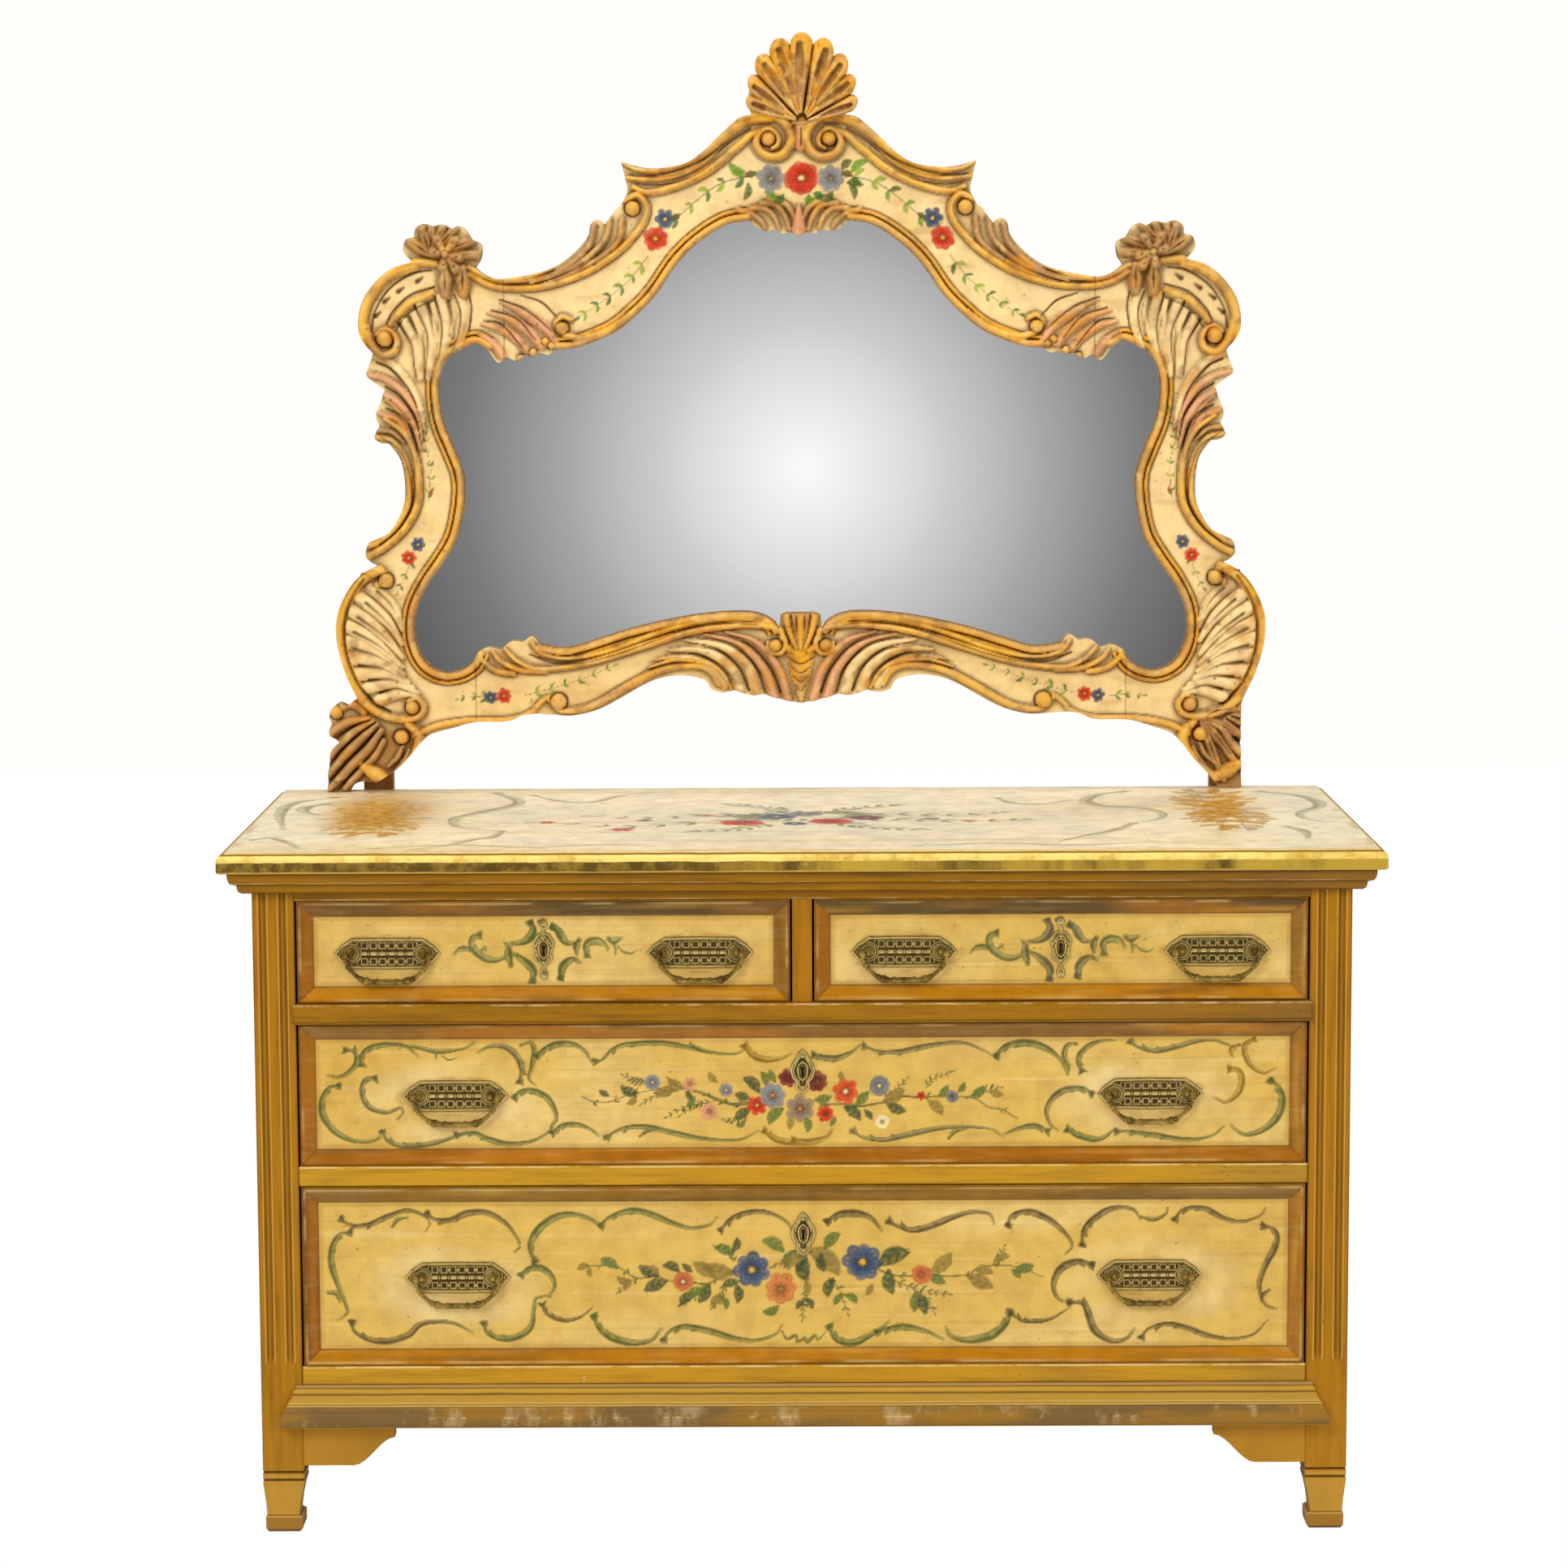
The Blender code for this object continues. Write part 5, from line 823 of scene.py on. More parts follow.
CREAM_RIBS = [
    ([(-471, 565), (-460, 543), (-456, 526), (-453, 497)], (4, 6, 3), 6),
    ([(-452, 582), (-441, 558), (-439, 532), (-443, 497)], (5, 7, 3), 6),
    ([(-426, 592), (-421, 565), (-424, 541), (-432, 497)], (6, 7, 3), 6),
    ([(-406, 595), (-401, 574), (-403, 550), (-416, 508)], (5, 6, 3), 5),
    ([(-508, 523), (-489, 516), (-470, 495), (-455, 466), (-448, 435)], (3, 4.5, 1.5), 6),
    ([(-516, 245), (-503, 236), (-488, 219), (-479, 196)], (6, 6, 2.5), 7),
    ([(-528, 233), (-513, 221), (-494, 202), (-480, 179)], (7, 6, 2.5), 7),
    ([(-539, 218), (-520, 206), (-498, 185), (-480, 162)], (7, 6, 2.5), 7),
    ([(-545, 200), (-524, 189), (-500, 170), (-480, 151)], (7, 6, 2.5), 7),
    ([(-545, 181), (-525, 174), (-499, 157), (-478, 142)], (7, 6, 2.5), 7),
    ([(-542, 161), (-519, 157), (-493, 144), (-473, 132)], (7, 6, 2.5), 7),
    ([(-535, 142), (-512, 142), (-488, 134), (-467, 125)], (7, 6, 2.5), 7),
    ([(-523, 125), (-503, 129), (-480, 127), (-462, 119)], (6, 6, 2.5), 7),
    ([(-509, 110), (-490, 117), (-473, 118), (-460, 114)], (6, 5, 2), 7),
    ([(-92, 127), (-109, 149), (-142, 162), (-176, 158)], (4, 4, 1), 6),
    ([(-73, 123), (-85, 149), (-117, 170), (-159, 170)], (5, 5, 1.5), 7),
    ([(-54, 120), (-64, 151), (-92, 174), (-138, 182)], (5, 5, 1.5), 7),
]
PINK_RIBS = [
    ([(-514, 501), (-495, 496), (-473, 480), (-457, 454), (-452, 424)], (3.5, 5, 2), 7),
    ([(-497, 478), (-478, 466), (-461, 441), (-454, 412)], (3.5, 5, 2), 7),
    ([(-503, 455), (-480, 446), (-465, 420), (-458, 393)], (3, 4, 2), 6),
    ([(-32, 114), (-45, 148), (-75, 178), (-117, 189)], (6, 5, 1.5), 8),
    ([(-15, 111), (-27, 148), (-53, 179), (-91, 192)], (6, 5, 1.5), 8),
    ([(-291, 539), (-304, 557), (-329, 574), (-356, 587)], (5, 7, 2), 6),
    ([(-307, 534), (-322, 551), (-344, 566), (-371, 574)], (5, 7, 2), 6),
    ([(-326, 530), (-337, 543), (-356, 555), (-379, 561)], (5, 6, 2), 6),
    ([(-355, 523), (-362, 534), (-373, 544), (-383, 548)], (6, 5, 2), 6),
]
BROWN_RIBS = [
    ([(-481, 55), (-487, 42), (-499, 30)], (2.0, 4.0, 2.0), 8.0),
    ([(-473, 50), (-480, 36), (-492, 23)], (2.0, 4.0, 2.0), 8.0),
    ([(-243, 678), (-252, 651), (-283, 624), (-317, 613), (-348, 610)], (3.5, 4.5, 1.5), 8),
    ([(-225, 686), (-232, 659), (-260, 633), (-294, 617), (-321, 609)], (3.5, 4.5, 1.5), 8),
    ([(-210, 685), (-216, 657), (-244, 634), (-279, 617), (-310, 607)], (3.5, 4.5, 1.5), 8),
    ([(-495, 472), (-487, 466), (-473, 449), (-465, 428)], (3, 3.5, 1.5), 7),
    ([(-504, 435), (-488, 433), (-473, 420)], (3, 3.5, 1.5), 7),
    ([(-57, 696), (-41, 696), (-30, 687), (-24, 673)], (4, 4, 3), 7),
    ([(-72, 694), (-57, 690), (-45, 681), (-40, 673)], (4, 4, 3), 7),
    ([(-45, 702), (-28, 700), (-17, 688), (-11, 671)], (4, 4, 3), 7),
    ([(-34, 707), (-15, 700), (-5, 685), (-2, 669)], (4, 4, 3), 7),
    ([(-17, 209), (-14, 191), (-5, 175)], (4, 4, 2.5), 9),
    ([(-8, 210), (-6, 191), (-2, 174)], (3.5, 3.5, 2.5), 10),
    ([(-516, 85), (-536, 75), (-557, 57), (-568, 43)], (5, 6, 4), 9),
    ([(-512, 82), (-530, 65), (-552, 43), (-571, 20)], (5, 6, 4), 9),
    ([(-507, 74), (-522, 52), (-545, 29), (-570, 3)], (5, 7, 4), 10),
    ([(-505, 61), (-516, 43), (-532, 25), (-551, 4)], (5, 6, 4), 9),
    ([(-522, 88), (-540, 86), (-557, 79), (-568, 70)], (5, 6, 5), 9),
    ([(-527, 96), (-536, 104), (-547, 106), (-554, 101)], (5, 6, 5), 9),
]
GROOVES = [
    ([(-58, 790), (-80, 776), (-106, 757), (-129, 743), (-156, 734), (-182, 735), (-201, 737)],
     (2.5,
     1.8, 1.2), 4),
    ([(-87, 762), (-113, 742), (-140, 729), (-171, 724), (-194, 726)], (1.2, 1.5, 1.2), 3),
    ([(-439, 625), (-462, 621), (-489, 603), (-506, 577), (-511, 552)], (1.8, 1.8, 1.6), 3),
    ([(-435, 605), (-463, 596), (-484, 577), (-492, 562)], (1.6, 1.6, 1.4), 3),
    ([(-437, 589), (-461, 578), (-474, 565), (-483, 552)], (1.6, 1.6, 1.4), 3),
    ([(-459, 584), (-445, 552), (-444, 528), (-448, 497)], (2.0, 1.6, 0.6), 4),
    ([(-435, 594), (-427, 563), (-428, 535), (-437, 497)], (2.0, 1.6, 0.6), 4),
    ([(-411, 596), (-404, 574), (-407, 550), (-421, 508)], (2.0, 1.6, 0.6), 4),
    ([(-394, 596), (-391, 578), (-395, 552), (-405, 523)], (1.6, 1.4, 0.6), 3),
    ([(-479, 563), (-465, 541), (-461, 523), (-459, 497)], (1.8, 1.6, 0.6), 4),
    ([(-443, 584), (-439, 566), (-436, 541)], (3.2, 2.4, 0.4), 5),
    ([(-419, 588), (-415, 566), (-419, 547)], (3.2, 2.4, 0.4), 5),
    ([(-466, 570), (-457, 549), (-452, 530)], (3.0, 2.2, 0.4), 5),
    ([(-332, 595), (-307, 586), (-288, 567)], (1.2, 1.8, 1.2), 4),
    ([(-358, 590), (-325, 577), (-295, 552)], (1.2, 1.8, 1.2), 4),
    ([(-367, 577), (-337, 567), (-315, 542)], (1.2, 1.8, 1.2), 4),
    ([(-377, 565), (-355, 560), (-330, 532)], (1.0, 1.6, 1.2), 4),
    ([(-508, 242), (-494, 228), (-483, 209)], (2.6, 1.8, 0.5), 4),
    ([(-522, 228), (-503, 211), (-485, 191)], (2.8, 1.8, 0.5), 4),
    ([(-532, 211), (-509, 194), (-485, 172)], (2.8, 1.8, 0.5), 4),
    ([(-537, 193), (-511, 179), (-486, 159)], (2.8, 1.8, 0.5), 4),
    ([(-538, 173), (-510, 164), (-482, 147)], (2.8, 1.8, 0.5), 4),
    ([(-532, 153), (-504, 149), (-478, 136)], (2.8, 1.8, 0.5), 4),
    ([(-520, 135), (-495, 136), (-471, 128)], (2.8, 1.8, 0.5), 4),
    ([(-507, 120), (-486, 125), (-466, 118)], (2.4, 1.6, 0.5), 4),
    ([(-524, 257), (-538, 236), (-547, 211), (-549, 185), (-544, 157), (-532, 129), (-514, 107),
      (-496,
     96)], (2.2, 2.6, 2.2), 5),
    ([(-24, 118), (-37, 148), (-63, 176), (-104, 190)], (1.6, 1.6, 0.6), 4),
    ([(-43, 118), (-54, 149), (-83, 175), (-125, 185)], (1.6, 1.6, 0.6), 4),
    ([(-62, 120), (-75, 149), (-103, 170), (-147, 175)], (1.6, 1.6, 0.6), 4),
    ([(-81, 124), (-96, 148), (-125, 164), (-164, 164)], (1.6, 1.6, 0.6), 4),
    ([(-326, 165), (-299, 155), (-264, 155), (-222, 165), (-179, 180), (-133, 196), (-90, 202),
      (-52,
     200)], (1.5, 1.6, 1.4), 3),
    ([(-505, 516), (-486, 506), (-465, 480), (-453, 447)], (1.6, 1.6, 0.6), 4),
    ([(-495, 487), (-476, 474), (-459, 447), (-453, 418)], (1.8, 1.6, 0.6), 4),
    ([(-494, 461), (-473, 449), (-460, 420), (-457, 389)], (1.6, 1.6, 0.6), 4),
    ([(-501, 427), (-479, 412), (-469, 389), (-465, 366), (-467, 341), (-483, 315), (-504, 298)],
     (1.2,
     1.6, 1.2), 4),
    ([(-513, 84), (-533, 70), (-555, 50), (-569, 32)], (1.8, 1.8, 1.2), 4),
    ([(-509, 77), (-525, 59), (-548, 36), (-571, 11)], (1.8, 1.8, 1.2), 4),
    ([(-505, 67), (-517, 47), (-537, 27), (-560, 2)], (1.8, 1.8, 1.2), 4),
    ([(-520, 87), (-538, 80), (-558, 67), (-568, 57)], (1.8, 1.8, 1.2), 4),
]
BUTTONS = [
    ((-36, 778), 9, 13),
    ((-198, 697), 9, 12),
    ((-495, 544), 10, 13),
    ((-498, 255), 9, 13),
    ((-468, 102), 9, 13),
    ((-283, 556), 8, 10),
    ((-292, 108), 10, 11),
    ((-30, 175), 8, 11),
    ((-560, 96), 8, 11),
    ((-482, 66), 9, 12),
    ((-303, 540), 5, 8),
    ((-318, 527), 5, 8),
    ((-333, 520), 5, 8),
    ((-296, 535), 4.5, 8),
]
PUNCH_MARKS = [(-452, 614), (-475, 602), (-492, 590), (-503, 573)]
ROSETTE_CENTRE = (-421, 643)
ROSETTE_PETALS = [(-433, 646), (-429, 659), (-412, 657), (-407, 640), (-410, 629), (-423, 631)]
ROSETTE_LEAF_ROOT = (-438, 642)
ROSETTE_LEAF_TIPS = [(-463, 660), (-448, 673), (-437, 676), (-423, 676), (-410, 673), (-390, 659),
                     (-384, 643)]
HANGING_LEAVES = [(-421, 627), (-422, 596), (-400, 627), (-401, 597)]


# Painted work of the drawers, in millimetres from the middle of each front: path from its head,
# half width and the side of its fingers.
MIDDLE_SCROLLS = [
    ([(-502, 49), (-492, 48), (-489, 37), (-496, 26), (-509, 19), (-523, 21)], 2.1, 1),
    ([(-508, 10), (-521, 6), (-528, -8), (-527, -24), (-517, -39), (-502, -49), (-485, -53),
      (-468, -50),
      (-463, -40)], 2.5, 1),
    ([(-484, 32), (-483, 44), (-473, 52), (-456, 55), (-436, 53), (-426, 46), (-421, 40)], 2.1, -1),
    ([(-440, 55), (-422, 52), (-400, 47), (-379, 49), (-366, 53), (-359, 59)], 1.7, 0),
    ([(-405, 48), (-402, 43), (-403, 38)], 0.8, 0),
    ([(-395, 42), (-388, 38), (-377, 41)], 0.8, 0),
    ([(-311, 13), (-308, 26), (-313, 41), (-326, 52), (-343, 53), (-357, 46)], 2.5, -1),
    ([(-309, 54), (-298, 57), (-294, 47), (-297, 30), (-300, 17), (-292, 8)], 2.1, 0),
    ([(-468, 18), (-479, 17), (-484, 6), (-481, -8), (-472, -17), (-456, -20), (-442, -15),
      (-439, -21),
      (-446, -29)], 2.1, 1),
    ([(-463, -41), (-455, -53), (-439, -58), (-417, -57), (-395, -52), (-378, -46), (-357, -44)],
     2.1, 1),
    ([(-382, -46), (-362, -44), (-345, -51), (-324, -56), (-300, -54), (-283, -46), (-273, -37)],
     2.1, -1),
    ([(-317, -5), (-310, 2), (-297, 3), (-283, -3), (-274, -15), (-271, -28), (-277, -37),
      (-275, -44)], 2.5, -1),
    ([(-292, 42), (-283, 49), (-268, 55), (-250, 54), (-238, 46), (-233, 36)], 2.5, -1),
    ([(-231, 36), (-220, 37), (-210, 47), (-199, 53), (-182, 55), (-157, 56), (-131, 52),
      (-106, 46),
      (-85, 43), (-70, 44), (-59, 52)], 2.1, -1),
    ([(-123, 55), (-111, 48), (-97, 44)], 1.7, 0),
    ([(-64, 52), (-55, 42), (-42, 37), (-26, 38), (-11, 44)], 2.5, 1),
    ([(-276, -44), (-264, -36), (-249, -35), (-234, -40), (-223, -49)], 2.1, -1),
    ([(-218, -51), (-206, -43), (-191, -38), (-170, -38), (-148, -43), (-123, -49), (-93, -53),
      (-67, -52),
      (-47, -42)], 2.1, -1),
    ([(-179, -48), (-171, -42), (-158, -40)], 1.7, 0),
    ([(-42, -43), (-30, -52), (-12, -56), (8, -57)], 2.5, 1),
    ([(12, 42), (24, 39), (37, 38), (53, 44), (64, 53)], 2.5, -1),
    ([(66, 52), (84, 45), (106, 45), (130, 50), (156, 54), (178, 54), (198, 46), (208, 40)], 2.1,
     -1),
    ([(212, 39), (222, 50), (238, 54), (255, 53), (272, 45), (284, 33), (290, 20)], 2.9, -1),
    ([(300, 53), (290, 51), (287, 40), (292, 28), (291, 17)], 2.1, 0),
    ([(306, 22), (302, 36), (310, 48), (324, 55), (344, 57)], 2.1, -1),
    ([(358, 56), (369, 49), (387, 45), (408, 49), (429, 55), (449, 57), (463, 53), (476, 47)], 2.1,
     1),
    ([(479, 51), (470, 46), (472, 37)], 2.1, 0),
    ([(495, 58), (485, 52), (485, 40), (493, 27), (506, 20), (519, 26)], 2.1, 1),
    ([(468, 25), (478, 23), (482, 12), (477, -3), (464, -12), (451, -7)], 2.5, -1),
    ([(513, 12), (524, 0), (526, -16), (518, -33), (502, -45), (484, -48), (469, -37)], 2.9, -1),
    ([(318, -3), (307, 3), (289, 2), (275, -7), (268, -21), (272, -36), (282, -44)], 2.5, 1),
    ([(290, -43), (305, -50), (326, -53), (344, -41)], 2.5, 1),
    ([(343, -44), (364, -46), (387, -49), (409, -53), (433, -54), (452, -49), (463, -39)], 2.1, -1),
    ([(269, -44), (255, -38), (238, -41), (220, -48)], 2.1, 1),
    ([(53, -42), (66, -50), (89, -53), (114, -48), (140, -42), (165, -39), (186, -39), (208, -42),
      (221, -51)], 2.1, 1),
    ([(160, -52), (167, -44), (181, -41)], 1.7, 0),
    ([(-10, -53), (7, -55), (26, -50), (34, -40)], 2.5, -1),
]
BOTTOM_SCROLLS = [
    ([(-510, 65), (-500, 57), (-480, 57), (-459, 66), (-437, 73), (-420, 68), (-412, 59),
      (-417, 49)], 2.1, -1),
    ([(-453, 55), (-447, 63), (-434, 66)], 1.7, 0),
    ([(-415, 71), (-407, 63), (-390, 62), (-369, 70), (-348, 70), (-329, 59), (-318, 45),
      (-313, 33),
      (-319, 25)], 2.5, -1),
    ([(-498, 49), (-511, 46), (-519, 33), (-521, 15), (-515, -7), (-507, -28), (-504, -42),
      (-515, -51)], 2.5, 1),
    ([(-525, -19), (-516, -20), (-511, -31)], 2.1, 0),
    ([(-500, -51), (-496, -63), (-480, -72), (-459, -74), (-437, -67), (-425, -56), (-407, -52),
      (-386, -54), (-365, -65)], 2.5, 1),
    ([(-354, -53), (-348, -66), (-330, -72), (-313, -68), (-301, -57), (-298, -37), (-295, -26),
      (-278, -23)], 2.5, 1),
    ([(-312, 0), (-303, 7), (-290, 8), (-279, 0), (-275, -13), (-283, -25)], 2.5, -1),
    ([(-289, -33), (-283, -44), (-266, -51), (-248, -48), (-232, -36)], 1.7, 1),
    ([(-296, 14), (-301, 33), (-292, 51), (-275, 64), (-254, 68), (-232, 61), (-221, 49)], 2.9, -1),
    ([(-224, 55), (-212, 65), (-189, 72), (-168, 68), (-147, 59), (-125, 52), (-104, 55),
      (-94, 65)], 2.5, -1),
    ([(-92, 49), (-78, 63), (-57, 70), (-35, 68), (-18, 58), (-12, 48)], 2.1, -1),
    ([(-232, -46), (-224, -62), (-207, -73), (-185, -77), (-168, -73), (-157, -60)], 2.9, 1),
    ([(-156, -75), (-147, -64), (-130, -59), (-104, -64), (-78, -72), (-53, -75), (-31, -68),
      (-23, -56)], 2.5, -1),
    ([(-24, -65), (-18, -73), (-9, -69), (-6, -76), (2, -73), (7, -77)], 1.3, 0),
    ([(26, 59), (40, 67), (57, 68), (74, 63), (87, 47)], 2.9, -1),
    ([(93, 59), (104, 54), (121, 49), (142, 54), (164, 63), (185, 69), (205, 67), (211, 55)], 2.5,
     1),
    ([(225, 53), (231, 65), (249, 69), (271, 60), (288, 45), (296, 31), (288, 21)], 2.5, -1),
    ([(307, 31), (310, 49), (324, 64), (343, 73), (363, 71), (372, 59)], 2.5, -1),
    ([(372, 63), (386, 60), (399, 66), (401, 74)], 1.7, 0),
    ([(408, 59), (420, 71), (442, 72), (463, 61), (484, 57), (504, 64), (509, 72)], 2.1, -1),
    ([(505, 53), (520, 46), (521, 31), (510, 9), (503, -13), (508, -35), (523, -42)], 2.5, -1),
    ([(514, -20), (507, -26), (506, -34)], 1.7, 0),
    ([(319, 9), (301, 13), (283, 4), (276, -13), (281, -28), (292, -33)], 2.9, 1),
    ([(293, -33), (309, -34), (315, -48), (322, -65), (339, -76), (356, -74), (366, -62)], 2.9, 1),
    ([(372, -74), (382, -63), (403, -58), (425, -63), (446, -71), (472, -75), (497, -70),
      (513, -53)], 2.1, -1),
    ([(228, -43), (223, -56), (207, -70), (181, -75), (163, -70), (157, -59)], 3.4, -1),
    ([(229, -46), (245, -54), (271, -52), (295, -38)], 1.7, 1),
    ([(28, -59), (36, -73), (53, -78), (70, -71), (87, -60), (95, -52)], 2.9, 1),
    ([(81, -66), (108, -60), (134, -65), (155, -75)], 2.5, -1),
    ([(-8, -77), (1, -72), (4, -77), (12, -69), (16, -74), (25, -64)], 1.3, 0),
]
SMALL_SCROLLS = [
    ([(-14, 31), (-11, 25), (-13, 18), (-20, 11), (-29, 9), (-38, 9)], 3.2, -1),
    ([(-12, -33), (-11, -23), (-17, -15), (-26, -8), (-33, -4), (-38, 1)], 3.2, 1),
    ([(-70, 18), (-77, 16), (-79, 8), (-74, -1), (-64, -8), (-53, -10), (-43, -6), (-37, 2),
      (-35, 10)], 2.8, 1),
    ([(-79, 2), (-86, 3), (-93, 1), (-99, -5)], 2.2, 1),
    ([(-68, 1), (-64, 4), (-63, -1)], 1.6, 0),
    ([(-36, -16), (-38, -9), (-40, 5), (-44, 10)], 3.0, 0),
    ([(10, 26), (16, 22), (20, 15), (26, 9), (37, 9)], 3.2, 1),
    ([(18, -30), (20, -19), (26, -12), (33, -10), (41, -14)], 3.2, -1),
    ([(39, 12), (36, 4), (37, -6)], 2.7, 0),
    ([(47, -5), (46, 5), (52, 11), (62, 11), (68, 5), (70, -1)], 2.7, -1),
    ([(52, 7), (59, 8), (64, 5)], 1.3, 0),
    ([(71, 13), (77, 11), (86, 15)], 3.0, 0),
    ([(77, 8), (79, 2), (79, -5)], 1.5, 0),
    ([(82, 4), (87, -1), (96, -3), (102, 1)], 1.1, 0),
    ([(-5, 32), (0, 33), (1, 28)], 2.2, 0),
]
MIDDLE_STEMS = [
    ([(-242, -4), (-227, -10), (-210, -9), (-191, -2), (-165, 3), (-146, 3), (-130, 5)], 0.8),
    ([(-173, 13), (-184, 13), (-196, 20)], 0.7), ([(-140, 3), (-159, -2), (-176, -11)], 1.0),
    ([(-57, -11), (-76, -13), (-95, -7), (-111, 0), (-130, 5), (-140, 9), (-146, 15)], 2.3),
    ([(-100, -10), (-118, -14), (-134, -24)], 0.6), ([(-110, -11), (-130, -17), (-149, -26)], 0.5),
    ([(20, -14), (42, -13), (59, -16), (89, -11), (108, -5), (128, -6), (154, -5), (187, -7),
      (204, -17),
      (219, -20), (232, -28)], 1.5), ([(187, -5), (200, 3), (216, 4)], 0.5),
      ([(89, -11), (100, 0), (114, 14)], 0.9),
    ([(-62, -24), (-72, -32), (-84, -30)], 0.6), ([(135, 4), (142, 14), (161, 21)], 0.6),
]
MIDDLE_LEAVES = [
    ((-181, 0), (-200, 8)), ((-183, -3), (-194, -12)), ((-213, -3), (-224, 4)),
    ((-48, 1), (-66, 17)),
    ((-58, -7), (-75, -1)), ((-30, 12), (-36, 26)), ((-24, 12), (-17, 25)),
    ((-22, -18), (-38, -36)),
    ((-58, -18), (-76, -29)), ((-12, -26), (-15, -42)), ((3, -28), (5, -45)), ((-40, 8), (-46, 24)),
    ((-94, 12), (-103, 24)), ((-119, -4), (-128, -14)), ((-140, 4), (-161, -4)),
    ((-130, 5), (-148, 17)),
    ((31, -5), (12, -8)), ((46, -17), (63, -32)), ((59, -14), (73, 1)), ((89, -11), (112, 3)),
    ((93, -14), (114, -22)), ((68, -20), (76, -31)), ((138, -10), (154, -26)),
    ((171, 0), (178, 11)),
    ((185, -6), (201, 6)), ((205, 0), (221, -4)), ((44, 13), (42, 24)), ((36, -28), (30, -38)),
    ((-64, -31), (-72, -38)), ((-128, 2), (-121, -8)), ((150, -4), (160, 8)),
]
MIDDLE_FLOWERS = [
    ((-165, 12), 9.0, Paint.GREY_BLUE, 9, Paint.LIGHT),
    ((-124, 10), 8.5, Paint.PINK, 6, Paint.YELLOW),
    ((-84, 3), 8.0, Paint.GREY_BLUE, 7, Paint.LIGHT),
    ((-103, -21), 10.5, Paint.PINK, 7, Paint.ORANGE),
    ((-16, 16), 10.5, Paint.WINE, 6, Paint.BROWN), ((16, 12), 12.0, Paint.WINE, 7, Paint.BROWN),
    ((-50, -14), 11.0, Paint.RED, 6, Paint.YELLOW),
    ((-33, -3), 14.5, Paint.GREY_BLUE, 7, Paint.ORANGE),
    ((-3, -18), 16.0, Paint.DUSK, 6, Paint.ORANGE), ((47, 1), 15.0, Paint.SCARLET, 6, Paint.LIGHT),
    ((84, 7), 11.5, Paint.SMOKE, 11, Paint.LIGHT), ((25, -24), 9.5, Paint.RED, 7, Paint.BROWN),
    ((130, -4), 5.5, Paint.RED, 5, Paint.BROWN), ((164, -5), 7.5, Paint.SMOKE, 9, Paint.BROWN),
    ((87, -33), 8.0, Paint.LIGHT, 8, Paint.YELLOW),
]
BOTTOM_STEMS = [
    ([(-77, 4), (-94, -5), (-108, -11), (-123, -9), (-149, -7), (-163, -2), (-183, -4), (-197, 4),
      (-209, 10),
      (-238, 10)], 1.3), ([(-5, 28), (-19, 16), (-34, 9)], 1.2),
      ([(-106, -11), (-116, -22), (-135, -33)], 0.8),
    ([(2, -18), (0, -35), (-2, -50)], 0.8), ([(-88, -12), (-91, -26), (-100, -36)], 0.6),
    ([(84, 4), (102, -2), (142, -2), (162, -3), (183, -1), (190, 4), (209, 9), (236, 7), (260, -3)],
     1.2),
    ([(98, -7), (119, -16), (137, -29), (144, -44)], 0.8), ([(209, 10), (218, 20), (222, 29)], 0.6),
    ([(28, -4), (40, -18), (44, -30), (48, -44)], 0.7), ([(118, -15), (140, -20), (160, -24)], 0.5),
    ([(-77, 14), (-80, 24), (-96, 32)], 0.7), ([(-183, -4), (-196, -10), (-204, -18)], 0.6),
]
BOTTOM_LEAVES = [
    ((-77, 2), (-112, 12)), ((-98, -2), (-122, 14)), ((-161, -1), (-182, 11)),
    ((-160, 0), (-168, 11)),
    ((-152, -8), (-177, -18)), ((-104, -12), (-117, -32)), ((-120, -23), (-137, -36)),
    ((-110, -18), (-129, -26)),
    ((-72, -8), (-90, -13)), ((-74, -12), (-74, -33)), ((-78, 22), (-99, 31)),
    ((-78, 26), (-73, 42)),
    ((-22, 26), (-46, 39)), ((-4, 22), (-8, 2)), ((-13, 26), (-16, 4)), ((-28, -36), (-46, -42)),
    ((-205, 8), (-224, 19)), ((-193, -7), (-206, -2)), ((-195, -8), (-199, -19)),
    ((-236, 10), (-250, 6)),
    ((-236, 8), (-234, -3)), ((-137, 3), (-156, 10)), ((-123, 3), (-134, 12)),
    ((-88, -24), (-103, -36)),
    ((-90, -26), (-86, -40)), ((6, 26), (40, 12)), ((12, 19), (40, -3)), ((1, 22), (4, -10)),
    ((24, 29), (42, 46)), ((84, 10), (119, 24)), ((94, 4), (99, -24)), ((142, 2), (164, 24)),
    ((138, -2), (157, -12)), ((33, -5), (26, -27)), ((43, -24), (34, -36)), ((46, -24), (59, -34)),
    ((123, -22), (122, -44)), ((128, -24), (134, -47)), ((182, -3), (210, -17)),
    ((189, 4), (210, -1)),
    ((234, 4), (255, 9)), ((230, 4), (240, -6)), ((213, 15), (228, 19)), ((76, -12), (69, -24)),
    ((3, -8), (5, -24)), ((2, -28), (10, -40)), ((1, -30), (-8, -40)), ((0, 20), (-22, 6)),
    ((20, 22), (24, 2)),
]
BOTTOM_FLOWERS = [
    ((-57, 5), 20.0, Paint.BLUE, 7, Paint.YELLOW), ((-25, -17), 18.5, Paint.ORANGE, 7, Paint.OLIVE),
    ((-133, -8), 11.5, Paint.RUST, 9, Paint.LIGHT), ((65, 13), 21.0, Paint.BLUE, 8, Paint.YELLOW),
    ((130, -1), 11.5, Paint.RUST, 9, Paint.ORANGE),
]
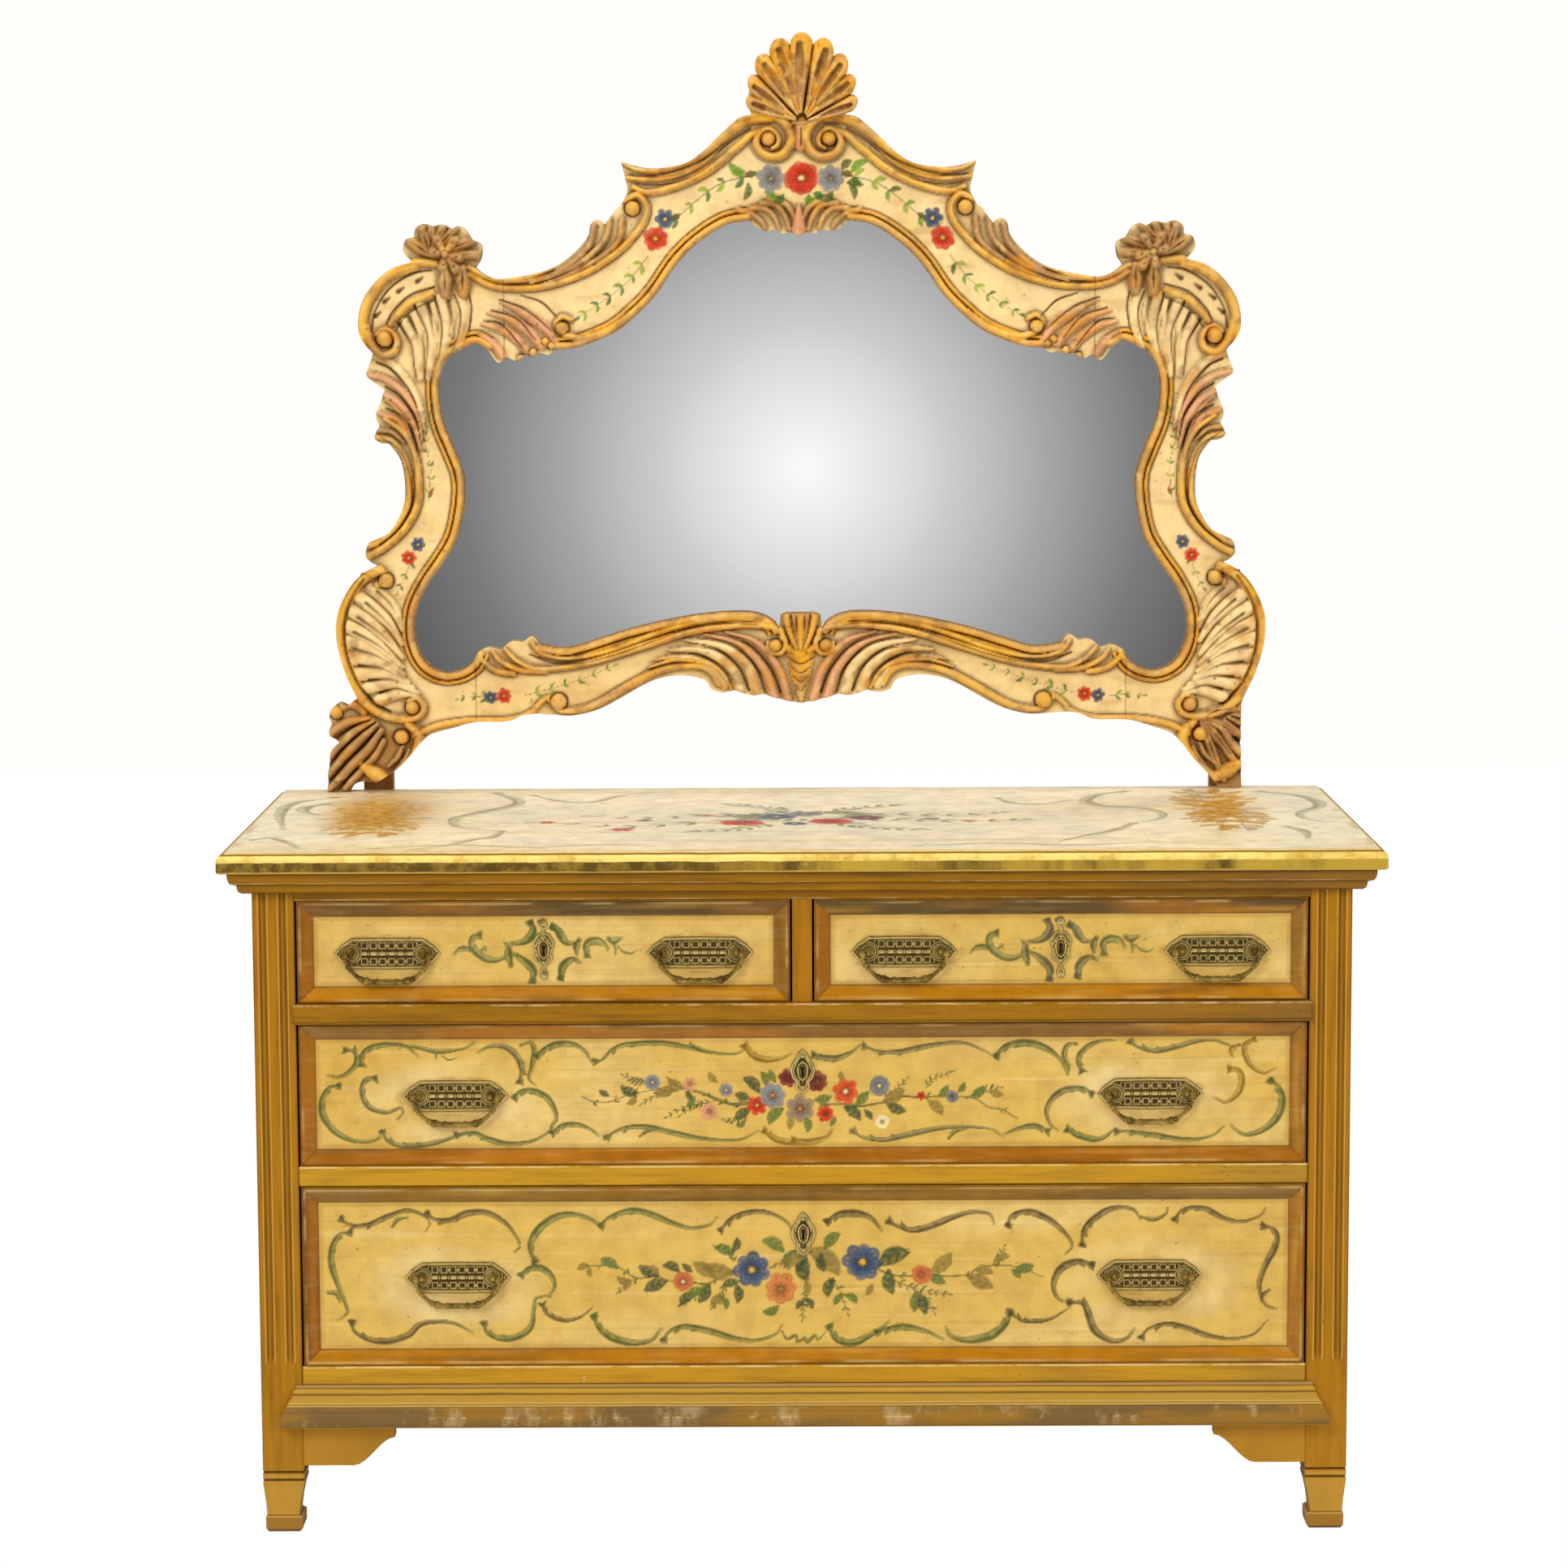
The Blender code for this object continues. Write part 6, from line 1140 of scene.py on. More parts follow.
# Painted work of the top board, in millimetres from its middle in the world's x and y.
TOP_SCROLLS = [
    ([(-554, 197), (-599, 142), (-604, 40), (-584, -106)], 5.0, -1),
    ([(-608, -188), (-588, -172), (-561, -221), (-547, -263)], 4.0, 1),
    ([(-560, 132), (-580, 105), (-578, 57), (-556, 25)], 6.0, -1),
    ([(-366, 229), (-335, 152), (-343, 97), (-383, 26), (-398, -16), (-386, -85), (-335, -120)],
     6.0, 1),
    ([(-335, -120), (-344, -173), (-362, -190), (-392, -242), (-428, -273)], 4.5, -1),
    ([(-322, 208), (-286, 150), (-249, 138), (-223, 186), (-197, 219), (-151, 241)], 3.5, 1),
    ([(-470, -262), (-380, -236), (-300, -256), (-210, -240), (-120, -262)], 3.0, 1),
    ([(-520, 238), (-470, 250), (-420, 236), (-380, 246)], 3.0, -1),
    ([(120, -258), (210, -240), (300, -256), (390, -238), (480, -262)], 3.0, -1),
    ([(390, 222), (355, 193), (335, 129), (352, 81), (391, 65), (414, 18), (408, -35), (376, -75)],
     6.0, -1),
    ([(376, -75), (350, -135), (312, -184), (280, -232)], 4.5, 1),
    ([(548, 217), (590, 177), (606, 120), (602, 65), (575, 12), (576, -41), (605, -76)], 5.5, 1),
    ([(545, -110), (560, -150), (556, -215)], 4.5, -1),
    ([(233, 161), (249, 114), (285, 105), (324, 148)], 3.5, 1),
]
TOP_STEMS = [
    ([(-60, -40), (-130, -60), (-200, -90), (-260, -60), (-300, -46)], 1.4),
    ([(-30, 0), (-110, 10), (-180, -10), (-240, 10)], 1.1),
    ([(60, -30), (120, -34), (190, -52), (250, -40)], 1.3),
    ([(40, 0), (110, 16), (170, 4), (230, 26)], 1.1), ([(-20, 30), (-40, 80), (-80, 110)], 1.0),
    ([(30, 20), (60, 70), (110, 96)], 1.0), ([(-40, -60), (-70, -110), (-120, -130)], 1.0),
    ([(40, -60), (80, -100), (130, -120)], 1.0),
]
TOP_FLOWERS = [
    ((-67, -54), 26.0, Paint.RED, 9, Paint.WINE), ((-28, -3), 25.0, Paint.BLUE, 7, Paint.YELLOW),
    ((4, 20), 24.0, Paint.GREY_BLUE, 7, Paint.YELLOW),
    ((-202, -112), 15.0, Paint.SCARLET, 6, Paint.YELLOW),
    ((-289, -47), 10.0, Paint.RED, 5, Paint.YELLOW),
    ((-179, -33), 11.0, Paint.GREY_BLUE, 6, Paint.YELLOW),
    ((33, -48), 26.0, Paint.RED, 9, Paint.WINE), ((74, -18), 20.0, Paint.WINE, 7, Paint.YELLOW),
    ((149, -27), 11.0, Paint.GREY_BLUE, 6, Paint.YELLOW),
    ((190, -48), 10.0, Paint.PINK, 6, Paint.YELLOW),
    ((-110, 8), 13.0, Paint.PINK, 7, Paint.RED), ((-8, -66), 15.0, Paint.BLUE, 7, Paint.LIGHT),
]


def smooth(points: Sequence[Point], step: float = 2.5) -> np.ndarray:
    """Run a Catmull-Rom curve through points.

    Args:
        points: Points of the curve.
        step: Distance between the points returned.

    Returns:
        Points along the curve.
    """
    given = np.array(points, dtype=float)
    if len(given) < 2:
        return given
    control = np.vstack((2 * given[0] - given[1], given, 2 * given[-1] - given[-2]))
    path = [given[0]]
    for before, start, end, after in zip(control[:-3], control[1:-2], control[2:-1], control[3:]):
        parts = max(1, round(float(np.linalg.norm(end - start)) / step))
        for t in np.arange(1, parts + 1) / parts:
            path.append(0.5 * (2 * start + (end - before) * t
                               + (2 * before - 5 * start + 4 * end - after) * t * t
                               + (3 * start - before - 3 * end + after) * t ** 3))
    return np.array(path)


def chain(runs: Iterable[Sequence[Point]]) -> np.ndarray:
    """Join smooth runs that meet at corners.

    Args:
        runs: Runs of points, each starting where the last one ends.

    Returns:
        Points of the whole path.
    """
    parts = [smooth(run) for run in runs]
    return np.vstack([parts[0]] + [part[1:] for part in parts[1:]])


def beside(path: np.ndarray, distance: float) -> np.ndarray:
    """Move a path sideways, to the left of its direction for a positive distance.

    Args:
        path: Points of the path.
        distance: Distance to move it.

    Returns:
        The moved points.
    """
    ahead = np.gradient(path, axis=0)
    ahead /= np.maximum(np.linalg.norm(ahead, axis=1), TINY)[:, None]
    return path + distance * np.column_stack((-ahead[:, 1], ahead[:, 0]))


def heading(angle: float) -> np.ndarray:
    """Return the direction at an angle, in radians."""
    return np.array((math.cos(angle), math.sin(angle)))


def left_of(way: np.ndarray) -> np.ndarray:
    """Return a direction turned a quarter to its left."""
    return np.array((-way[1], way[0]))


def unit(way: np.ndarray) -> np.ndarray:
    """Return a direction with length 1."""
    return way / max(np.linalg.norm(way), TINY)


def spread(widths: float | Sequence[float], count: int) -> np.ndarray:
    """Spread a few half widths evenly along a path.

    Args:
        widths: One half width or several.
        count: Number of points on the path.

    Returns:
        A half width for each point.
    """
    if isinstance(widths, (int, float)):
        return np.full(count, float(widths))
    return np.interp(np.linspace(0, 1, count), np.linspace(0, 1, len(widths)), widths)


@dataclass
class Trace:
    """The part of a canvas near a path."""

    window: tuple[slice, slice]
    across: np.ndarray
    along: np.ndarray
    half: np.ndarray


@dataclass
class Canvas:
    """A grid of heights and colours, in millimetres, that strokes are carved and painted on."""

    xs: np.ndarray
    zs: np.ndarray
    ground: Colour
    seed: int = 7
    x: np.ndarray = field(init=False)
    z: np.ndarray = field(init=False)
    height: np.ndarray = field(init=False)
    colour: np.ndarray = field(init=False)
    rng: np.random.Generator = field(init=False)

    def __post_init__(self) -> None:
        """Fill the grid with level ground in one colour."""
        self.x, self.z = np.meshgrid(self.xs, self.zs)
        self.height = np.zeros(self.x.shape)
        self.colour = np.tile(np.array(self.ground), (*self.x.shape, 1))
        self.rng = np.random.default_rng(self.seed)

    def fog(self, reach_x: float, reach_z: float) -> np.ndarray:
        """Return smooth random values over the grid.

        Args:
            reach_x: Size of the blotches across, in grid cells.
            reach_z: Size of the blotches up, in grid cells.

        Returns:
            Values with mean 0 and spread 1.
        """
        values = blurred(self.rng.standard_normal(self.x.shape), reach_x, reach_z)
        return (values - values.mean()) / values.std()

    def trace(self, path: np.ndarray, widths: float | Sequence[float],
              margin: float = 0.0) -> Trace:
        """Measure the grid near a path.

        Args:
            path: Points of the path.
            widths: Half widths along it.
            margin: Extra reach, in millimetres.

        Returns:
            Distance over half width, share along the path and half width at each point near it.
        """
        path = np.asarray(path, dtype=float)
        halves = spread(widths, len(path))
        reach = halves.max() * 1.1 + margin + 0.5
        low = path.min(axis=0) - reach
        high = path.max(axis=0) + reach
        i0, i1 = np.searchsorted(self.xs, (low[0], high[0]))
        j0, j1 = np.searchsorted(self.zs, (low[1], high[1]))
        window = (slice(j0, j1), slice(i0, i1))
        size = (max(0, j1 - j0), max(0, i1 - i0))
        best = np.full(size, FAR)
        half = np.ones(size)
        along = np.zeros(size)
        steps = np.linalg.norm(np.diff(path, axis=0), axis=1)
        walked = np.concatenate(([0.0], np.cumsum(steps)))
        total = max(walked[-1], 1e-9)
        for k in range(len(path) - 1):
            a, b = path[k], path[k + 1]
            c0, c1 = np.searchsorted(self.xs,
                                     (min(a[0], b[0]) - reach, max(a[0], b[0]) + reach)) - i0
            r0, r1 = np.searchsorted(self.zs,
                                     (min(a[1], b[1]) - reach, max(a[1], b[1]) + reach)) - j0
            c0, r0 = max(c0, 0), max(r0, 0)
            if c1 <= c0 or r1 <= r0:
                continue
            part = (slice(r0, r1), slice(c0, c1))
            away_x = self.x[window][part] - a[0]
            away_z = self.z[window][part] - a[1]
            run = b - a
            t = np.clip((away_x * run[0] + away_z * run[1]) / max(run @ run, 1e-9), 0, 1)
            away = np.hypot(away_x - t * run[0], away_z - t * run[1])
            near = away < best[part]
            best[part][near] = away[near]
            half[part][near] = (halves[k] + (halves[k + 1] - halves[k]) * t)[near]
            along[part][near] = ((walked[k] + steps[k] * t) / total)[near]
        return Trace(window, best / half, along, half)

    def tint(self, window: tuple[slice, slice], share: np.ndarray, colour: Colour) -> None:
        """Lay colour over part of the grid.

        Args:
            window: Part of the grid.
            share: Cover at each point, 0 to 1.
            colour: Colour to lay.
        """
        cover = np.clip(share, 0, 1)[..., None]
        self.colour[window] = self.colour[window] * (1 - cover) + np.array(colour) * cover

    def mottle(self, *rows: tuple) -> None:
        """Lay clouds of colour over the whole grid.

        Args:
            rows: Cover, reach across and up in cells, low end, high end and colour of each.
        """
        for cover, across, up, low, high, colour in rows:
            self.tint(EVERYWHERE, cover * ramp(self.fog(across, up), low, high), colour)

    def rib(self, path: np.ndarray, widths: float | Sequence[float], height: float,
            colour: Colour | None = None, plump: float = 0.5) -> None:
        """Raise a rounded rib along a path.

        Args:
            path: Points of the path.
            widths: Half widths along it.
            height: Height above the board.
            colour: Colour of the rib, if it has its own.
            plump: Exponent of the cross-section: 0.5 is half round.
        """
        near = self.trace(path, widths)
        inside = np.clip(1 - near.across ** 2, 0, 1)
        raised = height * inside ** plump
        lower = self.height[near.window]
        wins = (raised > lower) & (inside > 0)
        self.height[near.window] = np.where(wins, raised, lower)
        if colour is not None:
            self.tint(near.window, np.where(wins, ramp(near.across, 1.05, 0.85), 0.0), colour)

    def groove(self, path: np.ndarray, widths: float | Sequence[float], depth: float,
               stain: float = 0.8) -> None:
        """Cut a groove along a path and stain it.

        Args:
            path: Points of the path.
            widths: Half widths along it.
            depth: Depth below what is there.
            stain: Strength of the dark glaze in it.
        """
        near = self.trace(path, widths)
        inside = np.clip(1 - near.across ** 2, 0, 1)
        fade = np.clip(near.half / max(spread(widths, 9).max(), TINY), 0.15, 1.0)
        self.height[near.window] -= depth * inside * fade
        self.tint(near.window, stain * inside * fade, Paint.BROWN.value)

    def button(self, centre: Point, radius: float, height: float, colour: Colour) -> None:
        """Raise a round button with a groove about it.

        Args:
            centre: Its middle.
            radius: Its radius.
            height: Its height above the board.
            colour: Its colour.
        """
        spot = np.array([centre, (centre[0] + DOT, centre[1])])
        near = self.trace(spot, radius * 1.22)
        ring = np.clip(1 - ((near.across * 1.22 - 1.0) / 0.2) ** 2, 0, 1)
        self.height[near.window] -= 2.2 * ring
        self.tint(near.window, 0.75 * ring, Paint.BROWN.value)
        self.rib(spot, radius, height, colour, 0.42)

    def stroke(self, path: np.ndarray, widths: float | Sequence[float], colour: Colour,
               cover: float = 0.95, soft: float = 0.35, dry: float = 0.25) -> None:
        """Paint a brush stroke along a path.

        Args:
            path: Points of the path.
            widths: Half widths along it.
            colour: Colour of the paint.
            cover: Strongest cover.
            soft: Share of the half width over which the edge fades.
            dry: How much cover varies along the stroke.
        """
        near = self.trace(path, widths, 0.6)
        edge = np.maximum(soft, 0.7 / np.maximum(near.half, 0.2))
        share = ramp(near.across, 1 + edge * 0.5, 1 - edge * 0.5)
        wobble = 1 - dry * (0.5 + 0.5 * np.sin(near.along * 23.0 + near.across * 4.0
                                               + self.rng.uniform(0, 6)))
        self.tint(near.window, cover * share * wobble, colour)

    def antique(self, reach: float, dirt: float, gloss: float) -> None:
        """Darken hollows with gathered glaze and lighten crests, partly as rubbed glaze and partly
        as painted highlight.

        Args:
            reach: Reach of the blur in grid cells.
            dirt: Strength in the hollows.
            gloss: Strength on the crests of the rubbed glaze and painted highlight.
        """
        for cells, share in ((reach, 1.0), (reach * 0.35, 0.8)):
            rise = self.height - blurred(self.height, cells, cells)
            self.tint(EVERYWHERE, dirt * share * ramp(-rise, 0.25, 2.6), Paint.BROWN.value)
            # painted highlight on the crests, together with rubbed glaze
            self.tint(EVERYWHERE, gloss * share * ramp(rise, 0.5, 3.0), Paint.LIGHT.value)


def ramp(value: np.ndarray, low: float, high: float) -> np.ndarray:
    """Ease values from 0 at low to 1 at high.

    Args:
        value: Values.
        low: Value that gives 0.
        high: Value that gives 1.

    Returns:
        The eased values.
    """
    t = np.clip((value - low) / (np.asarray(high) - low), 0, 1)
    return t * t * (3 - 2 * t)


def blurred(values: np.ndarray, reach_x: float, reach_z: float) -> np.ndarray:
    """Blur a grid with a Gaussian.

    Args:
        values: Grid of values.
        reach_x: Spread across, in cells.
        reach_z: Spread up, in cells.

    Returns:
        The blurred grid.
    """
    rows, columns = values.shape
    up = np.exp(-2 * (np.pi * np.fft.fftfreq(rows) * reach_z) ** 2)
    across = np.exp(-2 * (np.pi * np.fft.rfftfreq(columns) * reach_x) ** 2)
    return np.fft.irfft2(np.fft.rfft2(values) * up[:, None] * across[None, :], s=values.shape)


def filled(canvas: Canvas, loop: np.ndarray) -> np.ndarray:
    """Return which cells of a canvas have their middle inside a closed loop.

    Args:
        canvas: Canvas.
        loop: Points of the loop.

    Returns:
        A mask with one row and column fewer than the canvas.
    """
    across = (canvas.xs[:-1] + canvas.xs[1:]) / 2
    result = np.zeros((len(canvas.zs) - 1, len(across)), dtype=bool)
    start, end = loop, np.roll(loop, -1, axis=0)
    for row, z in enumerate((canvas.zs[:-1] + canvas.zs[1:]) / 2):
        hit = (start[:, 1] > z) != (end[:, 1] > z)
        if hit.any():
            a, b = start[hit], end[hit]
            crossings = np.sort(a[:, 0] + (z - a[:, 1]) * (b[:, 0] - a[:, 0]) / (b[:, 1] - a[:, 1]))
            result[row] = np.searchsorted(crossings, across) % 2 == 1
    return result


def nearest(points: np.ndarray, loop: np.ndarray) -> tuple[np.ndarray, np.ndarray]:
    """Return the nearest places on a closed loop and their distances.

    Args:
        points: Points to look from.
        loop: Points of the loop.

    Returns:
        Places and distances.
    """
    best = np.full(len(points), FAR)
    place = points.copy()
    for a, b in zip(loop, np.roll(loop, -1, axis=0)):
        run = b - a
        t = np.clip((points - a) @ run / max(run @ run, 1e-9), 0, 1)
        spot = a + t[:, None] * run
        away = np.linalg.norm(points - spot, axis=1)
        near = away < best
        best[near] = away[near]
        place[near] = spot[near]
    return place, best


def make_object(name: str, vertices: np.ndarray, faces: Sequence[Sequence[int]] | np.ndarray,
                finish: bpy.types.Material, colours: np.ndarray | None = None,
                smooth_angle: float | None = CAST_ANGLE) -> bpy.types.Object:
    """Make a mesh object from vertices and faces.

    Args:
        name: Name of the object.
        vertices: Places in metres.
        faces: Vertex numbers of each face.
        finish: Material.
        colours: Linear colour at each vertex, where the finish reads it.
        smooth_angle: Largest angle that is shaded smooth, or None for flat faces.

    Returns:
        The object.
    """
    mesh = bpy.data.meshes.new(name)
    mesh.from_pydata(np.asarray(vertices).tolist(), [],
                     [tuple(int(i) for i in face) for face in faces])
    mesh.materials.append(finish)
    if colours is not None:
        layer = mesh.color_attributes.new("paint", "FLOAT_COLOR", "POINT")
        full = np.ones((len(mesh.vertices), 4), dtype=np.float32)
        full[:, :3] = colours
        layer.data.foreach_set("color", full.ravel())
    if smooth_angle is not None:
        mesh.shade_smooth()
        mesh.set_sharp_from_angle(angle=smooth_angle)
    item = bpy.data.objects.new(name, mesh)
    bpy.context.scene.collection.objects.link(item)
    return item


@dataclass
class Sheet:
    """Faces over part of a canvas, with its rim snapped to outlines."""

    flat: np.ndarray
    height: np.ndarray
    colour: np.ndarray
    quads: np.ndarray
    rim: list[tuple[int, int]]


def sheet_of(canvas: Canvas, cells: np.ndarray, loops: Sequence[np.ndarray]) -> Sheet:
    """Return the faces over some cells of a canvas.

    Args:
        canvas: Canvas.
        cells: Mask of the cells to keep.
        loops: Outlines that the rim is snapped to where they are close.

    Returns:
        The sheet, with its rim's edges in order of direction.
    """
    columns = len(canvas.xs)
    rows_at, columns_at = np.nonzero(cells)
    corner = rows_at * columns + columns_at
    quads = np.column_stack((corner, corner + 1, corner + columns + 1, corner + columns))
    used, packed = np.unique(quads, return_inverse=True)
    packed = packed.reshape(quads.shape)
    flat = np.column_stack((canvas.x.ravel()[used], canvas.z.ravel()[used]))
    edges = np.vstack([packed[:, [i, (i + 1) % 4]] for i in range(4)])
    keys = {(int(a), int(b)) for a, b in edges}
    rim = [(a, b) for a, b in keys if (b, a) not in keys]
    on_rim = np.array(sorted({i for edge in rim for i in edge}))
    step = float(np.median(np.diff(canvas.xs)))
    places = np.full((len(on_rim), 2), FAR)
    gaps = np.full(len(on_rim), FAR)
    for loop in loops:
        spot, away = nearest(flat[on_rim], loop)
        near = away < gaps
        places[near] = spot[near]
        gaps[near] = away[near]
    close = gaps < 1.1 * step
    flat[on_rim[close]] = places[close]
    return Sheet(flat, canvas.height.ravel()[used], canvas.colour.reshape(-1, 3)[used], packed, rim)


def loops_of(edges: Iterable[tuple[int, int]]) -> list[list[int]]:
    """Follow directed edges into closed loops, the longest first.

    Args:
        edges: Directed edges.

    Returns:
        Vertex numbers of each loop.
    """
    ahead: dict[int, list[int]] = {}
    for a, b in sorted(edges):
        ahead.setdefault(a, []).append(b)
    loops = []
    while ahead:
        start = next(iter(ahead))
        loop, here = [start], ahead[start].pop()
        while here != start:
            loop.append(here)
            here = ahead[here].pop()
        ahead = {a: bs for a, bs in ahead.items() if bs}
        loops.append(loop)
    return sorted(loops, key=len, reverse=True)


@dataclass
class Brush:
    """Paints leaves, flowers and sprays on a canvas."""

    canvas: Canvas
    shades: tuple[Colour, ...] = (Paint.GREEN.value, Paint.DEEP_GREEN.value, Paint.OLIVE.value)

    def shade(self, colour: Colour, change: float) -> Colour:
        """Lighten or darken a colour.

        Args:
            colour: Colour.
            change: Positive to lighten, negative to darken.

        Returns:
            The new colour.
        """
        bright = np.minimum(1.9 * np.array(colour) + 0.06, 1.0)
        target = bright if change > 0 else np.array(Paint.UMBER.value)
        return tuple(np.array(colour) * (1 - abs(change)) + target * abs(change))

    def leaf(self, base: Point, tip: Point, width: float, colour: Colour | None = None,
             bend: float = 0.15) -> None:
        """Paint a leaf with a lit side and a dark vein.

        Args:
            base: Where the leaf starts.
            tip: Its tip.
            width: Half width at its widest.
            colour: Its colour, or None for the next green.
            bend: Sideways bend as a share of its length.
        """
        if colour is None:
            colour = self.shades[int(self.canvas.rng.integers(len(self.shades)))]
        a, b = np.array(base, float), np.array(tip, float)
        side = left_of(b - a) * bend
        path = smooth([tuple(a), tuple((a + b) / 2 + side), tuple(b)], 1.5)
        self.canvas.stroke(path, (0.25 * width, width, 0.9 * width, 0.15), colour, 0.92)
        self.canvas.stroke(beside(path, 0.4 * width), (0.1, 0.42 * width, 0.1),
                           self.shade(colour, 0.32), 0.7)
        self.canvas.stroke(path[:-1] if len(path) > 2 else path, (0.3, 0.2),
                           self.shade(colour, -0.45), 0.6)

    def stem(self, points: Sequence[Point], width: float,
             colour: Colour | None = None) -> np.ndarray:
        """Paint a stem.

        Args:
            points: Points of the stem.
            width: Half width at its start.
            colour: Its colour, or None for dark green.

        Returns:
            The stem's path.
        """
        path = smooth(points, 2.0)
        self.canvas.stroke(path, (width, 0.45 * width), colour or Paint.DEEP_GREEN.value, 0.85)
        return path

    def spray(self, points: Sequence[Point], width: float, pairs: int, reach: float,
              plump: float = 0.3, colour: Colour | None = None) -> None:
        """Paint a stem with leaves to both sides.

        Args:
            points: Points of the stem.
            width: Half width of the stem.
            pairs: Number of leaves on each side.
            reach: Length of the leaves.
            plump: Width of a leaf as a share of its length.
            colour: Colour of the leaves, or None for mixed greens.
        """
        path = self.stem(points, width, colour and self.shade(colour, -0.3))
        for i in range(pairs):
            place = int((i + 0.7) / pairs * (len(path) - 2))
            ahead = unit(path[place + 1] - path[place])
            for turn in SIDES:
                length = reach * self.canvas.rng.uniform(0.65, 1.1) * (1 - 0.35 * i / max(pairs, 1))
                angle = turn * self.canvas.rng.uniform(0.5, 0.95)
                way = np.array((ahead[0] * math.cos(angle) - ahead[1] * math.sin(angle),
                                ahead[0] * math.sin(angle) + ahead[1] * math.cos(angle)))
                start = path[place] + ahead * turn * width
                self.leaf(tuple(start), tuple(start + way * length), plump * length * 0.5, colour,
                          0.12 * turn)
        tip = unit(path[-1] - path[-2])
        self.leaf(tuple(path[-1]), tuple(path[-1] + tip * reach * 0.7), plump * reach * 0.35,
                  colour)

    def flower(self, centre: Point, radius: float, colour: Colour, petals: int = 7,
               heart: Colour | None = None) -> None:
        """Paint an open flower with shaded petals and a dotted heart.

        Args:
            centre: Its middle.
            radius: Its radius.
            colour: Colour of the petals.
            petals: Number of petals.
            heart: Colour of the heart, or None for yellow.
        """
        rng = self.canvas.rng
        middle = np.array(centre, float)
        turn = rng.uniform(0, 6.28)
        for ring, (reach, share) in enumerate(((0.66, 0.36), (0.42, 0.30))):
            for i in range(petals):
                angle = turn + ring * 0.45 + 2 * math.pi * i / petals
                way = heading(angle) * rng.uniform(0.86, 1.12)
                tone = self.shade(colour, rng.uniform(-0.16, 0.16) - 0.05 * ring)
                self.canvas.stroke(np.array([middle + way * radius * 0.28,
                                             middle + way * radius * reach]),
                                   (0.16 * radius, share * radius), tone, 0.95, 0.3)
                self.canvas.stroke(np.array([middle + way * radius * 0.25,
                                             middle + way * radius * reach * 1.15]),
                                   (0.10 * radius, 0.05 * radius), self.shade(colour, -0.5), 0.8)
                edge = middle + way * radius * (reach + 0.14)
                across = left_of(way) * radius * 0.2
                self.canvas.stroke(np.array([edge - across, edge + way * radius * 0.06,
                                             edge + across]), 0.075 * radius,
                                   self.shade(colour, 0.42), 0.45)
        self.canvas.stroke(np.array([middle, middle + DOT]), 0.21 * radius,
                           heart or Paint.YELLOW.value, 0.95)
        for i in range(7):
            angle = 2 * math.pi * i / 7
            dot = middle + 0.2 * radius * heading(angle)
            self.canvas.stroke(np.array([dot, dot + DOT]), 0.06 * radius + 0.2, Paint.BROWN.value,
                               0.8)

    def scroll(self, points: Sequence[Point], width: float, fringe: int, tone: Tone) -> None:
        """Paint a scroll stroke with a curled head and short acanthus fingers beside it.

        Args:
            points: Points of the scroll from its head.
            width: Half width at its widest.
            fringe: Side of the fingers: 1 for left of its direction, -1 for right, 0 for none.
            tone: Shades of the scroll.
        """
        dark, body, light = tone.value
        path = smooth(points, 1.6)
        width *= 1.6
        profile = np.array((0.2, 0.75, 1.0, 0.95, 0.7, 0.4, 0.15)) * width
        inner = fringe or 1
        if fringe and len(path) > 6:
            for share, reach, turn in ((0.02, 7.0, -1), (0.03, 9.0, 1), (0.16, 8.5, 1),
                                       (0.30, 7.5, 1), (0.44, 6.0, 1)):
                place = int(share * (len(path) - 2))
                ahead = unit(path[place + 1] - path[place])
                out = left_of(ahead) * fringe * turn
                reach *= self.canvas.rng.uniform(0.85, 1.1) * min(1.0, 0.45 + len(path) / 60)
                lobe = smooth([path[place] + ahead * reach * 0.45,
                               path[place] + (out * 0.26 - ahead * 0.1) * reach,
                               path[place] + (out * 0.62 - ahead * 0.42) * reach], 1.0)
                self.canvas.stroke(lobe, (0.3 * width, 0.7 * width, 0.6 * width, 0.15 * width),
                                   body, 0.9)
                self.canvas.stroke(beside(lobe, 0.3 * width * fringe * turn),
                                   (0.1, 0.3 * width, 0.1), dark, 0.6)
        self.canvas.stroke(path, profile, body, 0.88, 0.3, 0.3)
        self.canvas.stroke(beside(path, -0.45 * width * inner), 0.34 * profile, dark, 0.75)
        self.canvas.stroke(beside(path, 0.35 * width * inner), 0.28 * profile, light, 0.6)
        self.canvas.stroke(np.array([path[0], path[0] + DOT]), 0.7 * width, dark, 0.65)

    def bouquet(self, stems: Iterable, leaves: Iterable, flowers: Iterable) -> None:
        """Paint stems, then leaves, then flowers.

        Args:
            stems: Points and half width of each stem.
            leaves: Base and tip of each leaf.
            flowers: Place, radius, colour, petals and heart of each flower.
        """
        for points, width in stems:
            self.spray(points, width, 5, 7.5, 0.42)
        for base, tip in leaves:
            length = math.dist(base, tip)
            self.leaf(base, tip, 0.25 * length + 0.5, None, self.canvas.rng.uniform(-0.18, 0.18))
        for place, radius, colour, petals, heart in flowers:
            self.flower(place, radius, colour.value, petals, heart.value)

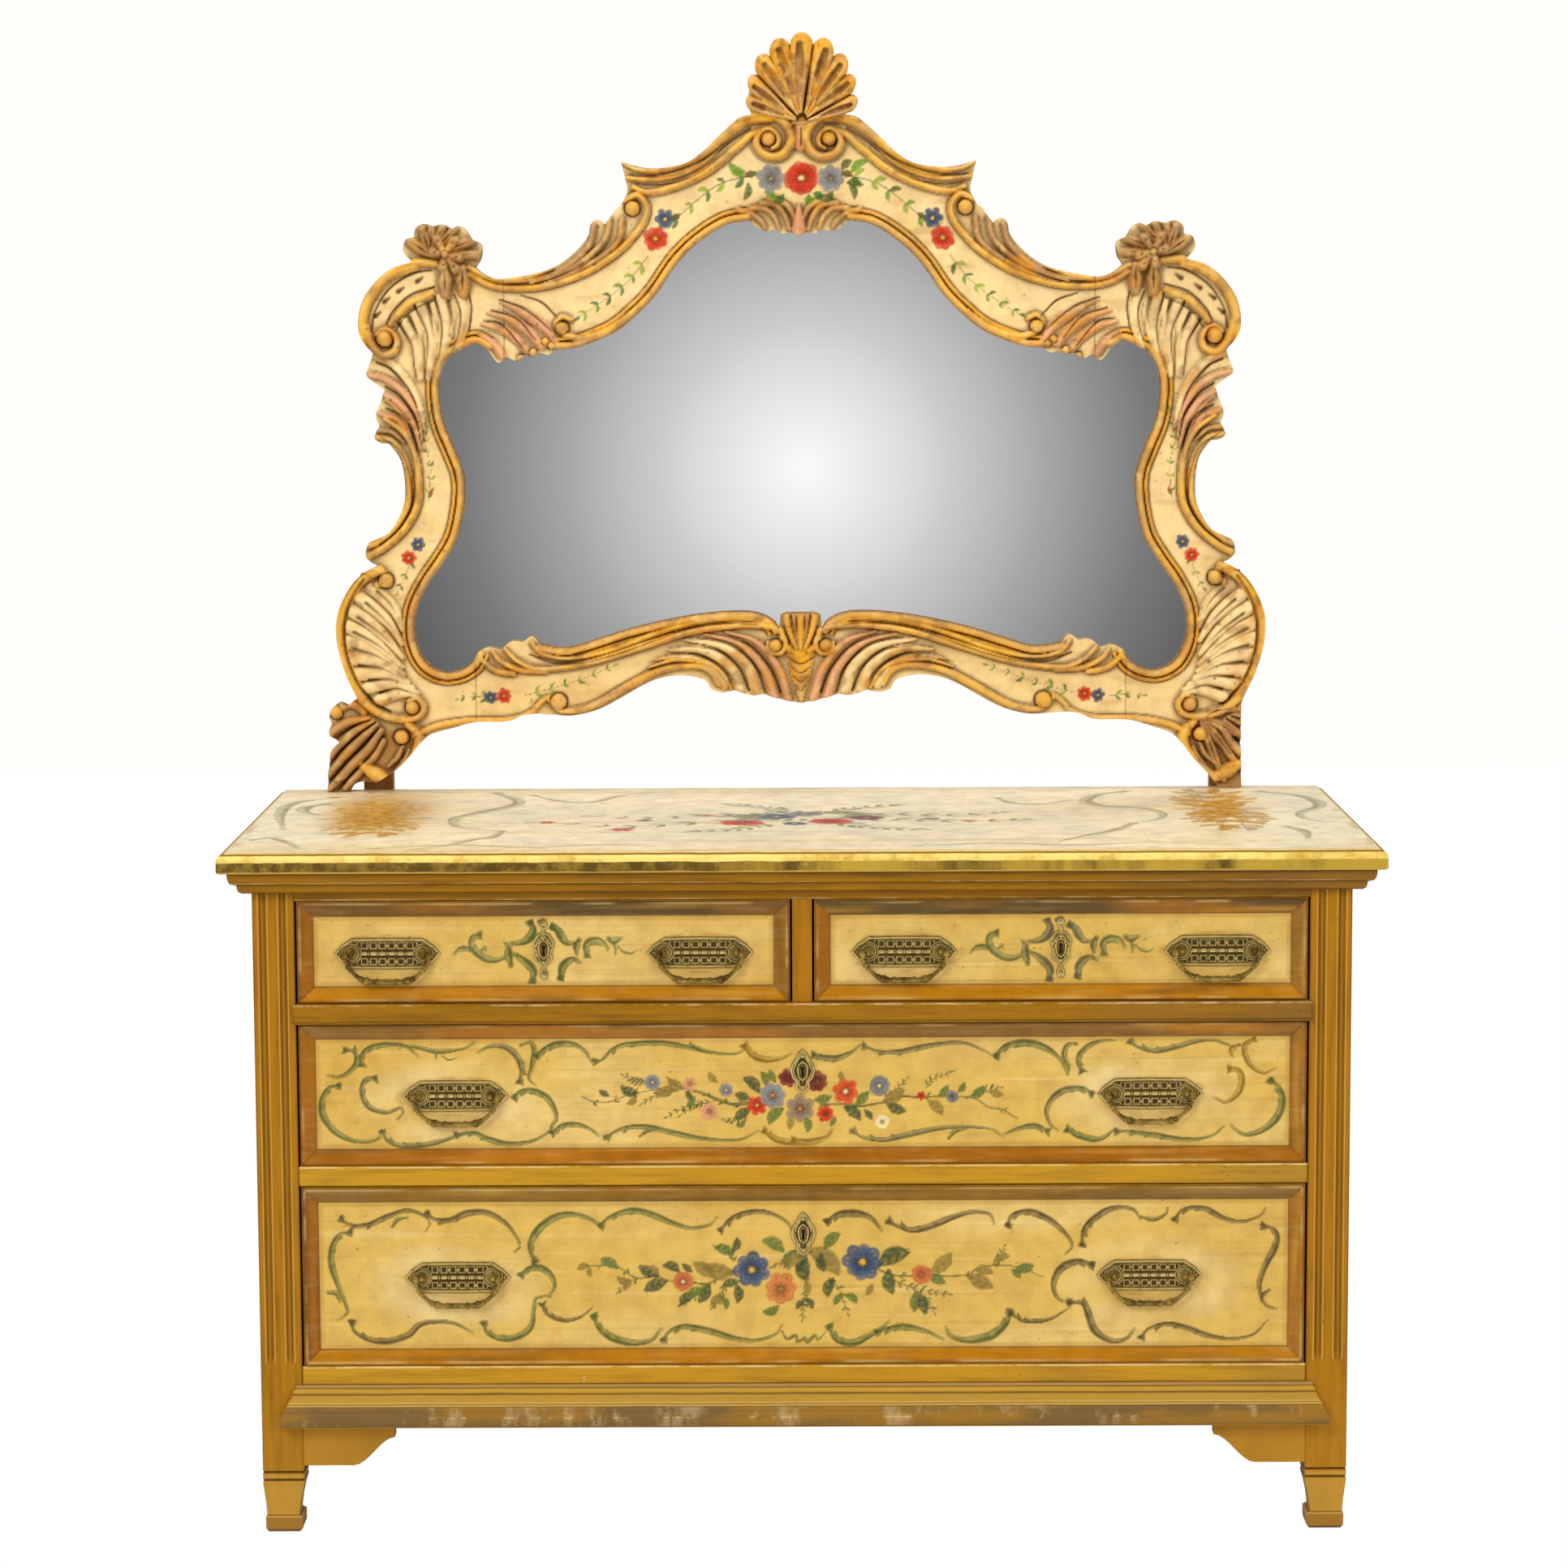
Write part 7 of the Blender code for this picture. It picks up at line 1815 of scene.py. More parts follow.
    def bud(self, base: Point, tip: Point, width: float, colour: Colour) -> None:
        """Paint a closed bud with its green cup.

        Args:
            base: Where the bud starts.
            tip: Its tip.
            width: Half width.
            colour: Its colour.
        """
        a, b = np.array(base, float), np.array(tip, float)
        self.canvas.stroke(np.array([a, (a + b) / 2, b]), (0.5 * width, width, 0.3 * width), colour,
                           0.95)
        self.canvas.stroke(np.array([(a + b) / 2, b]), (0.3 * width, 0.1), self.shade(colour, 0.4),
                           0.6)
        self.canvas.stroke(np.array([a, a * 0.65 + b * 0.35]), (0.5 * width, 0.7 * width),
                           Paint.GREEN.value, 0.9)


@dataclass
class CarvedMirror:
    """The carved frame, its crest shell and the mirror behind it."""

    step: float = 1.5
    thickness: float = 0.020
    ledge: float = 0.011
    base_z: float = 0.7663
    back_y: float = 0.27335
    rebate: float = 9.0
    top_joint: float = 353.0
    low_joint: float = 391.0
    split_z: float = 372.0

    def outlines(self) -> tuple[np.ndarray, np.ndarray]:
        """Return the frame's outer outline and its opening."""
        shared = CREST_RUNS + ROSETTE_RUNS + [SHOULDER_RUN] + SIDE_LEAF_RUNS + [LOWER_SCROLL_RUN]
        left = chain(shared + LEFT_FOOT_RUNS + LOWER_EDGE_RUNS)
        right = chain(shared + RIGHT_FOOT_RUNS + LOWER_EDGE_RUNS) * (-1, 1)
        opening = chain(TOP_DROP_RUNS + [SIGHT_TOP_RUN] + SHOULDER_LEAF_RUNS + [SIGHT_SIDE_RUN]
                        + CORNER_LEAF_RUNS + [SIGHT_BOTTOM_RUN] + CARTOUCHE_RUNS)
        return np.vstack((left, right[-2:0:-1])), np.vstack((opening, (opening * (-1, 1))[-2:0:-1]))

    def rebate_line(self) -> np.ndarray:
        """Return the outline of the rebate behind the opening."""
        half = np.vstack([beside(smooth(run, 12.0), -self.rebate)
                          for run in (SIGHT_TOP_RUN, SIGHT_SIDE_RUN, SIGHT_BOTTOM_RUN)])
        half = np.vstack(([(0.0, half[0][1])], half, [(0.0, half[-1][1])]))
        return np.vstack((half, (half * (-1, 1))[-2:0:-1]))

    def both(self, draw: Callable[[np.ndarray], None],
             points: np.ndarray | Sequence[Point]) -> None:
        """Draw something on the left and, mirrored, on the right.

        Args:
            draw: Draws along a path.
            points: Path on the left.
        """
        path = np.asarray(points, dtype=float)
        draw(path)
        draw(path * (-1, 1))

    def carve(self, canvas: Canvas) -> None:
        """Carve the whole ornament.

        Args:
            canvas: Canvas to carve on.
        """
        gold, cream, pink, brown = (Paint.GOLD.value, Paint.CREAM.value, Paint.PINK.value,
                                    Paint.BRONZE.value)
        low = ramp(canvas.z, 88, 66) * ramp(np.abs(canvas.x), 446, 462)
        canvas.tint(EVERYWHERE, 0.9 * low, brown)
        for run in (SIGHT_TOP_RUN, SIGHT_SIDE_RUN, SIGHT_BOTTOM_RUN):
            line = smooth(run)
            for away, half, high in ((4.6, 4.6, 8.5), (12.2, 2.6, 4.5)):
                self.both(lambda p: canvas.rib(p, half, high, gold), beside(line, -away))
            for away, half, deep, stain in ((9.4, 1.1, 2.0, 0.7), (15.6, 1.3, 1.2, 0.5)):
                self.both(lambda p: canvas.groove(p, half, deep, stain), beside(line, -away))
            self.both(lambda p: canvas.stroke(p, 2.0, Paint.BRONZE.value, 0.55), beside(line, -1.2))
        for run in (SHOULDER_RUN, LOWER_SCROLL_RUN):
            self.both(lambda p: canvas.rib(p, 6.0, 10.0, gold), beside(smooth(run), 6.0))
        for kind, colour in ((BROWN_RIBS, brown), (PINK_RIBS, pink), (CREAM_RIBS, cream),
                             (ROLLS, gold)):
            for points, widths, height in kind:
                half = np.array(widths, float) * (1.28 if kind is CREAM_RIBS else 1.0)
                self.both(lambda p: canvas.rib(p, half, height, colour), smooth(points))
                if kind is not CREAM_RIBS:
                    self.both(lambda p: canvas.groove(p, 0.8, 1.0, 0.2),
                              beside(smooth(points), max(widths) + 0.9))
                # painted highlight: a pale stroke along each rib, to one side of its crest
                self.both(lambda p: canvas.stroke(p, 0.34 * half, Brush(canvas).shade(colour, 0.6),
                        0.42, 0.8, 0.7), beside(smooth(points), -0.15 * max(widths)))
        for points, widths, depth in GROOVES:
            self.both(lambda p: canvas.groove(p, widths, depth, 0.7), smooth(points))
        for mark in PUNCH_MARKS:
            self.both(lambda p: canvas.groove(p, (3.8, 2.4), 3.6, 1.0),
                      [(mark[0] - 3.2, mark[1] - 2.3), (mark[0] + 3.2, mark[1] + 2.3)])
        self.rosette(canvas)
        for centre, radius, height in BUTTONS:
            for side in SIDES:
                canvas.button((centre[0] * -side, centre[1]), radius, height, gold)
        self.centre(canvas)

    def rosette(self, canvas: Canvas) -> None:
        """Carve the flower and leaves at both upper corners.

        Args:
            canvas: Canvas to carve on.
        """
        tone = Paint.BRONZE.value
        root = ROSETTE_LEAF_ROOT
        for tip, half in zip(ROSETTE_LEAF_TIPS, (9.0, 7.5, 7.0, 7.0, 7.5, 8.5, 8.0)):
            middle = ((root[0] + tip[0]) / 2, (root[1] + tip[1]) / 2)
            self.both(lambda p: canvas.rib(p, (3.5, half, 0.75 * half), 12.0, tone, 0.6),
                      smooth([root, middle, tip]))
            self.both(lambda p: canvas.groove(p, (0.6, 1.6, 0.6), 3.5, 0.9),
                      smooth([root, middle, tip]))
        for start, end in zip(HANGING_LEAVES[::2], HANGING_LEAVES[1::2]):
            self.both(lambda p: canvas.rib(p, (6.0, 10.0, 6.5), 13.0, tone, 0.6),
                      smooth([start, end]))
            self.both(lambda p: canvas.groove(p, (0.8, 2.2, 0.6), 4.0, 0.85), smooth([start, end]))
        for petal in ROSETTE_PETALS:
            way = np.array(petal, float) - ROSETTE_CENTRE
            outer = tuple(np.array(ROSETTE_CENTRE) + way * 1.15)
            self.both(lambda p: canvas.rib(p, (4.5, 8.0), 17.0, tone, 0.6), [ROSETTE_CENTRE, outer])
            self.both(lambda p: canvas.groove(p, (2.4, 1.0), 3.0, 0.7), [petal, outer])
        for side in SIDES:
            canvas.button((ROSETTE_CENTRE[0] * -side, ROSETTE_CENTRE[1]), 5.0, 19.0, gold_light())

    def centre(self, canvas: Canvas) -> None:
        """Carve what stands on the middle line: the knob, the drop, the urn and its tongue.

        Args:
            canvas: Canvas to carve on.
        """
        pink, gold = Paint.PINK.value, Paint.GOLD.value
        canvas.rib(np.array([(3, 772), (3, 792)]), (9.0, 9.5), 9.0, pink, 0.35)
        canvas.rib(np.array([(-6, 797), (12, 797)]), 4.0, 11.0, Paint.BRONZE.value)
        canvas.groove(np.array([(3, 770), (3, 790)]), 1.0, 2.5, 0.6)
        canvas.rib(smooth([(0, 700), (0, 685), (0, 668)]), (2.0, 7.0, 8.5), 9.0, pink, 0.4)
        canvas.rib(smooth([(0, 214), (0, 190), (0, 172)]), (5.5, 5.0, 4.0), 12.0, gold)
        for x in (-10.5, 10.5):
            canvas.rib(smooth([(x * 1.7, 212), (x * 1.2, 190), (x * 0.5, 172)]), (5.0, 4.5, 3.0),
                       10.5, gold)
        canvas.rib(smooth([(-18, 174), (0, 164), (18, 174)]), 4.5, 9.0, gold)
        canvas.rib(smooth([(0, 166), (0, 140), (0, 108)]), (17.0, 12.0, 3.0), 7.5, gold, 0.35)
        for z, half in ((156, 15), (145, 12), (134, 9), (123, 6)):
            canvas.groove(smooth([(-half, z + 4), (0, z - 3), (half, z + 4)]), 1.2, 2.2, 0.85)

    def foot(self, canvas: Canvas) -> None:
        """Carve the right foot, whose leaf is plainer than the left one's.

        Args:
            canvas: Canvas to carve on.
        """
        root = (482, 84)
        for tip, half in (((524, 96), 7.0), ((524, 66), 7.0), ((522, 36), 6.5), ((510, 10), 6.0)):
            middle = ((root[0] + tip[0]) / 2 - 2, (root[1] + tip[1]) / 2 + 4)
            canvas.rib(smooth([root, middle, tip]), (3.5, half, 0.6 * half), 9.0,
                       Paint.BRONZE.value)
            canvas.groove(smooth([root, middle, tip]), (0.5, 1.5, 0.5), 3.0, 0.85)

    def ornament(self, canvas: Canvas) -> None:
        """Paint the flowers on the flat parts of the frame.

        Args:
            canvas: Canvas to paint on.
        """
        brush = Brush(canvas, (linear(98, 146, 26), linear(34, 104, 46), linear(146, 168, 40),
                               linear(66, 92, 22)))
        red, wine, blue, grey = (Paint.RED.value, Paint.WINE.value, Paint.BLUE.value,
                                 Paint.GREY_BLUE.value)
        for side in SIDES:
            def at(x: float, z: float) -> Point:
                """Return a point of the left half on this side."""
                return (-x * side, z)

            brush.spray([at(-50, 736), at(-96, 724), at(-140, 690), at(-170, 664)], 0.9, 6, 17.0,
                        0.46)
            brush.spray([at(-180, 640), at(-205, 610), at(-236, 586), at(-262, 570)], 0.6, 6, 14.0,
                        0.42)
            brush.leaf(at(-62, 738), at(-84, 752), 5.0)
            brush.leaf(at(-60, 726), at(-66, 706), 4.6)
            brush.leaf(at(-40, 716), at(-28, 704), 4.8)
            brush.bud(at(-52, 738), at(-63, 735), 5.0, wine)
            brush.flower(at(-159, 684), 12.5, blue, 6)
            brush.bud(at(-149, 684), at(-142, 690), 4.2, wine)
            brush.flower(at(-171, 661), 14.5, red, 8)
            brush.spray([at(-446, 350), at(-443, 388), at(-448, 424), at(-440, 462)], 0.5, 7, 9.0,
                        0.42)
            brush.spray([at(-466, 286), at(-474, 262), at(-484, 242)], 0.5, 3, 9.0, 0.45)
            brush.flower(at(-459, 298), 9.0, blue, 6)
            brush.flower(at(-470, 282), 9.0, red, 7)
            brush.bud(at(-443, 356), at(-442, 364), 2.6, red)
            brush.spray([at(-372, 112), at(-392, 114), at(-412, 112)], 0.5, 3, 9.0, 0.45)
            brush.spray([at(-330, 116), at(-300, 124), at(-262, 136), at(-226, 150)], 0.4, 6, 11.0,
                        0.4)
            brush.flower(at(-366 + 8 * side, 113), 8.5, blue, 6)
            brush.flower(at(-350 + 8 * side, 115), 9.5, red, 7)
        brush.flower((-33, 731), 17.0, grey, 7, Paint.GREY_GREEN.value)
        brush.flower((38, 731), 16.0, grey, 7, Paint.GREY_GREEN.value)
        for place, tip in (((-18, 712), (-30, 704)), ((18, 714), (28, 704)), ((12, 712), (8, 700)),
                           ((52, 742), (64, 752)), ((58, 726), (74, 722))):
            brush.leaf(place, tip, 5.2)
        brush.flower((3, 732), 20.0, red, 11, Paint.CREAM.value)

    def weather(self, canvas: Canvas) -> None:
        """Mottle the cream ground before the ornament is painted.

        Args:
            canvas: Canvas to tint.
        """
        canvas.mottle((0.35, 14, 14, 0.3, 2.0, linear(226, 186, 104)),
                      (0.30, 9, 2.2, 0.8, 2.4, linear(196, 150, 74)),
                      (0.30, 5, 5, 0.9, 2.6, linear(252, 236, 190)),
                      (0.45, 1.2, 1.2, 2.3, 3.2, Paint.BROWN.value))

    def age(self, canvas: Canvas) -> None:
        """Rub the raised work: bright gold, grey-brown and pink patches along the rolls.

        Args:
            canvas: Carved canvas.
        """
        raised = ramp(canvas.height, 2.0, 5.0)
        for share, reach, low, high, glaze in ((0.60, 8.0, 0.0, 1.6, linear(178, 128, 76)),
                                               (0.75, 6.0, 0.2, 1.6, linear(216, 142, 18)),
                                               (0.55, 3.0, 0.4, 1.8, linear(146, 92, 34)),
                                               (0.50, 2.6, 0.7, 1.9, linear(238, 198, 112)),
                                               (0.25, 4.0, 0.9, 2.2, linear(206, 154, 112)),
                                               (0.65, 1.1, 1.7, 2.9, linear(84, 50, 20))):
            canvas.tint(EVERYWHERE, share * raised * ramp(canvas.fog(reach, reach), low, high),
                        glaze)

    def place(self, flat: np.ndarray, depth: np.ndarray | float) -> np.ndarray:
        """Return canvas points as places in the piece.

        Args:
            flat: Points in millimetres.
            depth: Their y in metres.

        Returns:
            Places in metres.
        """
        depths = np.broadcast_to(depth, len(flat))
        return np.column_stack((flat[:, 0] / MM, depths, self.base_z + flat[:, 1] / MM))

    def boards(self, canvas: Canvas, finish: Finish) -> None:
        """Turn the carved canvas into the boards that the frame is glued from.

        Args:
            canvas: Carved canvas.
            finish: Materials.
        """
        outer, inner = self.outlines()
        cells = filled(canvas, outer) & ~filled(canvas, inner)
        middle_x = (canvas.x[:-1, :-1] + canvas.x[1:, 1:]) / 2
        middle_z = (canvas.z[:-1, :-1] + canvas.z[1:, 1:]) / 2
        low = middle_z < self.split_z
        joint = np.where(low, self.low_joint, self.top_joint)
        parts = {
            "frame_top_rail": cells & ~low & (np.abs(middle_x) < joint),
            "frame_bottom_rail": cells & low & (np.abs(middle_x) < joint),
            "frame_left_upright": cells & (middle_x <= -joint),
            "frame_right_upright": cells & (middle_x >= joint),
        }
        front = self.back_y - self.thickness
        for name, mask in parts.items():
            sheet = sheet_of(canvas, mask, (outer, inner))
            inward = nearest(sheet.flat, inner)[1] < 0.05
            face = self.place(sheet.flat, front - sheet.height / MM)
            rim = sorted({i for edge in sheet.rim for i in edge})
            index = {vertex: len(face) + k for k, vertex in enumerate(rim)}
            rear = np.where(inward[rim], self.back_y - self.ledge, self.back_y)
            wall = self.place(sheet.flat[rim], rear)
            shade = np.tile(np.array(linear(150, 104, 42)), (len(rim), 1))
            faces = sheet.quads.tolist() + [(b, a, index[a], index[b]) for a, b in sheet.rim]
            piece = make_object(name, np.vstack((face, wall)), faces, finish.carved,
                                np.vstack((sheet.colour, shade)), CARVED_ANGLE)
            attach(piece, "case")
            LOG.info("%s: %d faces", name, len(faces))
        self.rear(canvas, cells, (outer, inner), finish)

    def rear(self, canvas: Canvas, cells: np.ndarray, loops: tuple[np.ndarray, np.ndarray],
             finish: Finish) -> None:
        """Close the frame behind: its back, the rebate's wall and the mirror's ledge.

        Args:
            canvas: Carved canvas.
            cells: Mask of the frame's cells.
            loops: Outer outline and opening.
            finish: Materials.
        """
        sheet = sheet_of(canvas, cells, loops)
        rims = loops_of(sheet.rim)
        outer, inner = (sheet.flat[loop] for loop in rims[:2])
        rebate = self.rebate_line()
        pieces, faces = [], []

        def fill(first: np.ndarray, second: np.ndarray, depth: float) -> None:
            """Fill the first loop less the second at one depth."""
            flat, triangles = filled_between(first, second)
            base = sum(len(piece) for piece in pieces)
            pieces.append(self.place(flat, depth))
            faces.extend([tuple(base + i for i in face) for face in triangles])

        fill(outer, rebate, self.back_y)
        fill(rebate, inner, self.back_y - self.ledge)
        base = sum(len(piece) for piece in pieces)
        pieces += [self.place(rebate, self.back_y), self.place(rebate, self.back_y - self.ledge)]
        count = len(rebate)
        faces += [(base + i, base + (i + 1) % count, base + count + (i + 1) % count,
                   base + count + i) for i in range(count)]
        vertices = np.vstack(pieces)
        piece = make_object("frame_rear", vertices, faces, finish.boards, None, None)
        piece.data.flip_normals()
        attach(piece, "case")
        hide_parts("mirror_frame")
        LOG.info("%s: %d faces", piece.name, len(faces))

    def shell(self, finish: Finish) -> None:
        """Carve the crest shell.

        Args:
            finish: Materials.
        """
        canvas = Canvas(np.arange(-84.0, 92.0, 1.0), np.arange(792.0, 904.0, 1.0), Paint.GOLD.value,
                        31)
        centre = np.array((4.0, 797.0))
        lobes, spread_angle, side_radius, top_radius = 9, 78.3, 66.0, 105.0
        outline = []
        for share in np.linspace(0, 1, lobes * 24 + 1):
            angle = math.radians(90 + spread_angle - 2 * spread_angle * share)
            reach = side_radius + (top_radius - side_radius) * math.sin(angle) ** 2
            reach *= 1 - 0.13 * (1 - abs(math.sin(math.pi * share * lobes)) ** 0.6)
            outline.append(centre + reach * heading(angle))
        outline += [centre + (9, 0), centre - (9, 0)]
        outline = np.array(outline[::-1])
        brown, light = Paint.BROWN.value, linear(226, 176, 98)
        for lobe in range(lobes):
            share = (lobe + 0.5) / lobes
            angle = math.radians(90 + spread_angle - 2 * spread_angle * share)
            way = heading(angle)
            reach = side_radius + (top_radius - side_radius) * math.sin(angle) ** 2
            half = reach * math.radians(spread_angle / lobes)
            sway = left_of(way) * half * 0.18 * math.sin(lobe * 2.1)
            spoke = [centre + way * reach * r + sway * math.sin(math.pi * r)
                     for r in (0.12, 0.4, 0.7, 0.90)]
            canvas.rib(smooth(spoke), (0.16 * half, 0.5 * half, 0.84 * half, 0.96 * half), 13.0,
                       None, 0.5)
            slot = [centre + way * reach * r + sway for r in (0.34, 0.62, 0.86)]
            canvas.groove(smooth(slot), (0.2 * half, 0.34 * half, 0.42 * half, 0.30 * half), 6.5,
                          0.0)
            # painted shade: a dark fill down each lobe's channel and a brown stroke along one wall
            canvas.stroke(smooth(slot), (0.2 * half, 0.34 * half, 0.40 * half, 0.26 * half),
                          linear(134, 88, 48), 0.8, 0.7)
            canvas.stroke(beside(smooth(slot), 0.16 * half),
                          (0.05 * half, 0.14 * half, 0.12 * half), brown, 0.75, 0.7)
            for turn in SIDES:
                edge = left_of(way) * half * 0.55 * turn
                line = [centre + way * reach * 0.3 + edge * 0.3, centre + way * reach * 0.9 + edge]
                canvas.stroke(smooth(line), (0.8, 2.0, 1.2), light, 0.6, 0.8, 0.5)
        canvas.mottle((0.5, 5, 9, 0.0, 1.8, linear(172, 118, 66)),
                      (0.35, 3, 6, 0.9, 2.4, linear(238, 196, 120)),
                      (0.4, 1.5, 3, 1.6, 3.0, brown))
        self.age(canvas)
        canvas.antique(3.0, 0.9, 0.3)
        sheet = sheet_of(canvas, filled(canvas, outline), (outline,))
        back = self.back_y - self.thickness - 0.0003
        face = self.place(sheet.flat, back - 0.008 - sheet.height / MM)
        rear = len(face)
        wall = self.place(sheet.flat, back)
        shade = np.tile(np.array(linear(140, 92, 36)), (rear, 1))
        faces = sheet.quads.tolist() + [(b, a, rear + a, rear + b) for a, b in sheet.rim]
        faces += (sheet.quads[:, ::-1] + rear).tolist()
        piece = make_object("carved_shell", np.vstack((face, wall)), faces, finish.carved,
                            np.vstack((sheet.colour, shade)), CARVED_ANGLE)
        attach(piece, "case")
        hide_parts("crest_shell")
        LOG.info("%s: %d faces", piece.name, len(faces))

    def build(self, finish: Finish) -> None:
        """Carve, paint and place the whole mirror.

        Args:
            finish: Materials.
        """
        canvas = Canvas(np.arange(-576.0, 576.1, self.step), np.arange(-1.5, 904.0, self.step),
                        Paint.CREAM.value)
        self.weather(canvas)
        self.carve(canvas)
        self.foot(canvas)
        canvas.height += 0.12 * canvas.fog(4, 2)
        for x, low in ((self.top_joint, False), (self.low_joint, True)):
            span = (0, self.split_z) if low else (self.split_z, 700)
            self.both(lambda p: canvas.groove(p, 0.9, 0.7, 0.7), [(-x, span[0]), (-x, span[1])])
        self.age(canvas)
        canvas.antique(3.2, 0.5, 0.16)
        self.ornament(canvas)
        self.boards(canvas, finish)
        self.shell(finish)


def gold_light() -> Colour:
    """Return the yellow of the rosettes' hearts."""
    return linear(206, 164, 62)


def filled_between(outer: np.ndarray, inner: np.ndarray) -> tuple[np.ndarray,
        list[tuple[int, ...]]]:
    """Fill a closed loop less another with triangles.

    Args:
        outer: Points of the outer loop.
        inner: Points of the hole.

    Returns:
        Points and triangles.
    """
    points: list[Vector] = []
    edges: list[tuple[int, int]] = []
    for loop in (outer, inner):
        base = len(points)
        points += [Vector((float(x), float(z))) for x, z in loop]
        edges += [(base + i, base + (i + 1) % len(loop)) for i in range(len(loop))]
    result = delaunay_2d_cdt(points, edges, [], 0, 1e-5)
    flat = np.array([tuple(p) for p in result[0]])
    faces = np.array([tuple(face) for face in result[2]])
    middles = flat[faces].mean(axis=1)
    keep = within(middles, outer) & ~within(middles, inner)
    return flat, [tuple(int(i) for i in face) for face in faces[keep]]


def within(points: np.ndarray, loop: np.ndarray) -> np.ndarray:
    """Return which points lie inside a closed loop.

    Args:
        points: Points.
        loop: Points of the loop.

    Returns:
        A mask.
    """
    result = np.zeros(len(points), dtype=bool)
    for (ax, az), (bx, bz) in zip(loop, np.roll(loop, -1, axis=0)):
        if az != bz:
            crosses = (az > points[:, 1]) != (bz > points[:, 1])
            result ^= crosses & (points[:, 0] < (bx - ax) * (points[:, 1] - az) / (bz - az) + ax)
    return result


def stepped(half: float, insets: Sequence[float], step: float) -> np.ndarray:
    """Return grid lines from -half to half, with lines at given insets and even ones between.

    Args:
        half: Half the length.
        insets: Distances from each end that get a line.
        step: Largest distance between the even lines.

    Returns:
        The places of the lines.
    """
    ends = np.array(insets, dtype=float)
    inner = half - ends[-1]
    count = math.ceil(2 * inner / step)
    return np.concatenate((ends - half, np.linspace(-inner, inner, count + 1)[1:-1],
                           half - ends[::-1]))


def lay_skin(name: str, canvas: Canvas, cells: np.ndarray,
             place: Callable[[np.ndarray, np.ndarray], np.ndarray], finish: bpy.types.Material,
             body: str, loops: Sequence[np.ndarray] = (),
             seam: Callable[[np.ndarray], np.ndarray] | None = None,
             sunk: float = 0.6) -> bpy.types.Object:
    """Lay part of a canvas over a face as a thin layer whose rim is let into what lies behind.

    Args:
        name: Name of the piece.
        canvas: Canvas with its heights and colours.
        cells: Mask of the cells to keep.
        place: Turns canvas points and heights, in millimetres, into places in metres.
        finish: Material.
        body: Body that the piece rides on.
        loops: Outlines that the rim is snapped to.
        seam: Tells which points of the rim meet another part of the same layer and stay in place.
        sunk: Distance by which the rest of the rim is pushed back, in millimetres.

    Returns:
        The piece.
    """
    sheet = sheet_of(canvas, cells, loops)
    rim = np.array(sorted({i for edge in sheet.rim for i in edge}))
    if seam is not None:
        rim = rim[~seam(sheet.flat[rim])]
    height = sheet.height.copy()
    height[rim] -= sunk
    piece = make_object(name, place(sheet.flat, height), sheet.quads, finish, sheet.colour,
                        SKIN_ANGLE)
    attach(piece, body)
    LOG.info("%s: %d faces", name, len(sheet.quads))
    return piece


def upright(x: float, y: float, z: float) -> Callable[[np.ndarray, np.ndarray], np.ndarray]:
    """Return what stands canvas points and heights, in millimetres, on a face.

    Args:
        x: Place of the canvas's middle across, in metres.
        y: The face.
        z: Height of the canvas's middle.

    Returns:
        A function of points and heights that gives places.
    """
    def place(flat: np.ndarray, height: np.ndarray) -> np.ndarray:
        """Stand points and heights on the face."""
        return np.column_stack((x + flat[:, 0] / MM, y - height / MM, z + flat[:, 1] / MM))

    return place


def middles(canvas: Canvas) -> tuple[np.ndarray, np.ndarray]:
    """Return the middles of a canvas's cells.

    Args:
        canvas: Canvas.

    Returns:
        Their places across and up.
    """
    return np.meshgrid((canvas.xs[:-1] + canvas.xs[1:]) / 2, (canvas.zs[:-1] + canvas.zs[1:]) / 2)


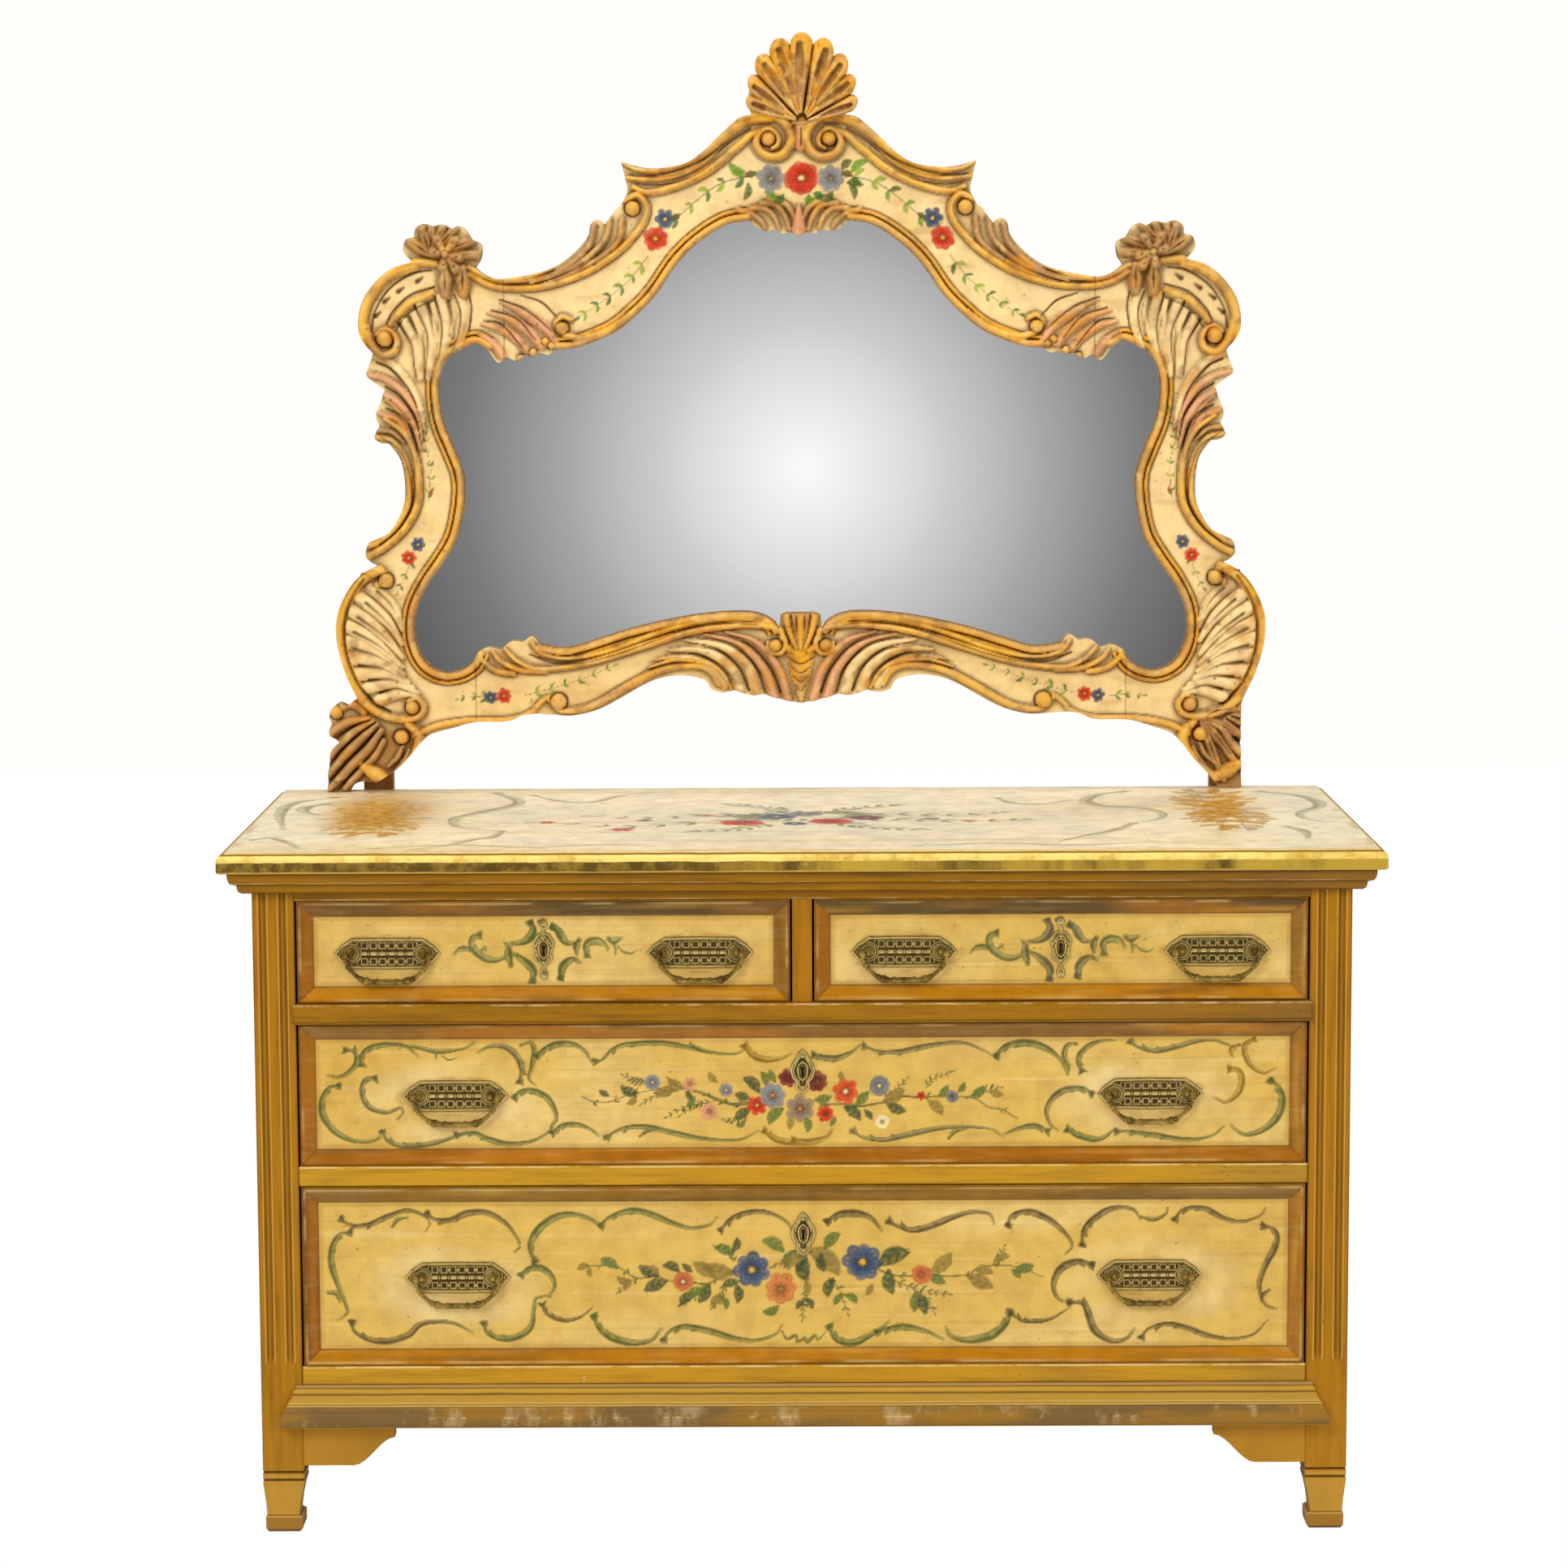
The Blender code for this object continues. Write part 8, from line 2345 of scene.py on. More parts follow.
@dataclass
class DrawerFront:
    """The painted face of one drawer, in millimetres from the middle of its front."""

    name: str
    centre: float
    low: float
    high: float
    half: float
    pulls: tuple[float, ...]
    step: float
    seed: int
    # glaze of the top, bottom, left and right bevel, with painted shade on the top one and painted
    # light on the bottom one
    bevel_glaze_and_light: tuple[Colour, Colour, Colour, Colour]
    scrolls: Sequence
    tones: Callable[[float, float], Tone]
    sprays: tuple[Sequence, Sequence, Sequence] = ((), (), ())
    face_y: float = -0.26115
    key_drop: float = 53.0
    profile: tuple[tuple[float, ...], tuple[float, ...]] = ((0, 1.2, 3.5, 16, 17.5),
            (1.2, 0, 0, 4.96, 6.2))
    border: float = 17.5
    proud: float = 0.15

    def ground(self, canvas: Canvas) -> None:
        """Brush the field: blotches, long streaks, worn light places round the pulls, painted
        shadow behind the plates and specks.

        Args:
            canvas: Canvas of the front.
        """
        canvas.mottle((0.55, 55, 26, 0.0, 2.0, linear(240, 208, 132)),
                      (0.40, 70, 30, 0.4, 2.2, linear(214, 166, 66)),
                      (0.32, 60, 0.9, 0.6, 2.6, linear(196, 154, 72)),
                      (0.26, 36, 1.1, 0.8, 2.8, linear(252, 228, 162)))
        for pull in self.pulls:
            for side in SIDES:
                reach = np.hypot((canvas.x - side * pull) / 92, (canvas.z + 10) / 44)
                halo = ramp(reach, 1.35, 0.75) * (0.6 + 0.25 * canvas.fog(20, 8))
                canvas.tint(EVERYWHERE, (0.55 if self.half > WIDE_HALF else 0.2) * halo,
                            linear(248, 226, 164))
                # painted shadow: a dark patch on the field behind each pierced plate
                behind = np.maximum(np.abs(canvas.x - side * pull) / 31, np.abs(canvas.z + 2) / 14)
                canvas.tint(EVERYWHERE, 0.92 * ramp(behind, 1.1, 0.9), linear(44, 32, 14))
                near = np.abs(np.hypot((canvas.x - side * pull) / 62, (canvas.z + 3) / 21) - 1.0)
                canvas.tint(EVERYWHERE, 0.4 * ramp(near, 0.13, 0.0)
                            * ramp(canvas.fog(5, 4), -0.3, 1.2), linear(176, 116, 40))
        canvas.mottle((0.55, 1.1, 1.0, 2.9, 3.7, Paint.BROWN.value))
        for _ in range(34):
            x = canvas.rng.uniform(-self.half, self.half)
            z = canvas.rng.uniform(canvas.zs[0], canvas.zs[-1])
            end = (x + canvas.rng.uniform(0.3, 2.2), z + canvas.rng.uniform(-0.4, 0.4))
            canvas.stroke(np.array([(x, z), end]), canvas.rng.uniform(0.35, 0.8), Paint.UMBER.value,
                          0.7)

    def frame_edge(self, canvas: Canvas, inset_x: np.ndarray, inset_z: np.ndarray) -> None:
        """Paint the bevelled edge: its own glaze on each side with painted shade and light by side,
        painted shade in the creases, and a worn arris with a painted highlight.

        Args:
            canvas: Canvas of the front.
            inset_x: Distance from the nearer end.
            inset_z: Distance from the nearer long edge.
        """
        inset = np.minimum(inset_x, inset_z)
        on_bevel = ramp(inset, self.border + 0.6, self.border - 0.4)
        flat = inset_z <= inset_x
        # the top bevel's colour is darkened as painted shade, the bottom one's brightened as
        # painted light
        for colour, where in zip(self.bevel_glaze_and_light, (flat & (canvas.z > 0), flat & (canvas.z <= 0),
                                               ~flat & (canvas.x < 0), ~flat & (canvas.x >= 0))):
            canvas.tint(EVERYWHERE, on_bevel * where, colour)
        along = np.where(flat, canvas.fog(46, 1.2), canvas.fog(1.2, 30))
        blotch = np.where(flat, canvas.fog(60, 6), canvas.fog(6, 30))
        canvas.tint(EVERYWHERE, 0.50 * on_bevel * ramp(along, 0.3, 2.2), linear(94, 66, 30))
        canvas.tint(EVERYWHERE, 0.45 * on_bevel * ramp(-along, 0.5, 2.4), linear(214, 160, 62))
        canvas.tint(EVERYWHERE, 0.55 * on_bevel * ramp(blotch, 0.5, 2.0), linear(196, 124, 22))
        canvas.tint(EVERYWHERE, 0.45 * on_bevel * ramp(-blotch, 0.7, 2.2), linear(112, 92, 56))
        # painted shade in the step where the bevel meets the field
        canvas.tint(EVERYWHERE, 0.80 * ramp(np.abs(inset - self.border - 0.2), 1.3, 0.2),
                    linear(96, 62, 20))
        canvas.tint(EVERYWHERE, 0.45 * ramp(np.abs(inset - self.border - 3.0), 4.0, 0.5),
                    linear(190, 142, 56))
        # painted shade along the front's outer edge, in the gap to the case
        canvas.tint(EVERYWHERE, 0.85 * ramp(inset, 2.0, 0.6), Paint.UMBER.value)
        # worn arris, lightened further as a painted highlight
        worn = ramp(np.abs(inset - 3.4), 1.5, 0.3) * ramp(canvas.fog(12, 6), -0.6, 1.2)
        canvas.tint(EVERYWHERE, 0.40 * worn, linear(240, 206, 128))
        for side in SIDES:
            for end in SIDES:
                corner = np.array((side * self.half, end * canvas.zs[-1]))
                canvas.stroke(np.array([corner, corner - (side * self.border, end * self.border)]),
                              0.55, Paint.BROWN.value, 0.7)

    def decorate(self, canvas: Canvas) -> None:
        """Paint the scroll border, the spray and painted shade behind the keyhole.

        Args:
            canvas: Canvas of the front.
        """
        brush = Brush(canvas)
        for points, width, fringe in self.scrolls:
            middle = np.mean(np.array(points), axis=0)
            brush.scroll(points, width, fringe, self.tones(middle[0], middle[1]))
        brush.bouquet(*self.sprays)
        # painted shade: a near-black patch behind the keyhole
        key = MM / 2 * (self.high - self.low) + 4.0 - self.key_drop
        hole = np.maximum(np.abs(canvas.x) / 4.0, np.abs(canvas.z - key + 3.5) / 8.5)
        canvas.tint(EVERYWHERE, 0.95 * ramp(hole, 1.1, 0.9), linear(20, 14, 8))

    def build(self, finish: Finish) -> None:
        """Paint the front and lay it over the drawer.

        Args:
            finish: Materials.
        """
        half, tall = self.half, (self.high - self.low) * (MM / 2)
        lines = (0, 1.2, 3.5, 5.6, 7.7, 9.8, 11.9, 14.0, 16.0, 17.5)
        canvas = Canvas(stepped(half, lines, self.step), stepped(tall, lines, self.step),
                        Paint.FIELD.value, self.seed)
        inset_x, inset_z = half - np.abs(canvas.x), tall - np.abs(canvas.z)
        canvas.height = (self.proud - np.interp(np.minimum(inset_x, inset_z), *self.profile)
                         + 0.03 * np.clip(canvas.fog(3, 1), -2, 2))
        self.ground(canvas)
        self.frame_edge(canvas, inset_x, inset_z)
        self.decorate(canvas)
        x, z = middles(canvas)
        key = tall - self.key_drop + 1.0
        cells = ~((np.abs(x) < 4.5) & (z > key - 12) & (z < key + 5))
        middle_z = (self.low + self.high) / 2
        place = upright(self.centre, self.face_y, middle_z)
        parts, split = {"face": cells}, FAR
        if half > WIDE_HALF:
            split = canvas.xs[len(canvas.xs) // 2]
            parts = {"face_left": cells & (x < split), "face_right": cells & (x > split)}
        for part, mask in parts.items():
            lay_skin(f"{self.name}_{part}", canvas, mask, place, finish.ornament, self.name,
                     seam=lambda flat: np.abs(flat[:, 0] - split) < TINY)


def wide_tone(x: float, z: float) -> Tone:
    """Return the shade of a scroll on the middle drawer."""
    if -60 < x < 30 or 440 < x < 500:
        return Tone.OCHRE
    return Tone.SLATE if (x * 7 + z * 3) % 5 < 1.3 else Tone.GREEN


def low_tone(x: float, z: float) -> Tone:
    """Return the shade of a scroll on the bottom drawer."""
    return Tone.GREEN if z < 0 < x < 230 or (x * 5 + z) % 7 < 1.2 else Tone.BROWN


def drawer_fronts() -> list[DrawerFront]:
    """Return the four painted fronts."""
    # bevel colour top, bottom, left, right: the top darkened as painted shade, the bottom
    # brightened as painted light
    small = (linear(100, 78, 38), linear(188, 124, 4), linear(164, 102, 14), linear(156, 106, 34))
    middle = (linear(146, 104, 44), linear(166, 102, 4), linear(166, 104, 16), linear(166, 110, 28))
    bottom = (linear(152, 110, 34), linear(184, 120, 2), linear(164, 102, 14), linear(168, 112, 30))
    return [DrawerFront("small_left_drawer", -0.282625, 0.5951, 0.708, 269.375, (171.0,), 1.0, 41,
                        small, SMALL_SCROLLS, lambda x,
                        z: Tone.GREEN if abs(x) < 40 else Tone.SAGE),
            DrawerFront("small_right_drawer", 0.282625, 0.5951, 0.708, 269.375, (171.0,), 1.0, 42,
                        small, SMALL_SCROLLS, lambda x,
                        z: Tone.SLATE if abs(x) < 45 else Tone.SAGE),
            DrawerFront("middle_drawer", 0.0, 0.4141, 0.572, 552.0, (381.5,), 1.2, 43, middle,
                        MIDDLE_SCROLLS, wide_tone, (MIDDLE_STEMS, MIDDLE_LEAVES, MIDDLE_FLOWERS)),
            DrawerFront("bottom_drawer", 0.0, 0.1891, 0.390, 552.0, (381.5,), 1.35, 44, bottom,
                        BOTTOM_SCROLLS, low_tone, (BOTTOM_STEMS, BOTTOM_LEAVES, BOTTOM_FLOWERS)),]


@dataclass
class PaintedTop:
    """The painted upper face of the top board, in millimetres from the world's middle."""

    half: float = 625.0
    front: float = -286.65
    back: float = 273.35
    level: float = 0.766
    step: float = 2.3
    seed: int = 51

    def ground(self, canvas: Canvas) -> None:
        """Mottle the cream ground, with amber shadows near the ends and rubbed edges.

        Args:
            canvas: Canvas of the top.
        """
        canvas.mottle((0.5, 40, 24, 0.1, 2.0, linear(236, 206, 138)),
                      (0.4, 60, 2, 0.6, 2.4, linear(222, 186, 116)),
                      (0.4, 24, 3, 0.8, 2.6, linear(250, 236, 200)))
        for centre, reach, colour, share in (((-488, 60), (70, 190), linear(206, 156, 62), 0.8),
                                             ((485, 100), (60, 150), linear(222, 184, 104), 0.45)):
            away = np.hypot((canvas.x - centre[0]) / reach[0], (canvas.z - centre[1]) / reach[1])
            canvas.tint(EVERYWHERE, share * ramp(away, 1.35, 0.4), colour)
        rim = np.minimum(self.half - np.abs(canvas.x),
                         np.minimum(canvas.z - self.front, self.back - canvas.z))
        canvas.tint(EVERYWHERE, 0.55 * ramp(rim, 14, 1) * ramp(canvas.fog(8, 8), -0.4, 1.4),
                    linear(168, 128, 62))
        canvas.mottle((0.6, 1, 1, 2.9, 3.8, Paint.BROWN.value))

    def decorate(self, canvas: Canvas) -> None:
        """Paint the scrolls, the orange-brown sprays and the rows of flowers.

        Args:
            canvas: Canvas of the top.
        """
        brush = Brush(canvas)
        for points, width, fringe in TOP_SCROLLS:
            brush.scroll(points, width, fringe, Tone.FADED)
        for middle_x, middle_y, across, deep in ((-488, -6, 52, 138), (485, 51, 42, 165)):
            for turn in np.linspace(0, 2 * math.pi, 11)[:-1]:
                way = np.array((math.cos(turn) * across, math.sin(turn) * deep))
                bend = left_of(way) * (0.10 if across < deep else 0.2)
                points = [(middle_x, middle_y),
                          tuple(np.array((middle_x, middle_y)) + way * 0.5 + bend * 0.3),
                          tuple(np.array((middle_x, middle_y)) + way)]
                brush.spray(points, 1.6, 4, 0.3 * float(np.hypot(*way)) + 8, 0.42,
                            linear(192, 142, 54))
            for turn in np.linspace(0, 2 * math.pi, 6)[:-1]:
                way = np.array((math.cos(turn) * across, math.sin(turn) * deep)) * 0.33
                brush.flower((middle_x + way[0], middle_y + way[1]), 15.0, linear(206, 150, 62), 6,
                             linear(160, 108, 36))
        for points, width in TOP_STEMS:
            brush.spray(points, width, 7, 26.0, 0.36, linear(126, 128, 72))
        for turn in np.linspace(0, 2 * math.pi, 25)[:-1]:
            way = np.array((math.cos(turn) * 92, math.sin(turn) * 46))
            brush.leaf(tuple(way * 0.55), tuple(way * canvas.rng.uniform(0.85, 1.2)), 6.0,
                       linear(120, 128, 66))
        brush.bouquet((), (), TOP_FLOWERS)

    def build(self, finish: Finish) -> None:
        """Paint the top and lay it on the board.

        Args:
            finish: Materials.
        """
        xs = np.linspace(-self.half, self.half, round(2 * self.half / self.step) // 2 * 2 + 1)
        ys = np.linspace(self.front, self.back, round((self.back - self.front) / self.step) + 1)
        canvas = Canvas(xs, ys, Paint.TOP.value, self.seed)
        self.ground(canvas)
        self.decorate(canvas)
        canvas.height = 0.15 + 0.04 * np.clip(canvas.fog(3, 3), -2, 2)
        x, _ = middles(canvas)

        def place(flat: np.ndarray, height: np.ndarray) -> np.ndarray:
            """Lay canvas points on the top."""
            return np.column_stack((flat[:, 0] / MM, flat[:, 1] / MM, self.level + height / MM))

        for part, mask in (("left", x < 0), ("right", x > 0)):
            lay_skin(f"top_face_{part}", canvas, mask, place, finish.top, "case",
                     seam=lambda flat: np.abs(flat[:, 0]) < TINY)


SIDE_SCROLLS = [
    ([(-16, 206), (-44, 222), (-84, 218), (-104, 204), (-98, 190)], 3.4, -1),
    ([(-102, 214), (-132, 226), (-168, 220), (-188, 196), (-182, 176)], 3.6, -1),
    ([(-186, 186), (-200, 150), (-196, 108), (-180, 92)], 3.4, 1),
    ([(-184, 100), (-200, 66), (-194, 30), (-178, 4)], 3.2, 1),
    ([(-26, 200), (-14, 190), (0, 196)], 2.2, 0),
]


@dataclass
class SidePanels:
    """The painted panels of both ends and the beads that hold them, in millimetres."""

    front: float = -216.35
    back: float = 228.35
    low: float = 180.5
    high: float = 682.0
    face: float = 0.590
    bead: float = 8.5
    bead_height: float = 7.5
    step: float = 2.2

    def build(self, finish: Finish) -> None:
        """Paint both panels.

        Args:
            finish: Materials.
        """
        half, tall = (self.back - self.front) / 2, (self.high - self.low) / 2
        lines = (0, 0.9, 2.0, 3.4, 5.0, 6.6, 8.5, 9.8)
        for name, side in (("left", -1), ("right", 1)):
            canvas = Canvas(stepped(half, lines, self.step), stepped(tall, lines, self.step),
                            linear(232, 200, 124), 61 + side)
            inset = np.minimum(half - np.abs(canvas.x), tall - np.abs(canvas.z))
            canvas.mottle((0.5, 40, 40, 0.1, 2.0, linear(238, 212, 146)),
                          (0.4, 1.0, 50, 0.6, 2.6, linear(200, 158, 80)))
            canvas.tint(EVERYWHERE, 0.5 * ramp(inset, 46, 8) * ramp(canvas.fog(20, 20), -1.2, 1.5),
                        linear(196, 146, 62))
            brush = Brush(canvas)
            for turn_x in (-1, 1):
                for turn_z in (-1, 1):
                    for points, width, fringe in SIDE_SCROLLS:
                        brush.scroll([(x * turn_x, z * turn_z) for x, z in points], width * 1.3,
                                     fringe * turn_x * turn_z, Tone.GREEN)
            share = 0.62
            brush.bouquet([([(x * share, z * share * 1.35) for x, z in points], width) for points,
                           width in BOTTOM_STEMS],
                          [((a[0] * share, a[1] * share * 1.35),
                            (b[0] * share, b[1] * share * 1.35)) for a, b in BOTTOM_LEAVES],
                          [((place[0] * share, place[1] * share * 1.35), radius * 0.85, colour,
                            petals, heart) for place, radius, colour, petals,
                           heart in BOTTOM_FLOWERS])
            on_bead = ramp(inset, self.bead + 0.4, self.bead - 0.6)
            canvas.tint(EVERYWHERE, on_bead, linear(172, 118, 30))
            canvas.tint(EVERYWHERE, 0.6 * on_bead * ramp(canvas.fog(9, 9), 0.0, 1.8),
                        linear(118, 78, 26))
            # worn, lighter line along the bead, partly a painted highlight
            canvas.tint(EVERYWHERE, 0.5 * ramp(np.abs(inset - 3.2), 2.2, 0.4)
                        * ramp(canvas.fog(14, 14), -0.6, 1.2), linear(226, 182, 92))
            # painted shade at the bead's foot and along the panel's outer edge
            canvas.tint(EVERYWHERE, 0.85 * ramp(np.abs(inset - self.bead - 0.6), 1.8, 0.3),
                        Paint.BROWN.value)
            canvas.tint(EVERYWHERE, 0.8 * ramp(inset, 1.4, 0.2), Paint.BROWN.value)
            canvas.mottle((0.55, 1, 1, 2.9, 3.7, Paint.BROWN.value))
            canvas.height = (0.15 + self.bead_height
                             * np.sqrt(np.clip(1 - (inset / self.bead) ** 2, 0, 1)) + 0.05
                             * np.clip(canvas.fog(2, 5), -2, 2))
            centre_y, centre_z = (self.front + self.back) / 2, (self.low + self.high) / 2

            def place(flat: np.ndarray, height: np.ndarray) -> np.ndarray:
                """Stand canvas points on this end."""
                return np.column_stack((side * (self.face + height / MM),
                                        (centre_y + side * flat[:, 0]) / MM,
                                        (centre_z + flat[:, 1]) / MM))

            lay_skin(f"{name}_painted_panel", canvas,
                     np.ones((len(canvas.zs) - 1, len(canvas.xs) - 1), bool), place,
                     finish.ornament, "case")


def circle_path(centre: Point, radius: float, parts: int = 28) -> np.ndarray:
    """Return a closed circle.

    Args:
        centre: Its middle.
        radius: Its radius.
        parts: Number of parts.

    Returns:
        Its points, the first again at the end.
    """
    turn = np.linspace(0, 2 * math.pi, parts + 1)
    return np.column_stack((centre[0] + radius * np.cos(turn), centre[1] + radius * np.sin(turn)))


def spaced(loop: np.ndarray, gap: float) -> np.ndarray:
    """Return evenly spaced points along a closed loop.

    Args:
        loop: Points of the loop.
        gap: Distance between the points, about.

    Returns:
        The spaced points.
    """
    line = np.vstack((loop, loop[:1])) if np.linalg.norm(loop[0] - loop[-1]) > TINY else loop
    walked = np.concatenate(([0], np.cumsum(np.linalg.norm(np.diff(line, axis=0), axis=1))))
    count = round(walked[-1] / gap)
    return np.array([[np.interp(walked[-1] * i / count, walked, line[:, axis]) for axis in (0, 1)]
                     for i in range(count)])


def inward(loop: np.ndarray, distance: float) -> np.ndarray:
    """Return a closed path that runs inside a loop.

    Args:
        loop: Points of the loop.
        distance: Distance from it.

    Returns:
        The points, the first again at the end.
    """
    closed = np.vstack((loop, loop[:1]))
    moved = beside(closed, distance)
    if not within(moved[1:2], loop)[0]:
        moved = beside(closed, -distance)
    return moved


class Sprig:
    """Geometry Nodes trees for what follows a path or repeats along it."""

    def __init__(self) -> None:
        """Build the trees."""
        self.rod = self.rod_tree()
        self.row = self.row_tree()

    @staticmethod
    def start(name: str, sizes: dict[str, str]) -> tuple[Graph, Callable[[str], Flow]]:
        """Start a tree with a geometry and named sizes as its inputs.

        Args:
            name: Name of the tree.
            sizes: Kind of socket by the input's name.

        Returns:
            The tree's builder and what gives an input by its name.
        """
        tree = bpy.data.node_groups.new(name, "GeometryNodeTree")
        tree.interface.new_socket("Geometry", in_out="INPUT", socket_type="NodeSocketGeometry")
        for size, kind in sizes.items():
            tree.interface.new_socket(size, in_out="INPUT", socket_type=f"NodeSocket{kind}")
        tree.interface.new_socket("Geometry", in_out="OUTPUT", socket_type="NodeSocketGeometry")
        entry = tree.nodes.new("NodeGroupInput")
        return Graph(tree), lambda wanted: Flow(tree, entry.outputs[wanted])

    @staticmethod
    def end(graph: Graph, made: Flow, finish: Flow) -> bpy.types.NodeTree:
        """End a tree: instances made real, then the material.

        Args:
            graph: The tree's builder.
            made: What it makes.
            finish: The material's input.

        Returns:
            The tree.
        """
        real = graph.node("GeometryNodeRealizeInstances", {"Geometry": made})
        dressed = graph.node("GeometryNodeSetMaterial", {"Geometry": real, "Material": finish})
        feed(graph.tree, dressed, graph.tree.nodes.new("NodeGroupOutput").inputs[0])
        return graph.tree

    def rod_tree(self) -> bpy.types.NodeTree:
        """Build the tree of a cast rod: a round section of changing radius with knobs on it."""
        graph, given = self.start("cast_rod",
                                  {"Sides": "Int", "Knob radius": "Float", "Material": "Material"})
        tree = graph.tree
        wide = graph.node("GeometryNodeInputNamedAttribute", {"Name": "radius"}, data_type="FLOAT")
        knobs = graph.node("GeometryNodeInputNamedAttribute", {"Name": "knob"}, data_type="FLOAT")
        path = graph.node("GeometryNodeMeshToCurve", {"Mesh": given("Geometry")})
        ring = graph.node("GeometryNodeCurvePrimitiveCircle", {"Resolution": given("Sides")})
        rod = graph.node("GeometryNodeCurveToMesh",
                         {"Curve": path, "Profile Curve": ring, "Scale": wide, "Fill Caps": True})
        ball = graph.node("GeometryNodeMeshUVSphere", {"Segments": 14, "Rings": 9,
                                                       "Radius": given("Knob radius")})
        chosen = knobs.maths("GREATER_THAN", 0.0)
        balls = graph.node("GeometryNodeInstanceOnPoints",
                           {"Points": given("Geometry"), "Selection": chosen, "Instance": ball,
                            "Scale": knobs})
        join = tree.nodes.new("GeometryNodeJoinGeometry")
        feed(tree, rod, join.inputs[0])
        feed(tree, balls, join.inputs[0])
        return self.end(graph, Flow(tree, join.outputs[0]), given("Material"))

    def row_tree(self) -> bpy.types.NodeTree:
        """Build the tree of a row: small domed heads on points, each a little different."""
        graph, given = self.start("domed_row",
                                  {"Radius": "Float", "Flatness": "Vector", "Spread": "Float",
                                   "Seed": "Int", "Material": "Material"})
        head = graph.node("GeometryNodeMeshIcoSphere", {"Radius": given("Radius"),
                                                        "Subdivisions": 2})
        spread = given("Spread")
        size = graph.node("FunctionNodeRandomValue", {2: 1.0 - spread, 3: 1.0 + spread,
                                                      "Seed": given("Seed")}, output=1)
        shape = graph.node("ShaderNodeVectorMath", {0: given("Flatness"), "Scale": size},
                           operation="SCALE")
        heads = graph.node("GeometryNodeInstanceOnPoints", {"Points": given("Geometry"),
                                                            "Instance": head, "Scale": shape})
        return self.end(graph, heads, given("Material"))

    def grow(self, name: str, tree: bpy.types.NodeTree, points: np.ndarray,
             sizes: dict[str, object],
             values: dict[str, np.ndarray] | None = None) -> bpy.types.Object:
        """Run a tree on a path or points and keep the result as a plain mesh.

        Args:
            name: Name of the piece.
            tree: Tree to run.
            points: Places in metres.
            sizes: Values of the tree's inputs by name.
            values: Attributes of the points; with them the points are joined into a path.

        Returns:
            The piece.
        """
        mesh = bpy.data.meshes.new(name)
        edges = [(i, i + 1) for i in range(len(points) - 1)] if values else []
        mesh.from_pydata(np.asarray(points).tolist(), edges, [])
        for key, column in (values or {}).items():
            mesh.attributes.new(key, "FLOAT", "POINT").data.foreach_set("value",
                    np.asarray(column, np.float32))
        item = bpy.data.objects.new(name, mesh)
        bpy.context.scene.collection.objects.link(item)
        modifier = item.modifiers.new("grow", "NODES")
        modifier.node_group = tree
        for socket in tree.interface.items_tree:
            if socket.in_out == "INPUT" and socket.name in sizes:
                modifier[socket.identifier] = sizes[socket.name]
        state = bpy.context.evaluated_depsgraph_get()
        made = bpy.data.meshes.new_from_object(item.evaluated_get(state))
        item.modifiers.clear()
        item.data = made
        made.name = name
        made.shade_smooth()
        made.set_sharp_from_angle(angle=CAST_ANGLE)
        return item


PLATE_HALF = [(0, 17.5), (39, 16.98), (43.3, 14), (51.2, 8.75), (58.75, 0)]
BAIL_HALF = [(38.8, 0), (43.1, 0), (44.9, -0.6), (45.9, -3.6), (44.3, -11), (38, -19.5),
    (30, -26.2), (22, -29.6),
             (13.2, -30.5), (0, -30.5)]
BAIL_RADII = [1.5, 1.5, 1.84, 2.3, 2.0, 2.1, 2.4, 2.4, 2.7, 3.2]
SMALL_KEY = [(0, 33.5), (3.5, 32), (5, 28.5), (3.5, 25), (1.8, 23), (1.8, 19), (6.9, 17.9),
    (9.25, 13.7), (12.5, 9.9),
             (10.75, 1.9), (9, -3.8), (10.75, -9.9), (5.6, -15.2), (1.8, -19), (4, -24), (5, -28.5),
             (3, -32.5),
             (0, -33.5)]
WIDE_KEY = [(0, 1), (0.34, 0.84), (0.60, 0.55), (0.92, 0.28), (1, 0), (0.82, -0.32), (0.55, -0.48),
    (0.60, -0.70),
            (0.34, -0.86), (0, -1)]


